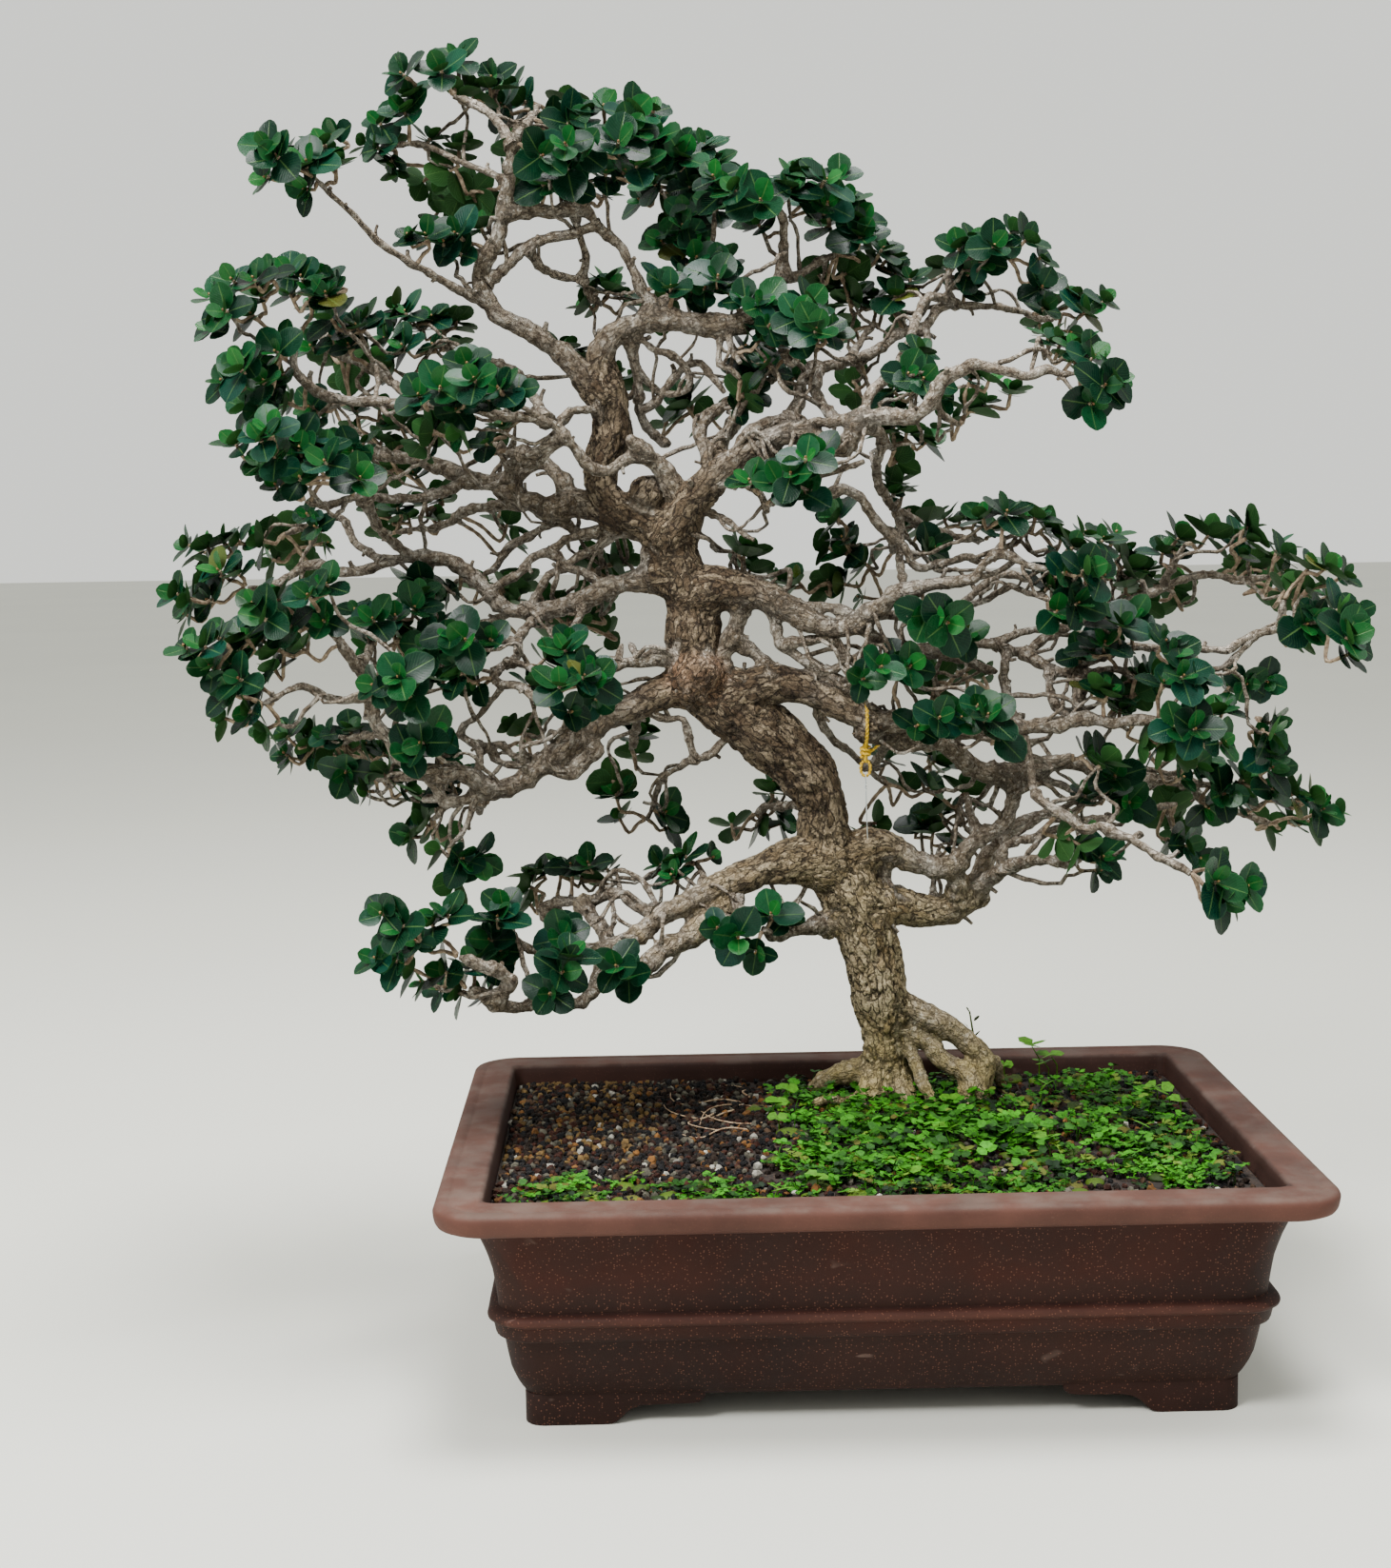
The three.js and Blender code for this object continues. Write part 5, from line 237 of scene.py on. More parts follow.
  330,517 334,528 336,539
rightHighTwig rightHigh>rightHigh 2.6 2.4 0: 262,504 272,491 286,487 300,497 316,514
rightPost rightFar>tied 4.4 4 0: 124,504 121,487 123,472 128,458 132,443
rightPostTwo rightLow>tied 4.2 4 0: 177,486 180,470 177,458 168,449 155,446
rightPostThree rightLow>rightPostTwo 3.4 3.2 0: 157,490 156,475 161,463 172,452
ringLeft right>tied 5.4 6 0: -76,552 -81,538 -84,525 -80,512 -70,505 -63,497 -56,482
ringKnot ringLeft>tied 6 6 0: -83,520 -92,512 -96,502 -91,492 -80,477
darkLink right>tied 5.4 3.6 0: -58,546 -55,528 -51,512 -38,501 -27,495 -14,489 0,480 4,469 7,456
loopRight darkLink>rightDown 3.7 3.4 0: -49,510 -40,512 -28,513 -12,517 -5,507 3,499 12,503 17,511 18,521
loopLink loopRight>darkLink 3.3 3.2 0: 2,500 -8,492 -18,490
# the tied limb
tied trunk 16 3.4 -90: -94,470 -75,476 -56,481 -38,479 -20,471 -5,464 12,455 30,451 50,452 68,450 85,446 105,443
  125,444 145,444 162,446 185,450 205,447 225,449 245,447 261,444
tiedUnder tied 9.5 3.4 70: 12,452 32,441 50,435 68,434 82,428 92,418 103,411 118,410 135,413 155,414 178,415 200,406
  222,402 245,402 262,399 272,390 281,381 296,377 312,373 328,366
tiedSpur tiedUnder 3.2 2.4 20: 260,400 277,398 290,396
tiedSpurUp tiedUnder 4.8 3.4 -10: 208,405 225,414 233,425
tiedSkin tied 3.8 3 -70: 103,443 116,434 130,428 142,421 158,419 173,422
tiedHook tiedUnder 5.2 3.2 30: 108,411 122,403 140,401 155,402 168,398 178,392 183,384
tiedBelow tied 3.8 2.5 40: -24,472 -21,457 -15,445 -8,435 3,427 12,418 22,408 30,402
tiedBelowTwo tiedUnder>tiedBelow 4.2 3.2 0: 32,441 29,430 22,420 13,416
fall rightPost 4 3.4 -150: 130,452 133,442 139,428 141,412 143,400 148,388 158,381 172,373 184,365 196,367 208,361
  220,356 230,350 242,342 256,335 267,328
# lowest right
lowRight trunk 14 3.6 50: 10,308 35,307 58,302 78,302 92,310 100,322 106,338 112,350 124,362 138,370 152,377 165,378
  178,370 190,371 204,373
lowRightLong lowRight 8 3.4 -70: 95,314 109,325 122,334 138,340 155,340 170,338 182,341
lowRightTwig lowRightLong 3.6 3 -20: 121,334 120,350 130,356 145,358 158,363 170,368
lowRightUpper trunk>tiedUnder 12 5 40: -2,345 20,352 38,348 55,340 72,336 85,340 93,352 106,361 118,368 125,380 128,395
  121,411
lowRightPost lowRight>lowRightUpper 7.4 7 0: 87,306 84,323 80,339
lowRightRing lowRightUpper>lowRight 5.2 5 0: 34,348 27,335 30,322 40,307
lowRightUp lowRightUpper 3.3 2.5 25: 101,360 97,372 94,385 92,394
lowRightFar lowRight 2.9 2.2 95: 202,373 222,378 240,380 255,383
lowRightShade lowRight 3.4 2.6 110: 62,305 66,314 66,322
""")]

# SPRAYS: name: clusters of leaves: x, z, half width, half height, how much deeper, size of leaf.
SPRAYS = [(name.rstrip(":"), groups(clusters)) for name, clusters in entries("""
crownA: -297,938,30,18,-25,1.15 -325,908,22,22,-10,1 -262,925,14,12,-5,0.9 -232,915,28,14,35,1.1
  -205,900,14,14,-10,1.05
crownC: -226,877,24,18,-55,1.1 -206,868,12,12,-40,1 -168,884,26,18,-45,1.15 -158,905,22,13,-20,1.05
  -178,862,14,10,-20,0.95
crownD: -292,868,24,20,0,1 -270,850,20,18,10,1 -292,845,16,12,45,0.9 -345,884,12,10,0,0.7 -335,880,8,8,5,0.75
  -288,820,20,11,-30,0.95 -312,818,12,8,-45,0.85
crownF: -398,872,18,15,-90,1 -420,878,14,14,-105,0.95 -385,885,14,12,-75,0.9
crownI: -120,874,24,18,60,1.2 -140,888,18,12,45,1.2 -100,868,14,14,85,1.05 -140,855,22,14,95,1 -118,848,18,14,120,1
crownK: -120,822,16,14,40,1 -112,800,20,14,20,0.95 -95,785,14,14,-10,1.05 -178,775,16,11,30,1.1 -130,778,14,14,-20,0.9
crownM: -62,842,22,20,-5,1.2 -88,850,16,14,15,1 -42,850,14,14,10,1.1 -15,855,18,14,20,1.05 -10,838,14,12,50,0.9
crownO: 12,814,18,16,40,1.15 0,788,26,20,75,1.05 32,798,10,12,85,0.9 38,770,18,18,60,1 5,765,24,16,95,1
  -10,750,20,12,110,1
crownQ: -35,755,22,16,-45,1.15 -62,765,13,13,-30,1 -22,745,12,10,-60,0.95 -66,738,18,16,-25,1.1 -62,718,20,14,20,1.05
  -78,700,9,9,-5,0.8
crownS: -118,690,20,11,75,1.05 -205,735,12,12,30,0.85 -170,712,12,10,45,0.9
leftA: -440,788,18,12,-95,1 -462,766,24,14,-110,1.1 -452,722,20,13,-120,1.05 -425,735,16,12,-95,0.95
  -437,705,20,12,-75,1.05
leftB: -405,788,24,12,-30,1.05 -388,776,14,18,-50,1.1 -388,755,18,16,30,1 -365,752,10,12,-20,0.9 -372,728,18,14,80,1
leftE: -330,738,24,14,90,1.05 -328,762,20,11,115,1 -300,752,18,12,130,1
leftF: -305,706,18,16,-95,1.1 -278,712,22,14,-110,1.05 -258,704,10,12,-90,0.95 -287,678,24,18,-45,1.15
  -258,676,10,12,10,0.85 -310,675,14,10,-25,1
leftH: -335,678,18,10,75,1.05 -368,690,18,10,90,1 -400,695,18,14,10,1 -340,650,20,12,75,1 -318,620,20,10,130,1
  -345,612,16,9,150,0.9
leftI: -392,652,26,18,-125,1.25 -372,662,14,12,-60,1 -412,662,14,12,-100,1 -440,670,20,12,-150,1.1
  -428,650,14,14,-120,0.95 -432,690,12,12,-100,0.85
leftL: -440,596,22,11,70,1.2 -418,590,20,10,105,1 -400,605,12,8,60,0.8 -483,590,14,12,40,1 -474,572,18,10,5,1
  -497,552,14,10,-15,1.05
leftN: -408,552,26,16,-130,1.35 -442,536,26,18,-150,1.35 -462,518,18,14,-125,1.15 -488,515,16,14,-170,1.05
  -432,512,20,12,-90,1.15 -420,535,18,12,-60,1.1 -462,490,16,11,-165,1 -455,466,18,11,-145,1.15
leftQ: -360,533,16,15,-60,1.2 -330,541,22,14,-35,1.15 -322,560,20,10,20,1 -290,518,22,13,-75,1.25
  -318,515,16,13,-50,1.1 -342,520,12,10,-20,0.9 -342,490,16,16,-145,1.3 -295,492,20,10,-60,1.1
leftT: -220,480,26,16,-85,1.35 -195,484,12,10,-70,1.05 -215,508,24,9,-40,1
leftU: -408,440,20,14,40,1.1 -428,445,10,12,25,0.9 -385,445,12,16,15,1.2 -358,432,14,14,60,1.1 -355,411,14,9,-20,1.1
  -385,420,12,9,10,1
leftW: -325,440,20,11,-75,1.3 -305,408,12,9,15,1.05 -248,447,14,12,25,0.8 -324,376,16,14,55,1 -300,350,16,14,-60,1.15
leftY: -225,540,16,12,40,1.05 -190,537,12,14,60,1 -262,557,22,9,90,1 -180,574,16,9,70,0.95 -258,604,12,12,110,0.95
hangB: -178,396,20,15,70,1.15 -143,382,12,9,50,1.2 -162,440,18,11,75,1.1 -125,347,18,9,-5,1 -135,331,12,9,-20,0.9
lowA: -345,297,22,16,-185,1.2 -322,297,18,16,-150,1.05 -350,270,16,13,-160,1 -312,260,22,15,-135,1.15
  -300,245,16,9,-115,1
lowB: -272,300,20,14,-110,1.2 -270,277,16,12,-85,1.15 -225,258,28,14,-130,1.45 -222,286,16,10,-95,1.1
  -180,262,12,10,-110,1.1
lowE: -245,326,18,12,65,1 -222,338,16,14,45,1.15 -200,342,18,18,20,1.05
lowG: -86,285,20,18,-75,1.2 -60,300,12,10,-50,1
lowH: -70,375,20,15,85,1.1 -58,395,14,10,60,0.9
rightA: 88,803,16,10,60,1 92,786,14,9,75,1 112,806,14,8,40,1 135,810,14,14,45,1.1 148,775,20,14,70,1.05
  180,757,20,16,120,1.15 158,760,16,14,140,1
rightD: 162,732,16,14,-70,1.2 186,722,16,14,-110,1.05 195,702,14,12,-130,1 108,706,18,11,-60,1.05 92,686,18,13,-40,1.1
  58,708,18,12,-60,1.2 56,728,12,9,-30,0.85 38,700,12,10,20,1
rightG: 8,702,12,11,55,1.05 35,686,16,8,50,1 46,668,14,12,0,1.15 38,648,18,14,35,1.1 36,622,10,9,50,0.8
  62,602,16,13,80,1.2 98,600,14,9,95,0.9 60,580,12,8,20,0.9
rightI: -50,632,20,18,-75,1.1 -30,650,16,9,-95,0.95
rightJ: -5,605,18,13,45,1.1 2,580,14,14,60,1.1 0,556,16,14,75,0.95 -35,557,22,12,70,1.1 -78,578,26,11,45,1.15
rightM: 122,606,22,17,-60,1.55 150,596,16,14,-30,1.15 172,580,20,16,-75,1.25 180,563,14,11,-100,1.05
  160,560,14,10,-50,1
rightO: 212,566,20,15,30,1.3 226,552,14,10,50,1 195,585,14,10,0,0.95 242,575,16,16,40,1 250,550,14,10,90,0.95
rightP: 76,526,20,18,-70,1.4 25,492,16,12,-75,1.25 47,492,12,12,-55,1
rightR: 175,538,20,11,-85,1.1 210,520,22,14,-80,1.25 190,503,16,11,-60,1.1
rightS: 250,498,20,13,-95,1.35 258,480,16,12,-110,1.2 232,482,10,12,-60,1 200,466,18,14,-75,1.3 222,468,12,12,-50,1
rightV: 276,588,22,12,30,1.25 304,585,16,14,10,1.2 332,572,18,11,60,1.1 330,548,20,9,100,1.1 310,565,14,10,120,1
rightX: 366,562,16,13,-60,1.25 352,545,16,11,-25,1.1 352,520,16,13,-75,1.25 376,530,14,13,-90,1.1
  384,508,16,12,-115,1.75
endB: 306,476,16,10,30,0.95 282,450,14,9,10,1 325,436,18,14,-50,1.5 326,408,14,14,-20,1.15 306,400,12,12,0,0.95
  290,390,14,12,0,1.35 268,412,16,8,-20,1 344,388,16,11,30,1.3 342,368,18,11,85,1.35 366,375,12,16,60,1.1
endA: 268,440,22,14,-110,1.25 240,430,18,11,-75,1.2 196,415,18,14,-60,1.4 200,390,16,10,-20,1
endF: 250,378,22,16,110,1.3 262,350,18,9,80,1
endG: 178,353,20,14,-90,1.4 196,343,10,9,-60,1.1
endH: 285,320,20,16,-170,1.55 308,318,10,12,-150,1.15
endI: 108,452,20,16,-95,1.45 70,452,16,10,-70,1
endJ: 68,482,14,12,50,1 92,486,12,11,70,1
endK: 62,398,26,12,60,1.35 72,378,18,11,85,1.2 66,362,16,8,100,1 30,420,8,9,70,0.9 66,418,16,7,95,0.95
  20,372,12,9,80,0.8
""")]

# Outlines of the patches of ground cover, seen from above.
RIGHT_MAT = groups("""
    -62,-150 -10,-160 60,-156 130,-161 205,-157 246,-140 247,-60 240,30 246,110 235,157 172,160 158,104 112,62 52,44
    4,52 -38,66 -66,40 -52,-20 -70,-70 -56,-110""")
# ROOT_MAT lies round the roots and behind the trunk, where plants stand more thinly.
ROOT_MAT = groups("""
    -66,40 -38,66 4,52 52,44 112,62 158,104 172,160 120,166 70,150 20,158 -30,150 -64,128 -76,84""")
LEFT_MAT = groups("""
    -246,-158 -190,-162 -130,-158 -84,-161 -76,-140 -104,-120 -150,-112 -196,-102 -232,-92 -247,-110""")
# TALL_WEEDS: x, y, height and leaflet's length.
TALL_WEEDS = groups("""
    158,150,33,13 172,148,25,12 166,152,18,10 130,152,15,8 -72,-148,9,10 -60,20,12,8 74,60,13,9 150,96,14,8
    243,60,17,10 247,40,14,9 238,80,15,9 124,-48,12,12 -42,-128,10,9 22,-118,9,10 204,-18,12,9 -50,96,14,10
    -62,60,12,10 60,-20,12,11""")

PLANE_DEPTH = 100  # the upright plane that the limb and leaf tables are read on
EYE = np.array([-150.0, -1620.0, 616.0])
EYE_PITCH_DOWN = 7.0
EYE_TURN_RIGHT = 1.09
EYE_ROLL = -0.85
LENS = 51.65
BACKDROP = 1.28  # strength of the plain background behind the plant
CROWN_MIDDLE = np.array([-60.0, 130.0, 520.0])
HUB_CLEAR = 7
DEEPEST = 122  # no rosette is added deeper than this
CROWN_GROWTH = 1.1  # the crown's leaves are larger
BURL = (-115, 487, -7, 24)  # x, z, depth and radius of the swelling at the trunk's bend
BURL_KNOB = (-111, 489, -21, 14)  # its rounded front
CROWN_KNOT = (-150, 628, -2, 14)
BARE_LIMB = "crownLong"  # no thin branches hang from it
STRONG_LIMB = 4.4  # limbs from this first radius up are run together in one skin
LEFT_LIMBS_END = -105  # limbs whose middle lies left of this are in the left piece
TWIG_REACH = 78  # how far a thin side branch reaches for leaves
SPURS_BELOW = 22  # and how near is too near
ROOT_SLIMMING = 0.8  # lets daylight through between the two arched roots

RIM_HALF = (300, 215)
FOOT_HALF = (244, 158)
FOOT_WIDTH = 56
FOOT_THICKNESS = 20
BRACKET_REACH = (121, 66)
WALL = 12
DRAIN_HOLE_OUT = 130
DRAIN_HOLE_RADIUS = 13
SOIL_TOP = 150.5
SOIL_EDGE = 147.5
BED_HALF = (265, 180)  # half of the soil's length and depth at its top
LEAFY_RIGHT_OF = -60
STONES_AMONG_PLANTS = 0.46
GRAVEL_SEED = 4107
COVER_SEED = 2290
ALL_SMOOTH = 180  # degrees

TIE_AT = 14
TIE_LOW = 385
TIE_HIGH = 478
TIE_HALF_HEIGHT = 15.4
TIE_HALF_DEPTH = 15.2
EYE_HALF = (3.7, 6)
EYE_DROP = 39  # from the tie's middle down to the middle of its eye
GUY_FOOT = (15.5, 351.5, -4)

MM = 0.001
UP = np.array([0, 0, 1.0])
SIDEWAYS = np.array([1.0, 0, 0])


def srgb(red, green, blue):
    """A colour as read on a screen, 0 to 255, as the linear values that Blender works in."""
    parts = (red / 255, green / 255, blue / 255)
    return tuple(v / 12.92 if v <= 0.04045 else ((v + 0.055) / 1.055) ** 2.4 for v in parts)


class PotSettings(bpy.types.PropertyGroup):
    corner_steps: IntProperty(name="Corner steps", description="Steps in each rounded corner", default=9, min=3)
    edge: FloatProperty(
        name="Edge", description="How far the feet's edges are rounded", default=0.0013, unit="LENGTH"
    )
    clay: FloatVectorProperty(
        name="Clay", description="Fired clay of the walls", default=srgb(48, 24, 18), size=3, subtype="COLOR"
    )
    rim_clay: FloatVectorProperty(
        name="Rim clay", description="Dusty clay of the rim", default=srgb(82, 54, 46), size=3, subtype="COLOR"
    )
    speckle: FloatVectorProperty(
        name="Speckle", description="Grains in the clay", default=srgb(122, 80, 62), size=3, subtype="COLOR"
    )


class TreeSettings(bpy.types.PropertyGroup):
    leaf_length: FloatProperty(
        name="Leaf length", description="Length of a leaf of size 1", default=0.0224, unit="LENGTH"
    )
    wood_grain: FloatProperty(
        name="Wood grain", description="Size of the finest bark shape", default=0.0017, min=0.001, unit="LENGTH"
    )
    leaf: FloatVectorProperty(
        name="Leaf", description="Grown leaf", default=srgb(3, 37, 25), size=3, subtype="COLOR"
    )
    young_leaf: FloatVectorProperty(
        name="Young leaf", description="Leaf at a shoot's tip", default=srgb(23, 90, 35), size=3, subtype="COLOR"
    )
    plate: FloatVectorProperty(
        name="Bark plate", description="Raised bark of the trunk", default=srgb(190, 172, 135), size=3, subtype="COLOR"
    )
    crack: FloatVectorProperty(
        name="Bark crack", description="Cracks between the plates", default=srgb(30, 21, 14), size=3, subtype="COLOR"
    )
    limb: FloatVectorProperty(
        name="Limb bark", description="Grey bark of the limbs", default=srgb(148, 137, 122), size=3, subtype="COLOR"
    )


class BedSettings(bpy.types.PropertyGroup):
    stone_apart: FloatProperty(
        name="Stone spacing", description="Distance between gravel grains", default=0.0051, unit="LENGTH"
    )
    weeds: IntProperty(name="Weeds", description="Small plants on the right", default=1450, min=0)
    weed: FloatVectorProperty(
        name="Weed", description="Leaves of the small plants", default=srgb(60, 138, 14), size=3, subtype="COLOR"
    )
    moss: FloatVectorProperty(
        name="Moss", description="Moss cushions", default=srgb(74, 98, 22), size=3, subtype="COLOR"
    )


class StageSettings(bpy.types.PropertyGroup):
    floor: FloatVectorProperty(
        name="Floor", description="Pale floor", default=srgb(220, 220, 210), size=3, subtype="COLOR"
    )
    light: FloatProperty(name="Light", description="Strength of the light from above", default=1.0, min=0)


# PLACES


def draw(seed, index, use):
    """A draw from 0 to 1 that depends only on its three whole numbers."""
    mask = 0xFFFFFFFF
    h = ((seed + 1) * 374761393 ^ (index + 1) * 668265263 ^ (use + 1) * 1274126177) & mask
    h = (h ^ h >> 13) * 1103515245 & mask
    h = (h ^ h >> 16) * 2246822519 & mask
    h ^= h >> 13
    return h / 4294967296


def unit(v):
    return v / max(np.linalg.norm(v), 1e-9)


def square_to(along):
    """A direction at right angles to the given one."""
    return unit(np.cross(UP if abs(along[2]) < 0.9 else SIDEWAYS, along))


def rolled(side, normal, angle):
    """Both directions, turned round the third one."""
    return side * cos(angle) + normal * sin(angle), normal * cos(angle) - side * sin(angle)


def run_of(points):
    """How far along a line each of its points lies."""
    return np.concatenate([[0], np.cumsum(np.linalg.norm(np.diff(points, axis=0), axis=1))])


def frames_along(points):
    """At each point of a line the way ahead and two directions square to it, which turn as little as they can."""
    side, frames = None, []
    for i in range(len(points)):
        along = unit(points[min(i + 1, len(points) - 1)] - points[max(i - 1, 0)])
        side = square_to(along) if side is None else unit(side - along * side.dot(along))
        frames.append((along, side, np.cross(along, side)))
    return frames


def search_tree(points):
    tree = KDTree(len(points))
    for i, p in enumerate(points):
        tree.insert(p, i)
    tree.balance()
    return tree


def grown(deeper):
    """How much larger a thing must be to look the same from that much deeper."""
    return (PLANE_DEPTH + deeper - EYE[1]) / (PLANE_DEPTH - EYE[1])


def placed(x, z, deeper):
    """A point of the trunk's plane, slid away from the viewer along the line of sight."""
    k = grown(deeper)
    return np.array([EYE[0] + (x - EYE[0]) * k, PLANE_DEPTH + deeper, EYE[2] + (z - EYE[2]) * k])


def to_row(points):
    """Millimetres from the pot's middle to metres in the part's frame."""
    return np.asarray(points, float) * MM + (POT_MIDDLE[0], POT_MIDDLE[1], 0)


ROWS = {row[0]: row for row in LIMBS}
FLAT_LINES = {"trunk": ([row[:2] for row in TRUNK], [row[2] for row in TRUNK], [row[3] for row in TRUNK])}


def depth_at(name, x, z):
    flat, depth, _ = flat_line(name)
    best, found = inf, 0
    for i in range(len(flat) - 1):
        (ax, az), (bx, bz) = flat[i], flat[i + 1]
        dx, dz = bx - ax, bz - az
        t = min(1, max(0, ((x - ax) * dx + (z - az) * dz) / (dx * dx + dz * dz)))
        gap = hypot(ax + dx * t - x, az + dz * t - z)
        if gap < best:
            best, found = gap, depth[i] + (depth[i + 1] - depth[i]) * t
    return found


def flat_line(name):
    """x and z, depth and radius along a limb, as the tables say."""
    if name in FLAT_LINES:
        return FLAT_LINES[name]
    row = ROWS[name]
    number = LIMBS.index(row)
    _, parent, first, last, end, flat = row[:6]
    gone = [0.0]
    for a, b in zip(flat, flat[1:]):
        gone.append(gone[-1] + dist(a, b))
    whole = gone[-1]
    start = depth_at(parent, *flat[0])
    stop = depth_at(row[6], *flat[-1]) if len(row) > 6 else end
    bow = 0.09 * whole * (draw(number, 0, 1) - 0.5)
    depth = [start + (stop - start) * g / whole + bow * sin(pi * g / whole) for g in gone]
    radii = [
        (first + (last - first) * (g / whole) ** 0.7) * (1 + 0.14 * (draw(number, i, 2) - 0.5))
        for i, g in enumerate(gone)
    ]
    FLAT_LINES[name] = (flat, depth, radii)
    return FLAT_LINES[name]


def limb_line(name):
    flat, depth, radii = flat_line(name)
    points = np.array([placed(x, z, d) for (x, z), d in zip(flat, depth)])
    return points, np.array([r * grown(d) for r, d in zip(radii, depth)])


LINES = {name: limb_line(name) for name in ["trunk", *ROWS]}
SEGMENT_START = np.concatenate([points[:-1] for points, _ in LINES.values()])
SEGMENT_RUN = np.concatenate([points[1:] - points[:-1] for points, _ in LINES.values()])
SEGMENT_RADII = np.concatenate([np.stack([radii[:-1], radii[1:]], 1) for _, radii in LINES.values()])


def nearest_wood(p):
    """The nearest place on the limbs' middle lines, its radius, the way out from it and the gap to the bark."""
    t = np.clip(((p - SEGMENT_START) * SEGMENT_RUN).sum(1) / (SEGMENT_RUN**2).sum(1), 0, 1)
    on = SEGMENT_START + SEGMENT_RUN * t[:, None]
    radius = SEGMENT_RADII[:, 0] + (SEGMENT_RADII[:, 1] - SEGMENT_RADII[:, 0]) * t
    gap = np.linalg.norm(on - p, axis=1) - radius
    i = int(np.argmin(gap))
    out = p - on[i]
    out = unit(out) if np.linalg.norm(out) > 0.01 else unit(np.array([0, -1, 0.3]))
    return on[i], radius[i], out, gap[i]


def curved(points, radii, spacing):
    """Even points on a smooth curve through the given ones, with a radius at each."""
    padded = np.concatenate([[2 * points[0] - points[1]], points, [2 * points[-1] - points[-2]]])
    found, widths = [], []
    for i in range(len(points) - 1):
        a, b, c, d = padded[i : i + 4]
        steps = max(1, round(np.linalg.norm(c - b) / spacing))
        for t in np.arange(steps) / steps:
            q = 2 * b + (c - a) * t + (2 * a - 5 * b + 4 * c - d) * t**2 + (3 * b - a - 3 * c + d) * t**3
            found.append(q / 2)
            widths.append(radii[i] + (radii[i + 1] - radii[i]) * t)
    found.append(points[-1])
    widths.append(radii[-1])
    return np.array(found), np.array(widths)


# MAKING PIECES


def clear_selection():
    if bpy.context.mode != "OBJECT":
        bpy.ops.object.mode_set(mode="OBJECT")
    bpy.ops.object.select_all(action="DESELECT")


def take(piece):
    clear_selection()
    piece.select_set(True)
    bpy.context.view_layer.objects.active = piece


def with_modifier(piece, kind, **values):
    """Adds a modifier, sets it and applies it."""
    take(piece)
    modifier = piece.modifiers.new(kind.title(), kind)
    for name, value in values.items():
        setattr(modifier, name, value)
    if bpy.ops.object.modifier_apply(modifier=modifier.name) != {"FINISHED"}:
        raise RuntimeError(f"{kind} could not be applied to {piece.name}")


def deleted(piece):
    take(piece)
    bpy.ops.object.delete()


def filled_circle(name, corners):
    """A filled circle with as many corners as the outline that it is shaped to afterwards."""
    clear_selection()
    bpy.ops.mesh.primitive_circle_add(vertices=len(corners), radius=0.1, fill_type="NGON")
    piece = bpy.context.object
    piece.name = name
    return piece


def faced_outwards():
    """Turns the edited piece's faces outwards and leaves edit mode."""
    bpy.ops.mesh.select_all(action="SELECT")
    bpy.ops.mesh.normals_make_consistent(inside=False)
    bpy.ops.object.mode_set(mode="OBJECT")


def finished(piece, smooth, coats, slot, *nodes):
    """Smooths faces that meet at less than an angle, coats the piece and hands it over, for the nodes it replaces."""
    take(piece)
    if smooth == ALL_SMOOTH:
        bpy.ops.object.shade_smooth()
    else:
        bpy.ops.object.shade_smooth_by_angle(angle=radians(smooth), keep_sharp_edges=False)
    coated(piece, *coats)
    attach(piece, "root")
    if nodes:
        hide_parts(*nodes)
    clear_selection()


def coated(piece, *materials):
    for i, material in enumerate(materials):
        if i == len(piece.material_slots):
            piece.data.materials.append(material)
        else:
            piece.material_slots[i].material = material


def shape_of(piece):
    """Points, faces and UV of a finished pattern piece, which is then taken away."""
    mesh = piece.data
    points = np.array([v.co[:] for v in mesh.vertices])
    faces = [tuple(face.vertices) for face in mesh.polygons]
    layer = mesh.uv_layers.active
    uv = [tuple(layer.data[i].uv) for i in range(len(mesh.loops))] if layer else None
    slots = [face.material_index for face in mesh.polygons]
    deleted(piece)
    return {"points": points, "faces": faces, "uv": uv, "slots": slots}


class Heap:
    """Gathers copies of patterns, each with its own place, for one mesh."""

    def __init__(self):
        self.points, self.faces, self.uv, self.slots, self.tints = [], [], [], [], []
        self.count = 0

    def add(self, points, faces, slots=0, tint=(0, 0, 0, 1), uv=None):
        self.points.append(points)
        self.faces.extend([tuple(i + self.count for i in face) for face in faces])
        self.slots.extend(slots if isinstance(slots, list) else [slots] * len(faces))
        self.uv.extend(uv if uv else [(0.5, 0.5)] * sum(len(face) for face in faces))
        self.tints.append(np.broadcast_to(np.array(tint, float), (len(points), 4)))
        self.count += len(points)

    def piece(self, name, tint_name):
        mesh = bpy.data.meshes.new(name)
        mesh.from_pydata(to_row(np.concatenate(self.points)).tolist(), [], self.faces)
        mesh.polygons.foreach_set("material_index", self.slots)
        mesh.uv_layers.new(name="surface").data.foreach_set("uv", np.array(self.uv, np.float32).ravel())
        tint = mesh.attributes.new(tint_name, "FLOAT_COLOR", "POINT")
        tint.data.foreach_set("color", np.concatenate(self.tints).astype(np.float32).ravel())
        mesh.validate()
        mesh.update()
        piece = bpy.data.objects.new(name, mesh)
        bpy.context.scene.collection.objects.link(piece)
        return piece


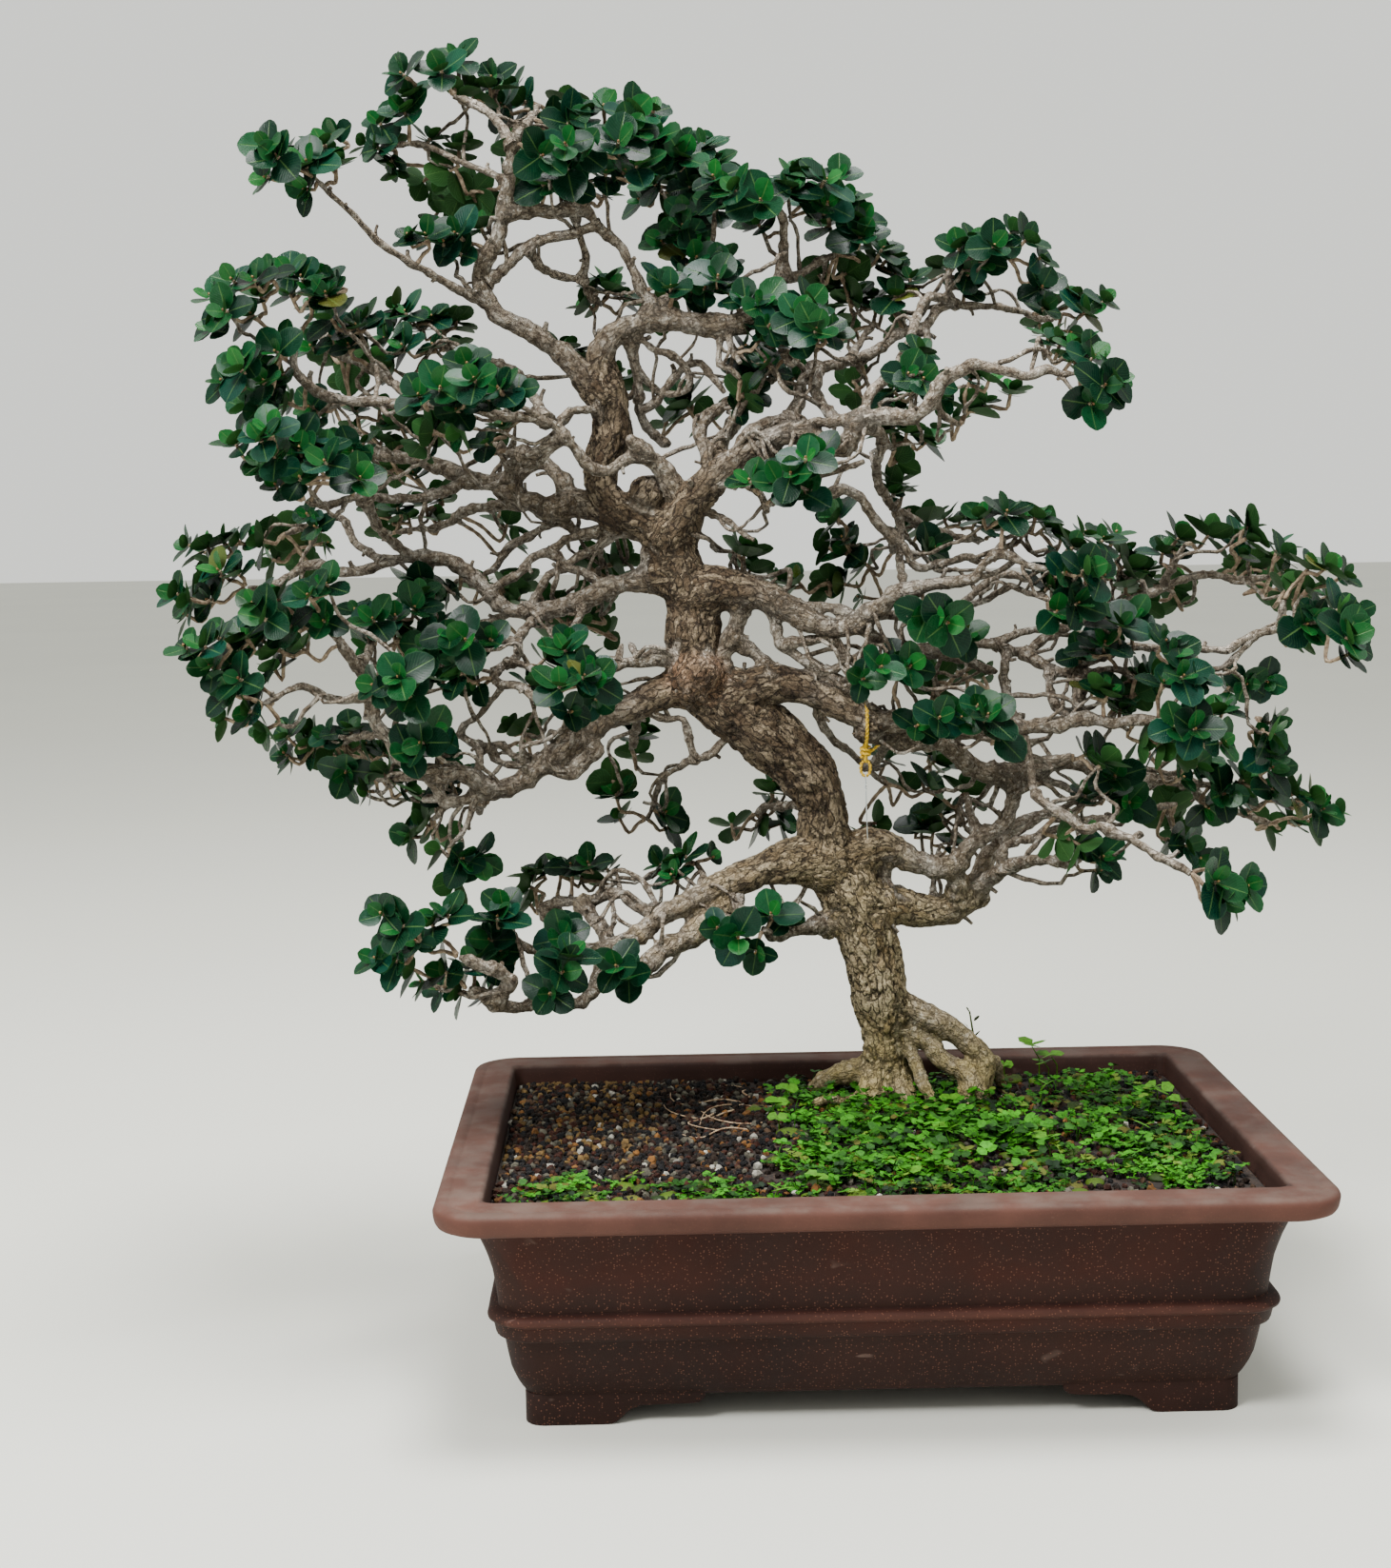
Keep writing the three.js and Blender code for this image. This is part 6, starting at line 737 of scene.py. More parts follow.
def tube(points, radii, sides):
    """Points and faces of a closed tube with rounded ends."""
    points = np.asarray(points, float)
    radii = np.asarray(radii, float)
    ahead = unit(points[-1] - points[-2])
    behind = unit(points[0] - points[1])
    points = np.concatenate([[points[0] + behind * radii[0] * 0.45], points, [points[-1] + ahead * radii[-1] * 0.45]])
    radii = np.concatenate([[radii[0] * 0.6], radii, [radii[-1] * 0.6]])
    angles = tau * np.arange(sides) / sides
    rings = [
        p + radius * (np.outer(np.cos(angles), side) + np.outer(np.sin(angles), up))
        for p, radius, (_, side, up) in zip(points, radii, frames_along(points))
    ]
    faces = [tuple(range(sides - 1, -1, -1))]
    for k in range(len(rings) - 1):
        a = k * sides
        for s in range(sides):
            b = (s + 1) % sides
            faces.append((a + s, a + b, a + b + sides, a + s + sides))
    faces.append(tuple(range((len(rings) - 1) * sides, len(rings) * sides)))
    return np.concatenate(rings), faces


def stood(pattern, root, along, side, normal, size, bend=0.0, wide=1.0):
    """The pattern's points with x along, y to the side and z up from its surface."""
    p = pattern["points"]
    z = p[:, 2] - bend * p[:, 0] ** 2
    return root + size * (np.outer(p[:, 0], along) + np.outer(p[:, 1] * wide, side) + np.outer(z, normal))


# FINISHES


class Nodes:
    """A node tree, with short ways to add nodes and join them."""

    def __init__(self, tree):
        self.tree = tree

    def add(self, kind, **values):
        node = self.tree.nodes.new(kind)
        for name, value in values.items():
            setattr(node, name, value)
        return node

    def feed(self, node, **sources):
        """Sets a node's inputs: a socket joins, anything else is a plain value. Names use _ for a space."""
        for name, source in sources.items():
            by_number = name[0] == "i" and name[1:].isdigit()
            socket = node.inputs[int(name[1:]) if by_number else name.replace("_", " ")]
            if isinstance(source, bpy.types.NodeSocket):
                self.tree.links.new(source, socket)
            else:
                socket.default_value = source
        return node

    def place(self):
        return self.add("ShaderNodeTexCoord").outputs["Object"]

    def carried(self, name):
        """What the mesh carries at each point under a name."""
        return self.add("ShaderNodeAttribute", attribute_name=name, attribute_type="GEOMETRY").outputs

    def channels(self, colour):
        return self.feed(self.add("ShaderNodeSeparateColor"), i0=colour).outputs

    def split(self, vector):
        return self.feed(self.add("ShaderNodeSeparateXYZ"), i0=vector).outputs

    def mapped(self, vector, scale, **more):
        return self.feed(self.add("ShaderNodeMapping"), Vector=vector, Scale=scale, **more).outputs[0]

    def noise(self, vector, scale, detail=4.0, roughness=0.55, **more):
        node = self.add("ShaderNodeTexNoise")
        return self.feed(node, Vector=vector, Scale=scale, Detail=detail, Roughness=roughness, **more).outputs["Fac"]

    def cells(self, vector, scale, **values):
        return self.feed(self.add("ShaderNodeTexVoronoi", **values), Vector=vector, Scale=scale).outputs

    def steps(self, value, low, high, from_value=0.0, to_value=1.0):
        """value spread from low..high to from_value..to_value and held at its ends."""
        node = self.add("ShaderNodeMapRange", interpolation_type="SMOOTHSTEP")
        return self.feed(node, i0=value, i1=low, i2=high, i3=from_value, i4=to_value).outputs[0]

    def math(self, operation, a, b=0.0, c=0.0):
        return self.feed(self.add("ShaderNodeMath", operation=operation), i0=a, i1=b, i2=c).outputs[0]

    def times(self, a, b):
        return self.math("MULTIPLY", a, b)

    def off_middle(self, value, middle):
        return self.math("ABSOLUTE", self.math("SUBTRACT", value, middle))

    def blend(self, fac, a, b, kind="MIX"):
        node = self.add("ShaderNodeMix", data_type="RGBA", blend_type=kind)
        four = [v if isinstance(v, bpy.types.NodeSocket) else (*tuple(v)[:3], 1.0) for v in (a, b)]
        return self.feed(node, i0=fac, i6=four[0], i7=four[1]).outputs[2]

    def shaded(self, colour, mask, low, high, darker, lighter):
        """The colour, darker where a mask is low and lighter where it is high."""
        return self.blend(1.0, colour, self.blend(self.steps(mask, low, high), darker, lighter), "MULTIPLY")

    def bump(self, height, strength, distance):
        node = self.feed(self.add("ShaderNodeBump"), Height=height, Strength=strength, Distance=distance)
        return node.outputs["Normal"]

    def grit(self, vector, grain, share, mottle):
        node = self.add("ShaderNodeGroup", node_tree=grit_group())
        return self.feed(node, Vector=vector, Grain_scale=grain, Share=share, Mottle_scale=mottle).outputs


class Coat(Nodes):
    """The nodes of a material with its shader."""

    def __init__(self, name):
        self.material = bpy.data.materials.new(name)
        self.material.use_nodes = True
        super().__init__(self.material.node_tree)

    def done(self, **sources):
        self.feed(self.tree.nodes["Principled BSDF"], **sources)
        return self.material


def grit_group():
    """Fine grains: a mask of scattered specks, and a soft mottling that goes up and down over the surface."""
    if "grit" in bpy.data.node_groups:
        return bpy.data.node_groups["grit"]
    group = bpy.data.node_groups.new("grit", "ShaderNodeTree")
    group.interface.new_socket("Vector", in_out="INPUT", socket_type="NodeSocketVector")
    for label, value in (("Grain scale", 500.0), ("Share", 0.3), ("Mottle scale", 14.0)):
        group.interface.new_socket(label, in_out="INPUT", socket_type="NodeSocketFloat").default_value = value
    for label in ("Specks", "Mottle", "Height"):
        group.interface.new_socket(label, in_out="OUTPUT", socket_type="NodeSocketFloat")
    n = Nodes(group)
    given = n.add("NodeGroupInput").outputs
    cells = n.cells(given["Vector"], given["Grain scale"])
    near = n.steps(cells["Distance"], 0.16, 0.34, 1.0, 0.0)
    chosen = n.math("LESS_THAN", n.channels(cells["Color"])[0], given["Share"])
    specks = n.times(near, chosen)
    mottle = n.noise(given["Vector"], given["Mottle scale"], 5.0, 0.6)
    height = n.math("MULTIPLY_ADD", specks, 0.5, n.noise(given["Vector"], 900.0, 3.0, 0.7))
    n.feed(n.add("NodeGroupOutput"), Specks=specks, Mottle=mottle, Height=height)
    return group


def clay_material(settings):
    n = Coat("fired_clay")
    place = n.place()
    grain = n.grit(place, 560.0, 0.42, 22.0)
    x, y, height = n.split(place)
    rim = n.steps(height, 0.1455, 0.152)
    bead = n.times(n.steps(height, 0.0785, 0.0815), n.steps(height, 0.0845, 0.0868, 1.0, 0.0))
    dusty = n.math("MAXIMUM", rim, n.times(bead, 0.35))
    colour = n.blend(dusty, settings.clay, settings.rim_clay)
    # Painted shade: inside the rim's inner edge the wall is made a darker brown, as in the shadow within the pot.
    inner = [
        n.steps(n.off_middle(value, middle), half * MM + 0.0025, half * MM + 0.0055, 0.85, 0.0)
        for value, middle, half in zip((x, y), POT_MIDDLE, BED_HALF)
    ]
    colour = n.blend(n.times(*inner), colour, srgb(36, 22, 18))
    dust = n.steps(n.noise(place, 34.0, 5.0, 0.62), 0.36, 0.66, 0.15, 0.8)
    colour = n.blend(n.times(n.steps(height, 0.1615, 0.1645), dust), colour, srgb(94, 80, 73))
    colour = n.shaded(colour, n.noise(place, 7.0, 3.0, 0.5), 0.35, 0.7, (0.72, 0.7, 0.7), (1.12, 1.1, 1.08))
    colour = n.shaded(colour, grain["Mottle"], 0.3, 0.72, (0.8, 0.78, 0.77), (1.14, 1.13, 1.13))
    specks = n.times(grain["Specks"], n.steps(dusty, 0.2, 1.0, 0.55, 0.12))
    colour = n.blend(specks, colour, settings.speckle)
    scratch = n.noise(n.mapped(place, (30, 190, 70), Rotation=(0.2, 0.1, 0.5)), 1.0, 2.0, 0.5, Distortion=0.6)
    where = n.steps(n.noise(place, 16.0, 2.0, 0.5), 0.52, 0.64)
    scuff = n.times(n.times(n.steps(scratch, 0.69, 0.76), where), 0.22)
    return n.done(
        Base_Color=n.blend(scuff, colour, srgb(150, 126, 114)),
        Roughness=n.steps(grain["Mottle"], 0.25, 0.8, 0.62, 0.82),
        Normal=n.bump(grain["Height"], 0.28, 0.0006),
        Specular_IOR_Level=0.16,
    )


def bark_material(settings):
    n = Coat("bark")
    crack, age, burl = n.channels(n.carried("bark_look")["Color"])
    place = n.place()
    run = n.carried("bark_place")["Vector"]
    drift = n.feed(n.add("ShaderNodeTexNoise"), Vector=run, Scale=150.0, Detail=4.0).outputs["Color"]
    shift = n.feed(n.add("ShaderNodeVectorMath", operation="SCALE"), i0=drift, Scale=0.0062).outputs[0]
    bent = n.feed(n.add("ShaderNodeVectorMath", operation="ADD"), i0=run, i1=shift).outputs[0]
    along = n.mapped(bent, (1, 1, 0.36))
    tone = n.channels(n.cells(along, 190.0)["Color"])[0]
    ragged = n.noise(bent, 420.0, 3.0, 0.7)
    gaps = n.noise(run, 260.0, 2.0, 0.5)
    wide_edge = n.math("MULTIPLY_ADD", ragged, 0.16, n.cells(along, 190.0, feature="DISTANCE_TO_EDGE")["Distance"])
    wide_cracks = n.times(n.steps(wide_edge, 0.1, 0.2, 1.0, 0.0), n.steps(gaps, 0.36, 0.56, 0.12, 1.0))
    fine_edge = n.math("MULTIPLY_ADD", ragged, 0.2, n.cells(along, 460.0, feature="DISTANCE_TO_EDGE")["Distance"])
    fine_cracks = n.times(n.steps(fine_edge, 0.12, 0.26, 1.0, 0.0), n.steps(gaps, 0.62, 0.4, 0.0, 1.0))
    rings = n.noise(n.mapped(bent, (0.5, 0.5, 2.0)), 150.0, 4.0, 0.65)
    flecks = n.noise(place, 620.0, 3.0, 0.7)
    lichen = n.noise(bent, 180.0, 4.0, 0.68)
    patches = n.noise(place, 42.0, 4.0, 0.6)
    height = n.split(place)[2]

    spotted = n.steps(patches, 0.3, 0.7)
    plate = n.blend(spotted, settings.plate, srgb(134, 113, 80))
    plate = n.blend(n.steps(tone, 0.1, 0.9, 0.0, 0.7), plate, srgb(198, 182, 148))
    # Above the trunk's bend the plates are darker: partly the older bark's own darker tone, partly painted shade from
    # the crown above.
    upper = n.blend(spotted, srgb(110, 94, 74), srgb(72, 57, 42))
    upper = n.blend(n.steps(tone, 0.3, 0.95, 0.0, 0.7), upper, srgb(158, 142, 118))
    plate = n.blend(n.steps(height, 0.29, 0.41), plate, upper)
    limb = n.blend(n.steps(rings, 0.34, 0.62, 0.25, 1.0), srgb(88, 74, 56), settings.limb)
    limb = n.blend(n.steps(patches, 0.5, 0.72, 0.0, 0.8), limb, srgb(184, 177, 166))
    limb = n.blend(n.steps(lichen, 0.36, 0.47, 0.75, 0.0), limb, srgb(62, 49, 37))
    limb = n.blend(n.steps(lichen, 0.53, 0.66, 0.0, 0.7), limb, srgb(206, 201, 190))
    colour = n.blend(age, limb, plate)
    colour = n.blend(n.times(burl, 0.62), colour, srgb(156, 118, 90))
    low = n.steps(height, 0.165, 0.25, 1.0, 0.0)
    colour = n.blend(n.times(low, n.steps(patches, 0.35, 0.66, 0.25, 0.75)), colour, srgb(176, 158, 98))
    whole = n.math("MULTIPLY_ADD", low, -0.45, 1.0)
    for dark in (
        n.times(fine_cracks, n.steps(age, 0.0, 1.0, 0.22, 0.42)),
        n.times(wide_cracks, n.steps(age, 0.0, 1.0, 0.42, 0.9)),
        n.steps(crack, 0.3, 0.95, 0.0, 0.5),
    ):
        colour = n.blend(n.times(dark, whole), colour, settings.crack)
    colour = n.shaded(colour, flecks, 0.3, 0.72, (0.6, 0.58, 0.56), (1.22, 1.22, 1.22))
    # Painted light and shade: faces that look up are made lighter, partly the bark's own bleaching, and undersides
    # darker, as shade falls under the limbs.
    facing_up = n.split(n.add("ShaderNodeNewGeometry").outputs["Normal"])[2]
    colour = n.blend(1.0, colour, n.steps(facing_up, -0.75, 0.55, 0.6, 1.14), "MULTIPLY")
    relief = n.math("MULTIPLY_ADD", wide_cracks, -1.6, n.math("MULTIPLY_ADD", fine_cracks, -0.7, flecks))
    return n.done(
        Base_Color=colour,
        Roughness=n.steps(flecks, 0.2, 0.8, 0.75, 0.95),
        Normal=n.bump(n.math("MULTIPLY_ADD", rings, 0.5, relief), 0.9, 0.0013),
        Specular_IOR_Level=0.25,
    )


def leaf_material(settings, name, under):
    n = Coat(name)
    young, bright, rusty = n.channels(n.carried("leaf_look")["Color"])
    place = n.place()
    across, up_blade, _ = n.split(n.add("ShaderNodeUVMap", uv_map="surface").outputs[0])
    off_middle = n.off_middle(across, 0.5)
    midrib = n.steps(off_middle, 0.006, 0.035, 1.0, 0.0)
    slant = n.math("MULTIPLY_ADD", off_middle, -0.75, up_blade)
    side_veins = n.feed(n.add("ShaderNodeMath", operation="PINGPONG"), i0=slant, i1=0.045).outputs[0]
    veins = n.steps(side_veins, 0.0, 0.012, 1.0, 0.0)
    mottle = n.noise(place, 120.0, 4.0, 0.6)

    deep = n.blend(n.steps(bright, 0.0, 1.0), srgb(2, 26, 20), settings.leaf)
    deep = n.blend(n.steps(bright, 0.7, 1.0, 0.0, 0.7), deep, srgb(6, 52, 44))
    colour = n.blend(young, deep, settings.young_leaf)
    colour = n.blend(rusty, colour, srgb(98, 96, 36))
    if under:
        colour = n.blend(0.55, colour, srgb(44, 78, 32))
    colour = n.shaded(colour, mottle, 0.3, 0.7, (0.84, 0.86, 0.84), (1.12, 1.1, 1.1))
    colour = n.shaded(colour, n.noise(place, 24.0, 2.0, 0.5), 0.35, 0.65, (0.82, 0.88, 0.92), (1.1, 1.08, 0.98))
    colour = n.blend(n.times(veins, 0.18 if under else 0.1), colour, srgb(90, 140, 80))
    colour = n.blend(n.times(midrib, 0.22), colour, srgb(120, 160, 84))
    # Painted highlight: a paler edge along the blade's margin, where its thick edge catches the light.
    colour = n.blend(n.steps(off_middle, 0.46, 0.495, 0.0, 0.18), colour, srgb(86, 140, 92))
    relief = n.math("MULTIPLY_ADD", midrib, -0.9, n.math("MULTIPLY_ADD", veins, -0.3, mottle))
    return n.done(
        Base_Color=colour,
        Roughness=n.steps(mottle, 0.25, 0.75, *((0.5, 0.62) if under else (0.22, 0.34))),
        Normal=n.bump(relief, 0.3, 0.0005),
        Specular_IOR_Level=0.1 if under else 0.14,
    )


def twig_material():
    n = Coat("twig_bark")
    place = n.place()
    patches = n.noise(place, 210.0, 4.0, 0.65)
    flecks = n.noise(place, 900.0, 2.0, 0.6)
    colour = n.blend(n.steps(patches, 0.38, 0.62), srgb(88, 68, 50), srgb(150, 132, 108))
    colour = n.blend(n.steps(flecks, 0.35, 0.7, 0.0, 0.5), colour, srgb(110, 96, 78))
    return n.done(Base_Color=colour, Roughness=0.85, Normal=n.bump(n.math("ADD", patches, flecks), 0.5, 0.0006))


def stone_material():
    n = Coat("gravel")
    grain = n.grit(n.place(), 1500.0, 0.4, 260.0)
    own = n.carried("stone_look")["Color"]
    colour = n.shaded(own, grain["Mottle"], 0.3, 0.7, (0.62, 0.6, 0.58), (1.3, 1.28, 1.25))
    colour = n.blend(n.times(grain["Specks"], 0.2), colour, srgb(190, 176, 150))
    normal = n.bump(grain["Height"], 0.6, 0.0005)
    return n.done(Base_Color=colour, Roughness=0.86, Normal=normal, Specular_IOR_Level=0.2)


def soil_material():
    n = Coat("damp_soil")
    grain = n.grit(n.place(), 380.0, 0.35, 90.0)
    colour = n.blend(n.steps(grain["Mottle"], 0.3, 0.7), srgb(20, 15, 12), srgb(50, 37, 28))
    colour = n.blend(grain["Specks"], colour, srgb(92, 70, 50))
    return n.done(Base_Color=colour, Roughness=0.92, Normal=n.bump(grain["Height"], 0.9, 0.0012))


def plant_material(name, light, dark, spots):
    """Small leaves or moss: two greens by the plant's own draw, which for the weeds also holds painted patches of
    sunlight; mottled.
    """
    n = Coat(name)
    bright, dry, _ = n.channels(n.carried("plant_look")["Color"])
    mottle = n.noise(n.place(), spots, 4.0, 0.7)
    colour = n.shaded(n.blend(bright, dark, light), mottle, 0.3, 0.7, (0.55, 0.6, 0.5), (1.25, 1.22, 1.1))
    colour = n.blend(dry, colour, srgb(150, 140, 60))
    return n.done(Base_Color=colour, Roughness=0.6, Normal=n.bump(mottle, 0.5, 0.0008), Specular_IOR_Level=0.2)


def two_tone(name, noise, spread, dark, light, relief=None, stretch=None, **shader):
    """A plain finish: patches of two tones, with a little relief."""
    n = Coat(name)
    place = n.mapped(n.place(), stretch) if stretch else n.place()
    patches = n.noise(place, *noise)
    if relief:
        shader["Normal"] = n.bump(patches, *relief)
    if isinstance(shader["Roughness"], tuple):
        shader["Roughness"] = n.steps(patches, *shader["Roughness"])
    return n.done(Base_Color=n.blend(n.steps(patches, *spread), dark, light), **shader)


# POT


def rounded_ring(half_length, half_depth, corner, z, steps):
    """A level ring with rounded corners, counter-clockwise from above."""
    ring = []
    for sx, sy, start in ((1, -1, -90), (1, 1, 0), (-1, 1, 90), (-1, -1, 180)):
        for s in range(steps + 1):
            a = radians(start + 90 * s / steps)
            x = sx * (half_length - corner) + corner * cos(a)
            ring.append((x, sy * (half_depth - corner) + corner * sin(a), z))
    return to_row(ring)


def lofted(name, rings):
    """A filled circle, shaped to the first ring and extruded to each next one."""
    piece = filled_circle(name, rings[0])
    bpy.ops.object.mode_set(mode="EDIT")
    mesh = bmesh.from_edit_mesh(piece.data)
    for v, p in zip(mesh.verts, rings[0]):
        v.co = p
    before = rings[0]
    for ring in rings[1:]:
        bpy.ops.mesh.extrude_region_move()
        mesh = bmesh.from_edit_mesh(piece.data)
        for v in [v for v in mesh.verts if v.select]:
            v.co = ring[int(np.argmin(((before - np.array(v.co)) ** 2).sum(1)))]
        before = ring
    bmesh.update_edit_mesh(piece.data)
    faced_outwards()
    return piece


def pot_rings(steps):
    """The pot's rings from the underside up the outside, over the rim and down inside to the floor."""
    # beyond the foot: length, depth, corner, height
    grows = groups("""
        -3,-3,13,19.5 -0.5,-0.5,15,20.6 1,1,17,23 3,3.5,18,26.5 5,6,20,30 7.2,9.8,21,36 9,13,22,42 11,16.6,23,54
        12.8,19.6,24,65.8 13.2,20.2,24,67.2 16.6,23.6,26,67.4 17.8,24.8,27,68.2 18.2,25.4,27,69.6 19.6,27.4,28,77.4
        19.9,27.7,28,78.4 21.4,29.2,28,79.2 22.8,30.6,28,80.6 23.2,31,28,82.4 22.6,30.4,28,84.2 20.8,28.6,27,85.6
        18,25.9,26,86.4 16,24,26,87.2 16.3,24.3,26,91 17.6,25.7,27,101 19.4,27.6,28,113 21.9,29.4,28,122
        24.3,30.6,29,128.5 26.4,31.4,29,133.5 29.4,32.6,30,140 31.8,33.4,30,145 33.4,34.4,30,147.2 36,37,30,148""")
    # beyond the rim: length and depth, corner, height
    rim = groups("""
        -10,29,148.2 -6,30,148.8 -2.8,31,150.6 -1.2,32,153.4 -0.4,33,157.2 -0.1,33,160.4 -0.9,33,162.7 -2.5,32,164.2
        -5,31,165 -8.6,29,165 -9.7,28,164.4 -11,27,164.4 -12.2,26,164.9 -22,17,164.8 -29.4,12,164.9 -31.7,10,164.2
        -33,9,162.4 -33.7,8,157 -35,9,140""")
    inside = [(20 - WALL, 26 - WALL, 14, 86), (4 - WALL, 8 - WALL, 14, 39), (-WALL, 2 - WALL, 12, 33)]
    foot = [(FOOT_HALF[0] + a, FOOT_HALF[1] + b, corner, z) for a, b, corner, z in grows]
    lip = [(RIM_HALF[0] + a, RIM_HALF[1] + a, corner, z) for a, corner, z in rim]
    well = [(FOOT_HALF[0] + a, FOOT_HALF[1] + b, corner, z) for a, b, corner, z in inside]
    return [rounded_ring(*row, steps) for row in foot + lip + well]


def foot_outline(outer, reach):
    """The cloud-shaped side of a foot: distance from the middle of the pot, and height."""
    inner = outer - FOOT_WIDTH
    return [
        (outer, 0), (outer, 22), (reach + 1, 22), (reach + 0.6, 19), (reach + 2, 16.4), (reach + 4.8, 14.6),
        (reach + 9, 13.7), (inner - 27, 13.3), (inner - 21, 12.6), (inner - 16.5, 10.9), (inner - 12.6, 8),
        (inner - 9, 4.4), (inner - 5.6, 1.6), (inner - 2, 0.3), (inner + 1, 0),
    ]  # fmt: skip


def foot_plate(name, corners, push):
    plate = filled_circle(name, corners)
    for v, p in zip(plate.data.vertices, to_row(corners)):
        v.co = p
    bpy.ops.object.mode_set(mode="EDIT")
    bpy.ops.mesh.select_all(action="SELECT")
    bpy.ops.mesh.extrude_region_move(TRANSFORM_OT_translate={"value": push})
    faced_outwards()
    return plate


def corner_foot(settings):
    """The front right foot: two plates that meet in a rounded corner."""
    thick = FOOT_THICKNESS * MM
    front = [(x, -FOOT_HALF[1], z) for x, z in foot_outline(FOOT_HALF[0], BRACKET_REACH[0])]
    side = [(FOOT_HALF[0], -y, z) for y, z in foot_outline(FOOT_HALF[1], BRACKET_REACH[1])]
    foot = foot_plate("foot", front, (0, thick, 0))
    other = foot_plate("foot_side", side, (-thick, 0, 0))
    with_modifier(foot, "BOOLEAN", operation="UNION", object=other, solver="EXACT")
    deleted(other)
    corner = to_row([(FOOT_HALF[0], -FOOT_HALF[1], 0)])[0]
    take(foot)
    bpy.ops.object.mode_set(mode="EDIT")
    bpy.ops.mesh.select_mode(type="EDGE")
    bpy.ops.mesh.select_all(action="DESELECT")
    mesh = bmesh.from_edit_mesh(foot.data)
    for edge in mesh.edges:
        edge.select_set(all(abs(v.co.x - corner[0]) < 1e-5 and abs(v.co.y - corner[1]) < 1e-5 for v in edge.verts))
    bmesh.update_edit_mesh(foot.data)
    bpy.ops.mesh.bevel(offset=0.013, segments=6, affect="EDGES")
    bpy.ops.mesh.select_all(action="SELECT")
    bpy.ops.mesh.remove_doubles(threshold=1e-6)
    bpy.ops.object.mode_set(mode="OBJECT")
    with_modifier(foot, "BEVEL", width=settings.edge, segments=2, limit_method="ANGLE", angle_limit=radians(40))
    return foot


def mirrored(piece, sx, sy):
    """A copy of a piece on the other side of the pot's middle, with its own mesh."""
    copy = piece.copy()
    copy.data = piece.data.copy()
    bpy.context.scene.collection.objects.link(copy)
    middle = Vector((POT_MIDDLE[0], POT_MIDDLE[1], 0))
    flip = Matrix.Translation(middle) @ Matrix.Diagonal((sx, sy, 1, 1)) @ Matrix.Translation(-middle)
    copy.data.transform(flip)
    if sx * sy < 0:
        copy.data.flip_normals()
    return copy


class BONSAI_OT_pot(bpy.types.Operator):
    """Makes the oblong pot with its rim, belt, drain holes and four feet"""

    bl_idname = "bonsai.pot"
    bl_label = "Pot"

    def execute(self, context):
        settings = context.scene.bonsai_pot
        pot = lofted("clay_pot", pot_rings(settings.corner_steps))
        for side in (-1, 1):
            clear_selection()
            middle = to_row([(side * DRAIN_HOLE_OUT, 0, 26)])[0]
            bpy.ops.mesh.primitive_cylinder_add(vertices=40, radius=DRAIN_HOLE_RADIUS * MM, depth=0.04, location=middle)
            drill = bpy.context.object
            with_modifier(pot, "BOOLEAN", operation="DIFFERENCE", object=drill, solver="EXACT")
            deleted(drill)
        foot = corner_foot(settings)
        feet = [foot] + [mirrored(foot, sx, sy) for sx, sy in ((-1, 1), (1, -1), (-1, -1))]
        take(pot)
        for piece in feet:
            piece.select_set(True)
        bpy.ops.object.join()
        bpy.ops.object.transform_apply(location=True, rotation=True, scale=True)
        finished(pot, 38, [clay_material(settings)], "pot_clay", "pot")
        return {"FINISHED"}


class BONSAI_OT_drain_mesh(bpy.types.Operator):
    """Coats the two plastic screens over the drain holes"""

    bl_idname = "bonsai.drain_mesh"
    bl_label = "Drain mesh"

    def execute(self, context):
        haze, dark, light = (180.0, 3.0, 0.6), srgb(26, 28, 26), srgb(58, 56, 50)
        plastic = two_tone("drain_mesh_plastic", haze, (0.35, 0.7), dark, light, Roughness=(0.3, 0.8, 0.4, 0.65))
        for name in ("screen_left", "screen_right"):
            coated(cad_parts[name], plastic)
        return {"FINISHED"}


# NOISE


def lattice(cell, seed):
    h = cell[..., 0] * 73856093 ^ cell[..., 1] * 19349663 ^ cell[..., 2] * 83492791 ^ (seed + 1) * 40503
    h = (h ^ (h >> 13)) * 1274126177 & 0x7FFFFFFF
    return h ^ (h >> 15)


def soft_noise(q, seed):
    """Smooth noise from -1 to 1 at each point."""
    base = np.floor(q).astype(np.int64)
    t = q - base
    t = t * t * (3 - 2 * t)
    total = np.zeros(len(q))
    for step in np.ndindex(2, 2, 2):
        value = (lattice(base + np.array(step), seed) & 0xFFFF) / 32767.5 - 1
        weight = np.prod(np.where(np.array(step) == 1, t, 1 - t), axis=1)
        total += value * weight
    return total


def cell_gaps(q, seed):
    """Distances to the nearest and second nearest of one scattered point in every unit cell."""
    base = np.floor(q).astype(np.int64)
    near = np.full(len(q), 9.0)
    second = np.full(len(q), 9.0)
    for step in np.ndindex(3, 3, 3):
        cell = base + np.array(step) - 1
        spot = np.stack([(lattice(cell, seed + 11 * k) & 0xFFFF) / 65536 for k in range(3)], axis=1)
        gap = np.linalg.norm(cell + spot - q, axis=1)
        closer = gap < near
        second = np.where(closer, near, np.minimum(second, gap))
        near = np.where(closer, gap, near)
    return near, second


def held(value, low, high):
    t = np.clip((value - low) / (high - low), 0, 1)
    return t * t * (3 - 2 * t)


# WOOD


def on_parent(row):
    """The parent's radius where a limb starts."""
    points, radii = LINES[row[1]]
    start = LINES[row[0]][0][0]
    return radii[int(np.argmin(np.linalg.norm(points - start, axis=1)))]


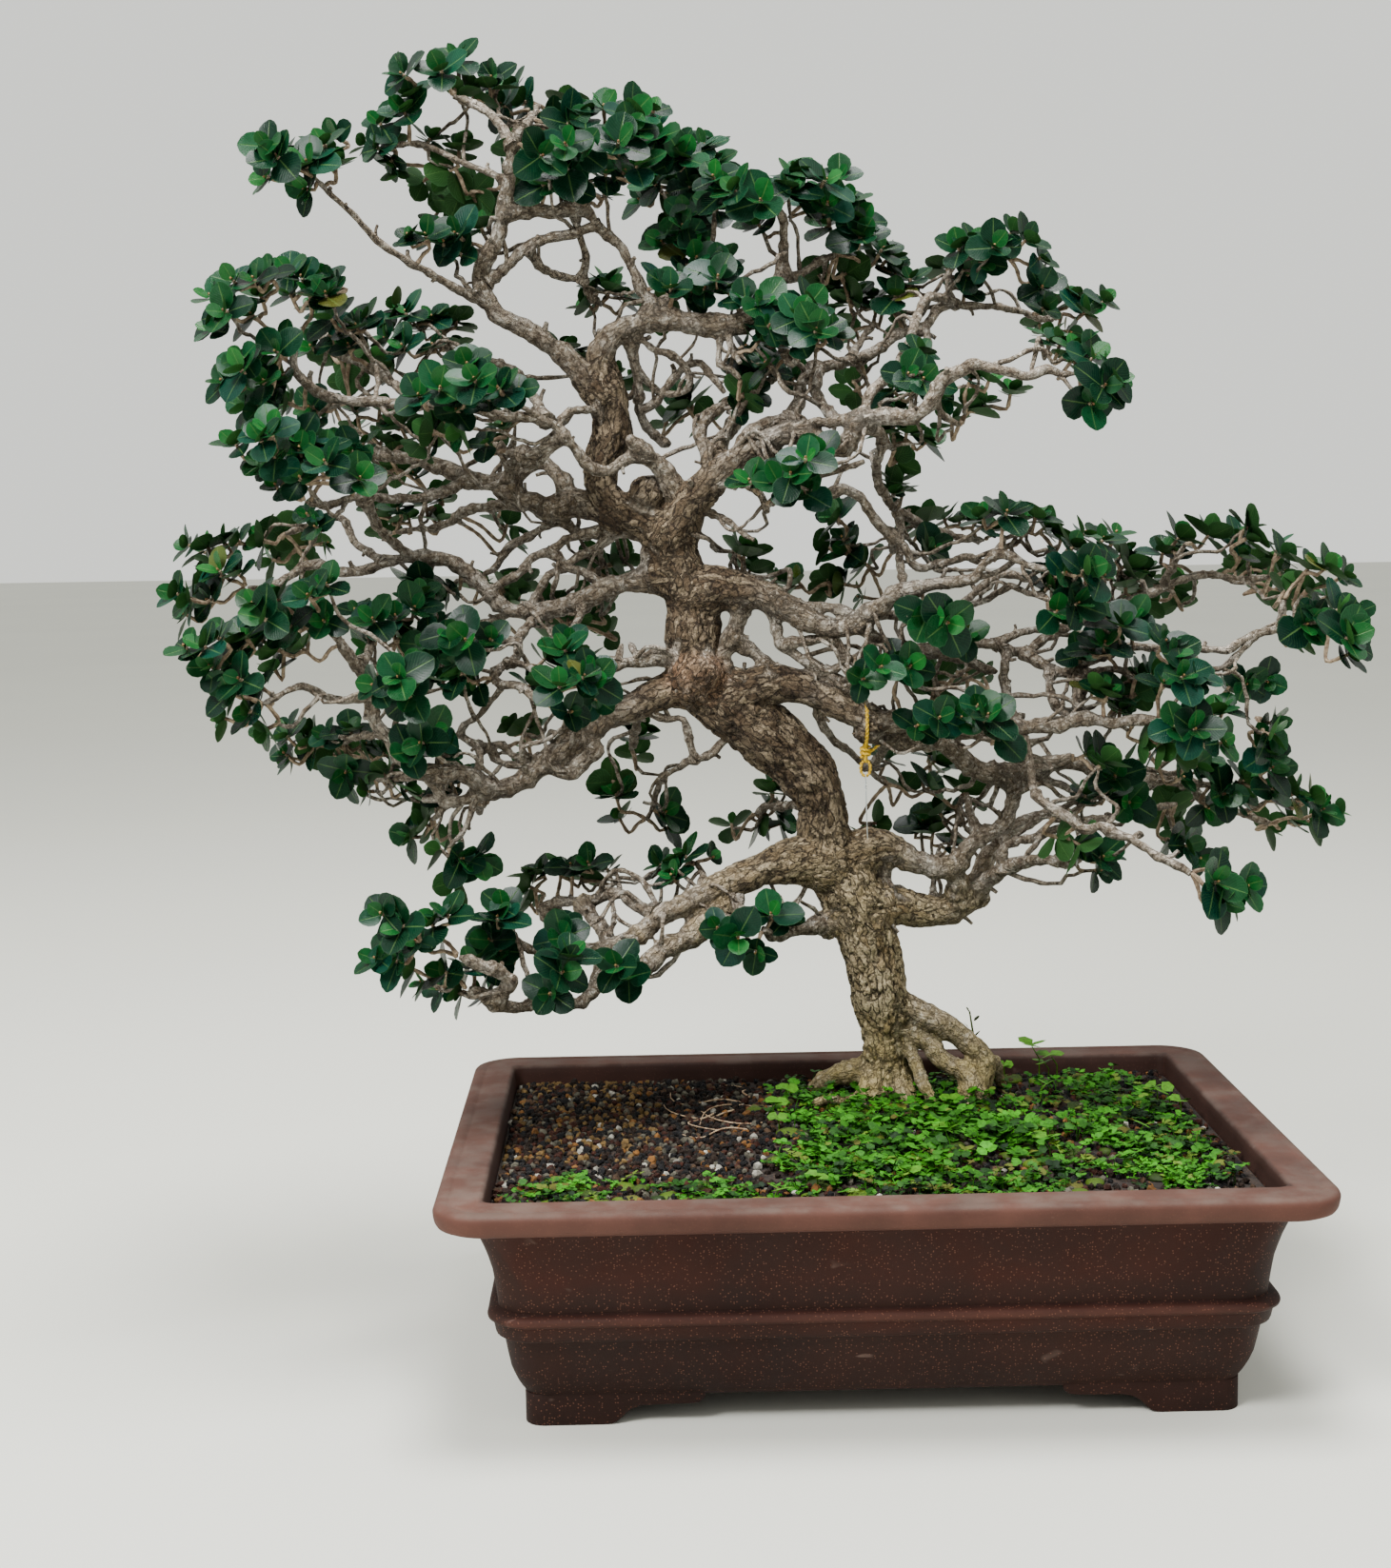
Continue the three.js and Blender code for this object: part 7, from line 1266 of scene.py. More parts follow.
def living_line(name, spacing):
    """A limb's smooth line with its collar, the rings of old leaf pairs and its crooks."""
    points, radii = LINES[name]
    number = 0 if name == "trunk" else LIMBS.index(ROWS[name]) + 1
    points, radii = curved(points, radii, spacing)
    gone = run_of(points)
    thin = 1 - held(radii, 5, 14)
    look = points + number * 37.0
    radii = radii * (1 + 0.10 * soft_noise(look / 17, 3) + 0.26 * thin * soft_noise(look / 5.5, 4))
    if name in ("rootArch", "rootInner"):
        radii = radii * (ROOT_SLIMMING + (0.5 * held(gone, 62, 84) if name == "rootInner" else 0))
    wander = np.stack([soft_noise(look / 11, seed) for seed in (5, 6, 7)], axis=1)
    fade = held(gone, 4, 14) * held(gone[-1] - gone, 4, 14)
    points = points + wander * (fade * thin * np.minimum(1.9, 0.45 * radii))[:, None]
    if name != "trunk":
        row = ROWS[name]
        rise = np.maximum(0, gone - 0.8 * on_parent(row))
        flare = 0.1 if name.startswith("root") else 0.5
        radii = radii * (1 + flare * np.exp(-rise / (1.3 * radii[0])))
        if len(row) > 6:
            radii = radii * (1 + 0.4 * np.exp(-(gone[-1] - gone) / (2.2 * radii[-1])))
        else:
            radii = radii * (1 - 0.3 * (1 - held(gone[-1] - gone, 0, 9)))
    node = 6.5 + 4 * draw(number, 0, 21)
    at_node = np.exp(-(((gone + node / 2) % node - node / 2) ** 2) / 1.6)
    return points, radii * (1 + 0.22 * thin * at_node)


def collar(name):
    """The first stretch of a limb, which the trunk's skin flows into."""
    points, radii = living_line(name, 3)
    gone = run_of(points)
    reach = on_parent(ROWS[name]) + 2.2 * radii[-1] + 8
    keep = gone < reach
    radii = radii * (1 - 0.45 * held(gone, reach * 0.5, reach))
    return points[keep], radii[keep]


def ball(x, z, deeper, radius):
    middle = placed(x, z, deeper)
    t = np.linspace(-0.98, 0.98, 9)
    return middle + np.outer(t * radius, (0.5, 0.1, 0.86)), radius * np.sqrt(1 - t * t)


def swept(name, lines, around):
    """Curves with a thickness at each point, made a mesh."""
    clear_selection()
    bpy.ops.curve.primitive_nurbs_path_add(radius=0.1)
    piece = bpy.context.object
    piece.name = name
    curve = piece.data
    curve.splines.clear()
    curve.dimensions = "3D"
    curve.bevel_depth = 1.0
    curve.bevel_resolution = around // 2 - 2
    curve.use_fill_caps = True
    for points, radii in lines:
        spline = curve.splines.new("POLY")
        spline.points.add(len(points) - 1)
        co = np.ones((len(points), 4))
        co[:, :3] = to_row(points)
        spline.points.foreach_set("co", co.ravel())
        spline.points.foreach_set("radius", np.asarray(radii, float) * MM)
    take(piece)
    bpy.ops.object.convert(target="MESH")
    piece = bpy.context.object
    piece.name = name
    return piece


def grain_frames(lines):
    """A search tree of six places round each point of the lines, and each point's middle, frame, radius and run."""
    rows = []
    for number, (points, radii) in enumerate(lines):
        gone = 41.0 * number
        for i, (p, (along, side, up)) in enumerate(zip(points, frames_along(points))):
            if i:
                gone += np.linalg.norm(p - points[i - 1])
            rows.append((p, along, side, up, radii[i], gone))
    skin = [
        p + radius * (cos(pi * k / 3) * side + sin(pi * k / 3) * up)
        for p, _, side, up, radius, _ in rows
        for k in range(6)
    ]
    return search_tree(skin), [np.array(column) for column in zip(*rows)]


def barked(piece, lines):
    """Marks each point's place along its limb, and presses cracks and rings into the wood."""
    mesh = piece.data
    count = len(mesh.vertices)
    co = np.empty(count * 3, np.float32)
    mesh.vertices.foreach_get("co", co)
    points = (co.reshape(-1, 3).astype(float) - (POT_MIDDLE[0], POT_MIDDLE[1], 0)) * 1000
    tree, (middle, along, side, up, radius, gone) = grain_frames(lines)
    near = np.array([tree.find(p)[1] // 6 for p in points])
    off = points - middle[near]
    place = np.stack(
        [(off * side[near]).sum(1), (off * up[near]).sum(1), gone[near] + (off * along[near]).sum(1)], axis=1
    )
    age = held(radius[near] + 1.2 * soft_noise(points / 30, 61), 6, 15)
    warp = np.stack([soft_noise(place / 9, seed) for seed in (31, 32, 33)], axis=1)
    q = place * (1, 1, 0.36) / 6.2 + 0.6 * warp
    first, second = cell_gaps(q, 5)
    crack = 1 - held(second - first, 0.02, 0.22)
    broken = held(soft_noise(place / 13, 44) + 0.35, 0, 0.5)
    crack = crack * (0.3 + 0.7 * broken) * (0.12 + 0.88 * age)
    coarse = soft_noise(points / 15, 8)
    ring = soft_noise(place * (0.2, 0.2, 1) / 3.4, 9)
    knob = soft_noise(points / 6, 10)
    push = age * (1.1 * coarse + 0.9 * knob + 0.6 - 2.3 * crack) + (1 - age) * (0.45 * ring + 1.0 * knob)
    push *= np.clip(radius[near] / 7, 0.35, 1)
    normals = np.empty(count * 3, np.float32)
    mesh.vertex_normals.foreach_get("vector", normals)
    moved = co.reshape(-1, 3) + normals.reshape(-1, 3) * push[:, None] * MM
    mesh.vertices.foreach_set("co", moved.astype(np.float32).ravel())
    burl_middle = placed(*BURL[:3])
    burl = 1 - held(np.linalg.norm((points - burl_middle) / (1, 1, 0.8), axis=1) + 5 * coarse, 18, 34)
    look = np.stack([crack * (1 - 0.6 * burl), age, burl, np.ones(count)], axis=1)
    for name, kind, field, values in (
        ("bark_look", "FLOAT_COLOR", "color", look),
        ("bark_place", "FLOAT_VECTOR", "vector", place * MM),
    ):
        mesh.attributes.new(name, kind, "POINT").data.foreach_set(field, values.astype(np.float32).ravel())
    mesh.update()


def branchlets():
    """Thin side branches that leave the limbs and make for the nearest leaves, or end as short spurs."""
    hubs = [ros["hub"] - ros["axis"] * 3 for number in range(len(SPRAYS)) for ros in rosettes_of(number)]
    tree = search_tree(hubs)
    lines = []
    for number, row in enumerate(LIMBS):
        if row[0].startswith("root"):
            continue
        points, radii = living_line(row[0], 3)
        step = 0
        i = 4 + int(5 * draw(number, 0, 31))
        while i < len(points) - 3:
            step += 1
            roll = [draw(number, step, 32 + k) for k in range(6)]
            along = unit(points[i + 1] - points[i - 1])
            side = unit(np.cross(along, (0, 1, 0)))
            angle = tau * roll[0]
            out = side * cos(angle) + np.cross(along, side) * sin(angle)
            start = points[i] + out * radii[i] * 0.5
            width = min(0.55 * radii[i], 1.5 + 1.1 * roll[1])
            near = [hubs[k] for _, k, gap in tree.find_range(points[i], TWIG_REACH) if gap > SPURS_BELOW]
            if near and roll[2] < 0.62 and row[0] != BARE_LIMB:
                goal = near[int(roll[3] * len(near))]
                run = np.linalg.norm(goal - start)
                mid = start + (goal - start) * 0.35 + (along * 0.5 + out) * run * 0.22
                bend = start + (goal - start) * 0.72 + np.array([0, 0, -0.07 * run])
                width = max(width, 1.5)
                line, radius = curved(np.array([start, mid, bend, goal]), np.array([width, 0.85 * width, 1.5, 1.3]), 6)
                wander = np.stack([soft_noise(line / 9, seed) for seed in (51, 52, 53)], axis=1) * 2.6
                wander[0] = wander[-1] = 0
                lines.append((line + wander, radius * (1 + 0.2 * soft_noise(line / 4, 54))))
            else:
                length = 2 + 5 * roll[4]
                tip = start + (out + along * 0.6) * (0.5 * radii[i] + length)
                spur = np.array([start, (start + tip) / 2 + along, tip])
                lines.append((spur, np.array([1.9, 1.7, 1.5]) * (0.7 + 0.5 * roll[5])))
            i += 5 + int(7 * draw(number, step, 38))
    return lines


class BONSAI_OT_wood(bpy.types.Operator):
    """Grows the trunk with its roots, the limbs and the thin branches"""

    bl_idname = "bonsai.wood"
    bl_label = "Wood"

    def execute(self, context):
        settings = context.scene.bonsai_tree
        bark = bark_material(settings)
        roots = [name for name in ROWS if name.startswith("root")]
        core = [living_line(name, 3) for name in ["trunk", *roots]]
        core += [collar(row[0]) for row in LIMBS if row[1] == "trunk" and row[0] not in roots]
        core += [ball(*BURL), ball(*BURL_KNOB), ball(*CROWN_KNOT)]
        left, right, thin = [], [], []
        for name, row in ROWS.items():
            if name in roots:
                continue
            if row[2] < STRONG_LIMB:
                thin.append(living_line(name, 4))
                continue
            line = living_line(name, 3)
            (left if line[0][:, 0].mean() < LEFT_LIMBS_END else right).append(line)
        for name, lines, around, grain in (
            ("trunk_and_roots", core, 16, settings.wood_grain),
            ("limbs_left", left, 12, settings.wood_grain * 1.3),
            ("limbs_right", right, 12, settings.wood_grain * 1.3),
            ("thin_branches", thin, 8, None),
            ("side_branches", branchlets(), 6, None),
        ):
            piece = swept(name, lines, around)
            if grain:  # overlapping limbs run together in one skin
                with_modifier(piece, "REMESH", mode="VOXEL", voxel_size=grain)
                with_modifier(piece, "SMOOTH", factor=0.5, iterations=3)
            barked(piece, lines)
            finished(piece, ALL_SMOOTH, [bark], "bark", "wood")
        return {"FINISHED"}


# LEAVES


LEAF_STATIONS = (0.0, 0.07, 0.22, 0.45, 0.7, 0.89, 1.0)  # along the blade
LEAF_HALVES = (0.04, 0.22, 0.4, 0.485, 0.43, 0.265, 0.05)  # half widths there


def leaf_pattern():
    """One round, leathery leaf of length 1 along x, folded a little at its midrib, with a pale underside."""
    last = len(LEAF_STATIONS) - 1
    clear_selection()
    bpy.ops.mesh.primitive_grid_add(x_subdivisions=last, y_subdivisions=2, size=2)
    leaf = bpy.context.object
    layer = leaf.data.uv_layers.active
    station = {v.index: round((v.co.x + 1) * last / 2) for v in leaf.data.vertices}
    for loop in leaf.data.loops:
        across = leaf.data.vertices[loop.vertex_index].co.y
        layer.data[loop.index].uv = (0.5 + across / 2, LEAF_STATIONS[station[loop.vertex_index]])
    for v in leaf.data.vertices:
        k, across = station[v.index], v.co.y
        t = LEAF_STATIONS[k]
        arch = sin(pi * t)
        v.co = (t, LEAF_HALVES[k] * across, (0.075 * abs(across) - 0.01) * arch)
    thick = {
        tuple(round(c, 5) for c in v.co): 0.035 * (abs(v.co.y) < 0.01 and 0.01 < v.co.x < 0.99)
        for v in leaf.data.vertices
    }
    bpy.ops.object.mode_set(mode="EDIT")
    bpy.ops.mesh.select_all(action="SELECT")
    bpy.ops.mesh.duplicate()
    mesh = bmesh.from_edit_mesh(leaf.data)
    for face in mesh.faces:
        face.material_index = 1 if face.select else 0
    for v in mesh.verts:
        if v.select:
            keel = thick[tuple(round(c, 5) for c in v.co)]
            if keel:  # the underside's midrib is one point
                v.co = (LEAF_STATIONS[3], 0, -0.01 - keel)
    bmesh.update_edit_mesh(leaf.data)
    bpy.ops.mesh.flip_normals()
    bpy.ops.mesh.select_all(action="SELECT")
    bpy.ops.mesh.remove_doubles(threshold=1e-4)
    bpy.ops.object.mode_set(mode="OBJECT")
    return shape_of(leaf)


def bud_pattern():
    clear_selection()
    bpy.ops.mesh.primitive_ico_sphere_add(subdivisions=1, radius=0.5)
    bud = bpy.context.object
    for v in bud.data.vertices:
        v.co.x = 0.5 + v.co.x * (1.0 if v.co.x > 0 else 0.7)
        v.co.y *= 0.75 - 0.5 * max(0, v.co.x - 0.5)
        v.co.z *= 0.75 - 0.5 * max(0, v.co.x - 0.5)
    return shape_of(bud)


def rosette(x, z, deeper, size, seed, i):
    """Where a rosette of leaves stands, which way it looks and how it is turned."""
    hub = placed(x, z, deeper)
    _, _, out, gap = nearest_wood(hub)
    if gap < HUB_CLEAR:
        hub = hub + out * (HUB_CLEAR - gap)
    high = held(z, 690, 860)  # the upper shoots lean out to the viewer
    axis = (hub - CROWN_MIDDLE) / (420, 220, 420) * 0.5 + (0, -0.42 - 0.6 * high, 0.72 - 0.5 * high) + out * 0.6
    axis = axis + (
        0.9 * (draw(seed, i, 11) - 0.5),
        0.9 * (draw(seed, i, 12) - 0.5),
        0.6 * (draw(seed, i, 13) - 0.5),
    )
    axis = unit(axis)
    leaning = axis.dot(out)
    if leaning < 0.3:
        axis = unit(axis + out * (0.4 - leaning))
    first = square_to(axis)
    return {
        "hub": hub, "axis": axis, "size": size, "first": first, "second": np.cross(axis, first),
        "turn": tau * draw(seed, i, 14), "seed": seed, "i": i,
    }  # fmt: skip


def companions(clusters, seed, grow, full):
    """More rosettes around each one, so that a spray is as full as it is seen to be."""
    found = []
    for i, (x, z, half_width, half_height, deeper, size) in enumerate(clusters):
        count = (1 if half_width < 14 else 2) + full
        first = draw(seed, i, 70)
        for k in range(count):
            a = tau * (first + k / count)
            away = 0.6 + 0.35 * draw(seed, i, 72 + k)
            x2 = x + (half_width * away + 3) * cos(a)
            z2 = z + (half_height * away + 2) * sin(a) - 3
            behind = (8 + 20 * draw(seed, i, 76 + k)) * (1, 0.3, 1.3)[k]
            deeper2 = min(deeper + behind, max(deeper, DEEPEST))
            size2 = evened(size) * grow * (0.72 + 0.25 * draw(seed, i, 80 + k))
            ros = rosette(x2, z2, deeper2, size2, seed, i * 3 + k)
            if not hides_tie(ros):
                found.append(ros)
    return found


SPRAY_ROSETTES = {}


def hides_tie(ros):
    """Whether a rosette stands between the viewer and the tie."""
    on, deeper = ros["hub"], ros["hub"][1] - PLANE_DEPTH
    k = grown(deeper)
    x, z = EYE[0] + (on[0] - EYE[0]) / k, EYE[2] + (on[2] - EYE[2]) / k
    return abs(x - TIE_AT) < 22 and TIE_LOW < z < TIE_HIGH and deeper < 10


def evened(size):
    """The table's largest sizes stand for whole bunches of leaves, so they grow a leaf by less than a third as much."""
    return size if size < 1 else 1 + (size - 1) * 0.3


def rosettes_of(number):
    """A spray's rosettes: the ones in the table and their companions."""
    if number not in SPRAY_ROSETTES:
        name, clusters = SPRAYS[number]
        grow = CROWN_GROWTH if name.startswith("crown") else 1
        main = [
            rosette(x, z, deeper, evened(size) * grow, number + 100, i)
            for i, (x, z, _, _, deeper, size) in enumerate(clusters)
        ]
        full = name.startswith(("crown", "left"))
        SPRAY_ROSETTES[number] = main + companions(clusters, number + 300, grow, full)
    return SPRAY_ROSETTES[number]


def add_leaf(heap, leaf, ros, number, leaf_length):
    """Pairs stand crosswise: two low, two higher, then a small young pair at the shoot's tip."""
    seed, i, size = ros["seed"], ros["i"], ros["size"]
    pair = number // 2
    half = (0, 2, 1, 3, 0, 2)[number]
    angle = ros["turn"] + half * pi / 2 + 0.35 * (draw(seed, i, 20 + number) - 0.5)
    if pair == 2:
        angle += 0.5
    radial = ros["first"] * cos(angle) + ros["second"] * sin(angle)
    side = np.cross(ros["axis"], radial)
    key = half if pair < 2 else number
    lift = (0.1, 0.52, 0.95)[pair] + 0.22 * (draw(seed, i, 30 + key) - 0.5)
    share = (1, 0.9, 0.5 + 0.22 * draw(seed, i, 47))[pair]
    length = leaf_length * size * share * (0.88 + 0.24 * draw(seed, i, 40 + key))
    along = radial * cos(lift) + ros["axis"] * sin(lift)
    normal = np.cross(along, side)
    tilt = 0.5 * (draw(seed, i, 50 + number) - 0.5)
    side, normal = rolled(side, normal, tilt)
    root = ros["hub"] + ros["axis"] * (0.65 + 1.1 * pair) + radial * 0.9
    bend = 0.10 * draw(seed, i, 60 + number) - 0.02 + (0.05 if pair == 0 else -0.03)
    wide = 0.9 + 0.22 * draw(seed, i, 80 + number)
    points = stood(leaf, root, along, side, normal, length, bend, wide)
    young = (0.03, 0.1, 0.55)[pair] * (0.5 + draw(seed, i, 90 + number))
    if draw(seed, 7, 91) > 0.55 and pair:
        young = min(1, young + 0.2)
    rusty = 0.5 if draw(seed, i, 92 + number) > 0.992 else 0.0
    heap.add(points, leaf["faces"], leaf["slots"], (young, draw(seed, i, 93 + number), rusty, 1), leaf["uv"])


def add_twig(heap, start, ros):
    """A twig that comes up into the middle of its rosette, thicker where old pairs of leaves stood."""
    hub, axis = ros["hub"], ros["axis"]
    run = np.linalg.norm(hub - start)
    bend = hub - axis * min(14, max(4, 0.42 * run))
    mid = start + (bend - start) * 0.5 + np.array([0.0, 0.0, 0.06 * run])
    points, radii = curved(np.array([start, mid, bend, hub + axis * 2.2]), np.array([1.8, 1.6, 1.6, 1.5]), 4.2)
    radii = radii * (1 + 0.16 * np.cos(np.arange(len(radii)) * 2.4 + ros["turn"]))
    heap.add(*tube(points, radii, 5), 2)


class BONSAI_OT_foliage(bpy.types.Operator):
    """Sets a rosette of thick leaves on every shoot, spray by spray"""

    bl_idname = "bonsai.foliage"
    bl_label = "Foliage"

    def execute(self, context):
        settings = context.scene.bonsai_tree
        leaf, bud = leaf_pattern(), bud_pattern()
        length = settings.leaf_length * 1000
        bud_colours = srgb(104, 62, 36), srgb(160, 128, 78)
        coats = [
            leaf_material(settings, "leaf_top", under=False),
            leaf_material(settings, "leaf_underside", under=True),
            twig_material(),
            two_tone("buds", (500.0, 3.0, 0.6), (0.35, 0.65), *bud_colours, (0.4, 0.0004), Roughness=0.6),
        ]
        for number, (name, _) in enumerate(SPRAYS):
            heap = Heap()
            hubs = []
            for ros in sorted(rosettes_of(number), key=lambda r: nearest_wood(r["hub"])[3]):
                on, radius, out, gap = nearest_wood(ros["hub"])
                start = on + out * radius * 0.6
                for other in hubs:
                    fork = other["hub"] - other["axis"] * 3
                    far = np.linalg.norm(fork - ros["hub"])
                    if far < gap * 0.85 and (ros["hub"] - fork).dot(other["axis"]) > -far * 0.3:
                        start, gap = fork, far
                add_twig(heap, start, ros)
                hubs.append(ros)
                for k in range(6 if ros["size"] > 0.8 else 5):
                    if k > 3 or draw(ros["seed"], ros["i"], 96 + k) < 0.94:
                        add_leaf(heap, leaf, ros, k, length)
                tip = ros["hub"] + ros["axis"] * 3.2
                heap.add(stood(bud, tip, ros["axis"], ros["first"], ros["second"], 3.2), bud["faces"], 3)
            finished(heap.piece(f"foliage_{name}", "leaf_look"), 62, coats, "leaf", f"leaves_{name}")
        return {"FINISHED"}


# SOIL


def bed_height(x, y):
    """The soil's height: a little lower along the pot's wall."""
    inset = np.minimum(BED_HALF[0] - abs(x), BED_HALF[1] - abs(y))
    return SOIL_EDGE + (SOIL_TOP - SOIL_EDGE) * np.clip(inset / 15, 0, 1)


def inside_outline(outline, x, y):
    inside = False
    for (ax, ay), (bx, by) in zip(outline, outline[1:] + outline[:1]):
        if (ay > y) != (by > y) and x < (bx - ax) * (y - ay) / (by - ay) + ax:
            inside = not inside
    return inside


def stone_patterns(rng):
    """Crushed grains: small balls knocked out of round."""
    patterns = []
    for _ in range(5):
        clear_selection()
        bpy.ops.mesh.primitive_ico_sphere_add(subdivisions=1, radius=1)
        stone = bpy.context.object
        for v in stone.data.vertices:
            v.co *= rng.uniform(0.72, 1.12)
        patterns.append(shape_of(stone))
    return patterns


def turned(rng):
    """A random turn as a matrix."""
    a, _ = np.linalg.qr(rng.normal(size=(3, 3)))
    return a if np.linalg.det(a) > 0 else -a


STONE_COLOURS = [  # share, colour
    (0.32, srgb(15, 15, 17)), (0.28, srgb(28, 18, 12)), (0.18, srgb(48, 23, 15)), (0.07, srgb(104, 70, 34)),
    (0.09, srgb(80, 78, 68)), (0.024, srgb(160, 158, 148)), (0.055, srgb(68, 51, 37)),
]  # fmt: skip


class BONSAI_OT_soil(bpy.types.Operator):
    """Spreads the gravel mix over the soil and lays the thin surface roots on it"""

    bl_idname = "bonsai.soil"
    bl_label = "Soil"

    def execute(self, context):
        settings = context.scene.bonsai_bed
        coated(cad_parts["soil"], soil_material())
        rng = np.random.default_rng(GRAVEL_SEED)
        patterns = stone_patterns(rng)
        apart = settings.stone_apart * 1000
        shares = np.cumsum([share for share, _ in STONE_COLOURS])
        heap = Heap()
        columns = int(2 * BED_HALF[0] / apart)
        lines = int(2 * BED_HALF[1] / apart)
        for i in range(columns):
            for j in range(lines):
                x = -BED_HALF[0] + apart * (i + rng.uniform(0.1, 0.9))
                y = -BED_HALF[1] + apart * (j + rng.uniform(0.1, 0.9))
                bare = x < LEAFY_RIGHT_OF + 30 * sin(y / 40)
                if not bare and rng.random() > STONES_AMONG_PLANTS:
                    continue
                big = rng.random() > 0.93
                radius = rng.uniform(2.4, 3.7) * (1.3 if big else 1)
                size = radius * rng.uniform(0.75, 1.1, 3)
                pattern = patterns[rng.integers(len(patterns))]
                z = bed_height(x, y) + radius * rng.uniform(0.15, 0.75)
                inset = min(BED_HALF[0] - abs(x), BED_HALF[1] - abs(y))
                if inset < 2.5:
                    continue
                colour = STONE_COLOURS[int(np.searchsorted(shares, rng.random() * shares[-1]))][1]
                if bare and x < -150 and y > -60 and rng.random() > 0.8:
                    colour = srgb(96, 76, 44)
                tint = (*(np.array(colour) * rng.uniform(0.7, 1.25)), 1)
                points = (pattern["points"] * size) @ turned(rng).T + (x, y, z)
                heap.add(points, pattern["faces"], 0, tint)
        finished(heap.piece("gravel", "stone_look"), 24, [stone_material()], "soil")

        roots = Heap()
        for k, (x, y, heading, length) in enumerate(SURFACE_ROOTS):
            points = []
            for s in np.linspace(0, 1, 14):
                a = heading + 0.9 * sin(3.1 * s + k) * s
                p = (x + length * s * cos(a), y + length * s * sin(a))
                points.append((*p, bed_height(*p) + 3.2 + 1.1 * sin(7 * s + 2 * k)))
            roots.add(*tube(points, np.linspace(0.85, 0.35, 14), 5))
        for x, y, heading, length, radius in ROOT_ENDS:
            run = np.array([cos(heading), sin(heading), 0.22])
            points = [np.array([x, y, bed_height(x, y) + 1.5 + radius]) + run * length * s for s in (0, 0.35, 0.7, 1)]
            points[1] = points[1] + (0, 0, 1.5)
            roots.add(*tube(points, [radius, radius * 1.15, radius * 0.9, radius * 0.7], 7))
        pale, paler = srgb(128, 98, 72), srgb(184, 160, 128)
        bark = two_tone("rootlets", (300.0, 3.0, 0.6), (0.35, 0.65), pale, paler, (0.4, 0.0004), Roughness=0.85)
        finished(roots.piece("surface_rootlets", "bark_look"), ALL_SMOOTH, [bark], "bark")
        return {"FINISHED"}


SURFACE_ROOTS = [  # x, y, heading and length of thin roots that lie on the bare gravel
    (-86, 96, 2.6, 62), (-92, 70, 3.5, 58), (-70, 40, 3.3, 66), (-78, 112, 2.2, 40), (-108, 60, 4.1, 44),
    (-62, 84, 3.0, 80), (-84, 20, 3.0, 52),
]  # fmt: skip


ROOT_ENDS = [(-4, -50, 0.75, 19, 2.1), (110, -2, -0.35, 20, 1.4)]  # and how thick: pale ends of roots


# SMALL PLANTS


def leaflet_pattern(sides):
    """A small thick leaflet of length 1 along x."""
    clear_selection()
    bpy.ops.mesh.primitive_cone_add(vertices=sides, radius1=0.5, depth=0.12)
    leaflet = bpy.context.object
    for v in leaflet.data.vertices:
        x = v.co.x + 0.5
        v.co = (x, v.co.y * (1.25 if x > 0.4 else 0.8), v.co.z * 0.9 + 0.1 * abs(v.co.y))
    return shape_of(leaflet)


def set_leaflet(heap, leaflet, rng, at, along, size, tint):
    """One leaflet, tipped a little to its side."""
    side = unit(np.cross(UP, along))
    side, normal = rolled(side, np.cross(along, side), rng.uniform(-0.55, 0.55))
    heap.add(stood(leaflet, at, along, side, normal, size), leaflet["faces"], 0, tint)


def weed(heap, leaflet, rng, x, y, kind):
    """One small plant: a stalk with three round leaflets, or a short frond with leaflets in pairs."""
    base = np.array([x, y, bed_height(x, y) + 1.0])
    heading = rng.uniform(0, tau)
    out = np.array([cos(heading), sin(heading), 0])
    # Painted light: in some patches the weeds are made a lighter green, as if lit by sun, on top of each plant's own
    # draw.
    sunny = 0.5 + 0.75 * soft_noise(np.array([[x / 26, y / 26, 8.0]]), 93)[0]
    tint = (min(1, max(0, sunny * 0.7 + rng.uniform(-0.3, 0.45))), 0.25 * (rng.random() > 0.93), 0, 1)
    lush = 0.85 + 0.55 * exp(-(((x - 60) / 75) ** 2) - ((y + 40) / 70) ** 2)  # taller round the trunk's foot
    if kind == "clover":
        height = rng.uniform(3, 16) * lush
        tip = base + UP * height + out * height * 0.35
        stalk = [base, base + UP * height * 0.6 + out * height * 0.08, tip]
        heap.add(*tube(stalk, [0.4, 0.35, 0.3], 3), 0, tint)
        size = rng.uniform(3.8, 7.2) * lush
        for k in range(3):
            a = heading + tau * k / 3
            lean = rng.uniform(-0.25, 0.6)
            along = np.array([cos(a) * cos(lean), sin(a) * cos(lean), sin(lean)])
            set_leaflet(heap, leaflet, rng, tip, along, size, tint)
        return
    length = rng.uniform(9, 21) * lush
    rise = rng.uniform(0.35, 1.25)
    line = [
        base + out * length * s * cos(rise * (1 - 0.6 * s)) + UP * length * s * sin(rise) * (1 - 0.45 * s)
        for s in np.linspace(0, 1, 5)
    ]
    heap.add(*tube(line[::2], [0.45, 0.35, 0.2], 3), 0, tint)
    side = np.array([-out[1], out[0], 0])
    for k in range(1, 5):
        along_stem = unit(line[k] - line[k - 1])
        size = (3.2, 4.2, 4.0, 3.2)[k - 1] * length / 15
        for s in (-1, 1):
            along = unit(side * s + along_stem * 0.55 + UP * rng.uniform(-0.3, 0.4))
            set_leaflet(heap, leaflet, rng, line[k], along, size, tint)
    set_leaflet(heap, leaflet, rng, line[4], along_stem, 3.4 * length / 15, tint)


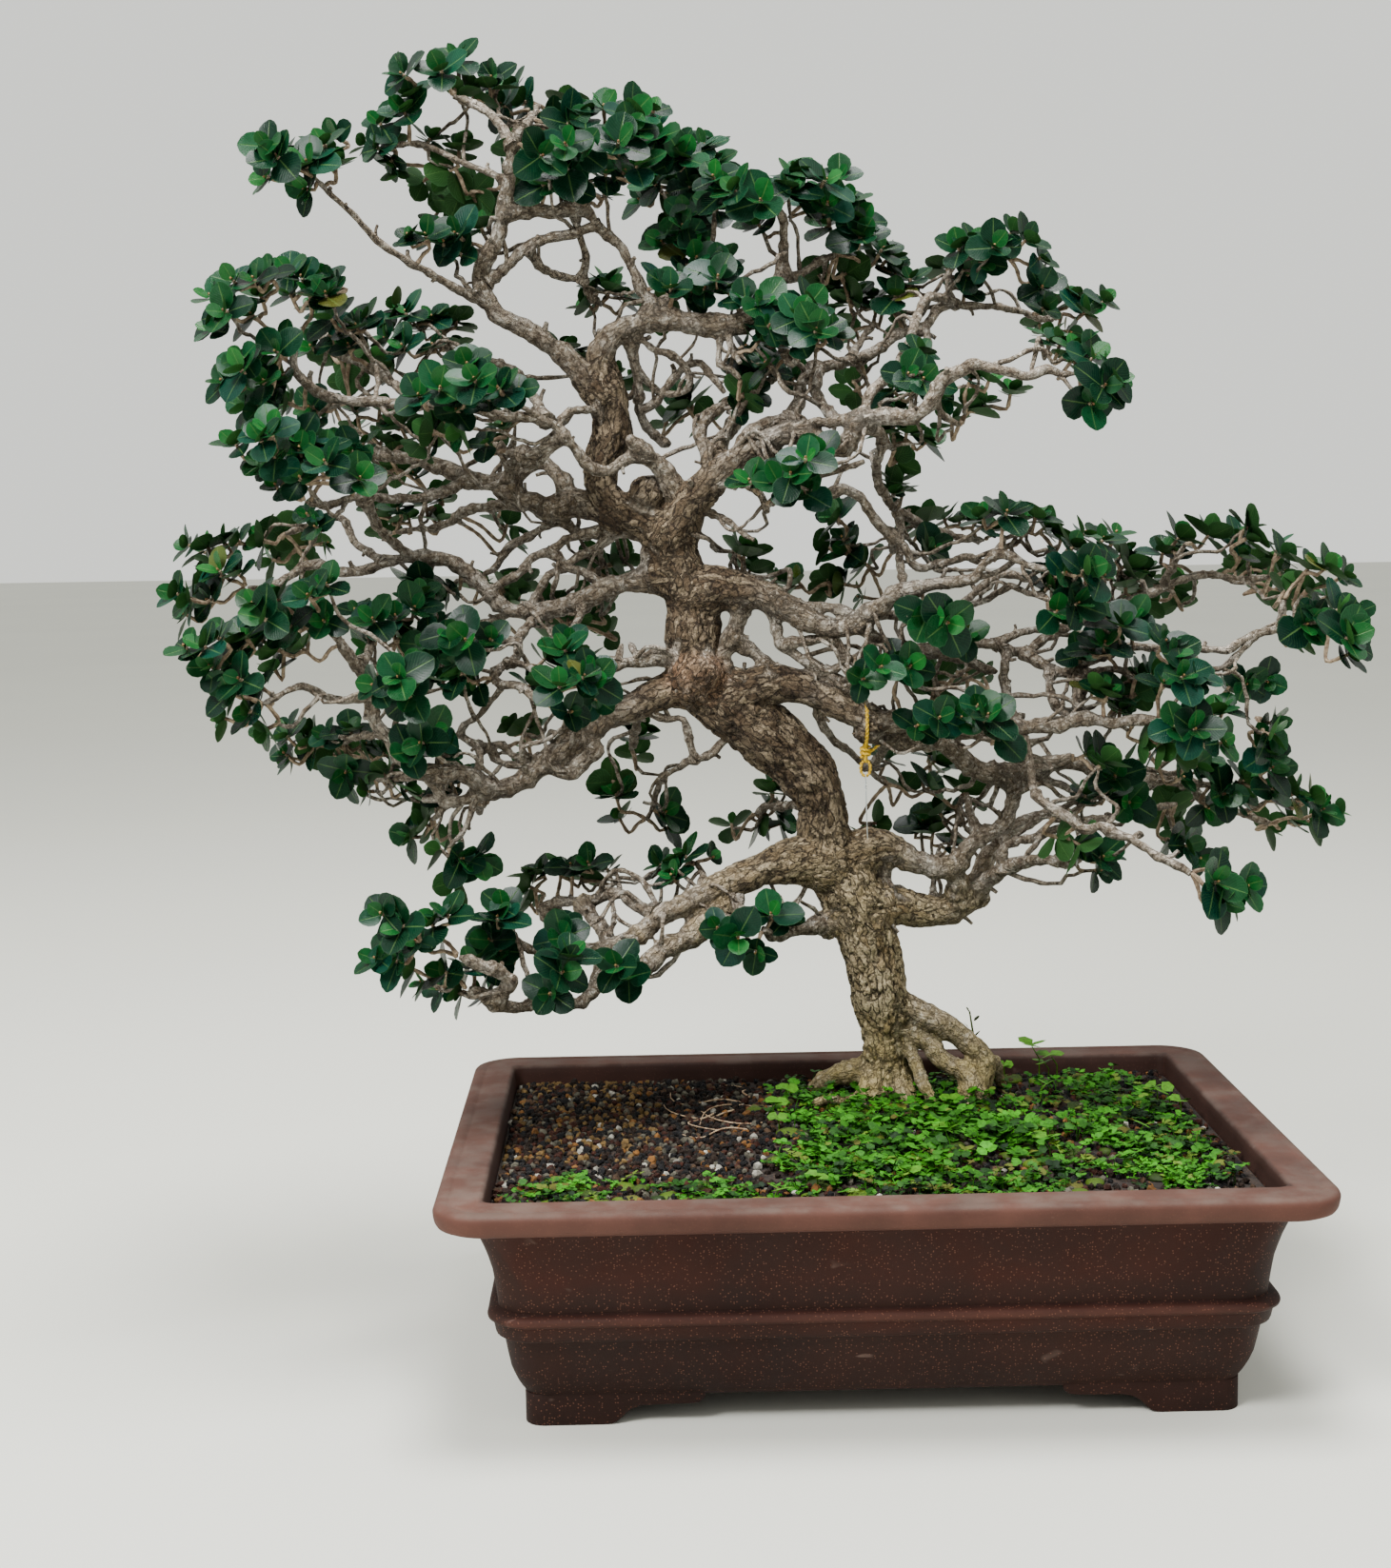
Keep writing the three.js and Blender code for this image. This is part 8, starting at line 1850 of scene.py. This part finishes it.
def moss_cushion(heap, pattern, rng, x, y, radius):
    """A low, lumpy cushion."""
    points = pattern["points"] * (radius * rng.uniform(0.8, 1.3), radius * rng.uniform(0.8, 1.3), 1)
    lumps = soft_noise((points + (x, y, 0)) / 5.5, 71)
    points[:, 2] *= rng.uniform(2.4, 3.8) + 1.4 * lumps
    points[:, :2] *= (1 + 0.2 * soft_noise(points / 8 + x, 72))[:, None]
    z = bed_height(x, y) + 1.2
    tint = (rng.uniform(0, 1), 0.25 * (rng.random() > 0.8), 0, 1)
    heap.add(points + (x, y, z), pattern["faces"], 1, tint)


def tall_plants(heap, leaflet, rng):
    """The few small plants that stand above the rest, and a dark sprig behind the arched root."""
    for x, y, height, size in TALL_WEEDS:
        base = np.array([x, y, bed_height(x, y)])
        tip = base + (height * rng.uniform(-0.4, 0.4), -height * 0.2, height)
        tint = (rng.uniform(0.7, 1), 0.1, 0, 1)
        heap.add(*tube([base, base + (0, 0, height * 0.6), tip], [0.6, 0.5, 0.4], 5), 0, tint)
        for k in range(3):
            a = tau * (k / 3 + rng.uniform(0, 0.1))
            along = unit(np.array([cos(a), sin(a), rng.uniform(0.1, 0.5)]))
            set_leaflet(heap, leaflet, rng, tip, along, size, tint)
    dark = (0.1, 0.1, 0, 1)
    stem = [[101, 130, 150], [99, 128, 178], [101, 126, 198], [98, 125, 216]]
    heap.add(*tube(stem, [1.3, 1.1, 0.9, 0.7], 6), 0, dark)
    for k, (x, z) in enumerate(((98, 188), (103, 195), (96, 202), (103, 208), (98, 215))):
        along = unit(np.array([(-1) ** (k + 1) * 0.8, -0.2, 1.0]))
        set_leaflet(heap, leaflet, rng, np.array([x * 0.5 + 50, 126, z]), along, 8 - 0.5 * k, dark)


class BONSAI_OT_ground_cover(bpy.types.Operator):
    """Lets moss, clover-like weeds and small fronds creep over the soil"""

    bl_idname = "bonsai.ground_cover"
    bl_label = "Ground cover"

    def execute(self, context):
        settings = context.scene.bonsai_bed
        rng = np.random.default_rng(COVER_SEED)
        round_leaflet, pointed_leaflet = leaflet_pattern(6), leaflet_pattern(5)
        clear_selection()
        bpy.ops.mesh.primitive_ico_sphere_add(subdivisions=2, radius=1)
        cushion = shape_of(bpy.context.object)
        coats = [
            plant_material("weed_leaves", settings.weed, srgb(7, 32, 6), 320.0),
            plant_material("moss_cushions", settings.moss, srgb(26, 44, 10), 900.0),
        ]
        for name, patches in (
            ("ground_cover_right", ((RIGHT_MAT, 1.0, 150, 0.6), (ROOT_MAT, 0.24, 40, 0.45))),
            ("ground_cover_left", ((LEFT_MAT, 0.09, 60, 0.85),)),
        ):
            heap = Heap()
            for outline, share, cushions, fronds in patches:
                xs, ys = zip(*outline)
                for _ in range(cushions):
                    x, y = rng.uniform(min(xs), max(xs)), rng.uniform(min(ys), max(ys))
                    if inside_outline(outline, x, y):
                        moss_cushion(heap, cushion, rng, x, y, rng.uniform(4, 11))
                made = 0
                while made < settings.weeds * share:
                    x, y = rng.uniform(min(xs), max(xs)), rng.uniform(min(ys), max(ys))
                    thin = soft_noise(np.array([[x / 34, y / 34, 3.0]]), 91)[0]
                    if not inside_outline(outline, x, y) or rng.random() < 0.45 - 1.1 * thin:
                        continue
                    if rng.random() < fronds:
                        weed(heap, pointed_leaflet, rng, x, y, "frond")
                    else:
                        weed(heap, round_leaflet, rng, x, y, "clover")
                    made += 1
            if name.endswith("right"):
                tall_plants(heap, round_leaflet, rng)
            cover = heap.piece(name.replace("ground_cover", "moss_and_weeds"), "plant_look")
            finished(cover, 50, coats, "ground_cover", name)
        return {"FINISHED"}


# TIE AND GUY LINE


def tie_middle():
    flat, depth, _ = flat_line("tied")
    i = next(k for k, (x, _) in enumerate(flat) if x > TIE_AT) - 1
    t = (TIE_AT - flat[i][0]) / (flat[i + 1][0] - flat[i][0])
    z = flat[i][1] + (flat[i + 1][1] - flat[i][1]) * t
    return placed(TIE_AT, z, depth[i] + (depth[i + 1] - depth[i]) * t)


def strands(heap, path, thickness, turns_apart):
    """Two strands laid round each other along a path."""
    points, _ = curved(np.array(path, float), np.ones(len(path)), 0.9)
    gone = run_of(points)
    frames = frames_along(points)
    for phase in (0, pi):
        wound = []
        for p, g, (_, side, up) in zip(points, gone, frames):
            a = phase + tau * g / turns_apart
            wound.append(p + thickness * 0.42 * (side * cos(a) + up * sin(a)))
        heap.add(*tube(wound, np.full(len(wound), thickness * 0.56), 6))


class BONSAI_OT_tie(bpy.types.Operator):
    """Ties the yellow cord round its limb and hangs the clear line from its eye"""

    bl_idname = "bonsai.tie"
    bl_label = "Tie and line"

    def execute(self, context):
        middle = tie_middle()
        heap = Heap()
        turns = [radians(-50 + 230 * k / 12) for k in range(13)]
        loop = [middle + (0, TIE_HALF_DEPTH * cos(a), TIE_HALF_HEIGHT * sin(a)) for a in turns]
        loop += [middle + (0, -y, z) for y, z in ((15.6, -5), (14, -11), (10, -17))]
        start = middle + (0.6, 1.2, -TIE_HALF_HEIGHT - 8)
        stop = middle + (-0.6, -1.2, -TIE_HALF_HEIGHT - 8)
        strands(heap, [start, *loop, stop], 1.5, 7)
        knot = [
            middle + (3.1 * cos(a), 3.0 * sin(a), -22.5 - 1.55 * a / tau * 2)
            for a in np.linspace(0, tau * 2.6, 30)
        ]
        strands(heap, knot, 1.5, 7)
        eye_middle = middle + (0, 0, -EYE_DROP)
        turns = [pi / 2 + tau * k / 16 for k in range(17)]
        eye = [eye_middle + (EYE_HALF[0] * cos(a), 0, EYE_HALF[1] * sin(a)) for a in turns]
        strands(heap, eye, 1.3, 6)
        heap.add(*tube([middle + (0, 0, -21), middle + (0, 0, -34)], [2.2, 1.8], 8))
        strands(heap, [middle + (2, 0, -28), middle + (8, -1, -23), middle + (12, -2, -19)], 1.3, 6)
        dark, light = srgb(150, 112, 6), srgb(228, 188, 24)
        fibres = {"relief": (0.5, 0.0004), "stretch": (1, 1, 0.3), "Roughness": 0.55}
        coat = two_tone("yellow_cord", (1400.0, 3.0, 0.6), (0.3, 0.7), dark, light, **fibres)
        finished(heap.piece("yellow_tie", "cord_look"), 60, [coat], "tie_cord", "tie")

        line = Heap()
        lowest = eye_middle + (0, 0, -EYE_HALF[1])
        ring_middle = lowest + (0, 0, -0.8)
        ring = [ring_middle + (0, 2.4 * cos(a), 2.4 * sin(a)) for a in np.linspace(0, tau, 17)]
        line.add(*tube(ring, np.full(17, 0.4), 6))
        foot = placed(*GUY_FOOT)
        top = ring_middle + (0, 0, -2.4)
        line.add(*tube([top, top + (foot - top) * 0.5, foot], [0.45, 0.42, 0.45], 8))
        wraps = [top + (0.75 * cos(a), 0.75 * sin(a), -0.35 * a) for a in np.linspace(0, tau * 3, 28)]
        line.add(*tube(wraps, np.full(28, 0.35), 5))
        dark, light = srgb(200, 208, 210), srgb(240, 243, 243)
        glassy = {"Roughness": 0.25, "Transmission_Weight": 0.35, "IOR": 1.5}
        coat = two_tone("clear_line", (240.0, 2.0, 0.5), (0.3, 0.7), dark, light, **glassy)
        finished(line.piece("clear_guy_line", "cord_look"), 60, [coat], "guy_line", "guy_line")
        return {"FINISHED"}


# STAGE


class BONSAI_OT_stage(bpy.types.Operator):
    """Sets the floor, the soft light and the camera"""

    bl_idname = "bonsai.stage"
    bl_label = "Stage"

    def execute(self, context):
        settings = context.scene.bonsai_stage
        clear_selection()
        bpy.ops.mesh.primitive_plane_add(size=40, location=(0, 0, 0))
        floor = bpy.context.object
        floor.name = "floor"
        darker = [v * 0.97 for v in settings.floor]
        coated(floor, two_tone("pale_floor", (0.8, 2.0, 0.5), (0.3, 0.7), settings.floor, darker, Roughness=0.7))
        world = bpy.data.worlds.new("soft_sky")
        world.use_nodes = True
        n = Nodes(world.node_tree)
        height = n.split(n.add("ShaderNodeTexCoord").outputs["Generated"])[2]
        above = n.steps(height, 0.0, 0.9, 0.58 * settings.light, 1.2 * settings.light)
        seen = n.add("ShaderNodeLightPath").outputs["Is Camera Ray"]
        strength = n.math("MULTIPLY_ADD", n.math("SUBTRACT", BACKDROP, above), seen, above)
        n.feed(n.tree.nodes["Background"], Color=(0.87, 0.88, 0.83, 1), Strength=strength)
        context.scene.world = world
        for name, place, size, energy in (
            ("window", (-1.6, -1.8, 2.7), 1.1, 150),
            ("overhead", (0.1, -0.2, 3.2), 1.2, 135),
            ("fill", (2.6, -1.6, 1.5), 2.0, 10),
        ):
            bpy.ops.object.light_add(type="AREA", location=place)
            lamp = context.object
            lamp.name = name
            lamp.data.size = size
            lamp.data.energy = energy * settings.light
            lamp.rotation_euler = (Vector((0, 0, 0.5)) - Vector(place)).to_track_quat("-Z", "Y").to_euler()
        pitch, turn, roll = (radians(a) for a in (EYE_PITCH_DOWN, EYE_TURN_RIGHT, EYE_ROLL))
        ahead = Vector((sin(turn) * cos(pitch), cos(turn) * cos(pitch), -sin(pitch)))
        right = Vector((cos(turn), -sin(turn), 0))
        right, up = rolled(right, right.cross(ahead), roll)
        bpy.ops.object.camera_add()
        camera = context.object
        camera.name = "camera"
        camera.matrix_world = Matrix.Translation(to_row([EYE])[0]) @ Matrix((right, up, -ahead)).transposed().to_4x4()
        camera.data.lens = LENS
        camera.data.sensor_width = 36
        camera.data.clip_end = 60
        context.scene.camera = camera
        clear_selection()
        return {"FINISHED"}


STEPS = (
    BONSAI_OT_stage,
    BONSAI_OT_pot,
    BONSAI_OT_drain_mesh,
    BONSAI_OT_soil,
    BONSAI_OT_ground_cover,
    BONSAI_OT_wood,
    BONSAI_OT_foliage,
    BONSAI_OT_tie,
)
SETTINGS = {
    "bonsai_pot": PotSettings,
    "bonsai_tree": TreeSettings,
    "bonsai_bed": BedSettings,
    "bonsai_stage": StageSettings,
}


class BONSAI_PT_panel(bpy.types.Panel):
    """Lists the bonsai's pieces and their settings"""

    bl_label = "Natal plum bonsai"
    bl_idname = "BONSAI_PT_panel"
    bl_space_type = "VIEW_3D"
    bl_region_type = "UI"
    bl_category = "Bonsai"

    def draw(self, context):
        for step in STEPS:
            self.layout.operator(step.bl_idname)
        for name, group in SETTINGS.items():
            box = self.layout.box()
            for label in group.__annotations__:
                box.prop(getattr(context.scene, name), label)


def register():
    for name, group in SETTINGS.items():
        bpy.utils.register_class(group)
        setattr(bpy.types.Scene, name, PointerProperty(type=group))
    for step in STEPS:
        bpy.utils.register_class(step)
    bpy.utils.register_class(BONSAI_PT_panel)


def unregister():
    bpy.utils.unregister_class(BONSAI_PT_panel)
    for step in reversed(STEPS):
        bpy.utils.unregister_class(step)
    for name, group in SETTINGS.items():
        delattr(bpy.types.Scene, name)
        bpy.utils.unregister_class(group)


def main():
    register()
    for step in STEPS:
        group, name = step.bl_idname.split(".")
        if getattr(getattr(bpy.ops, group), name)() != {"FINISHED"}:
            raise RuntimeError(f"{step.bl_label} was not finished")
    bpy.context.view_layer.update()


if __name__ == "__main__":
    main()
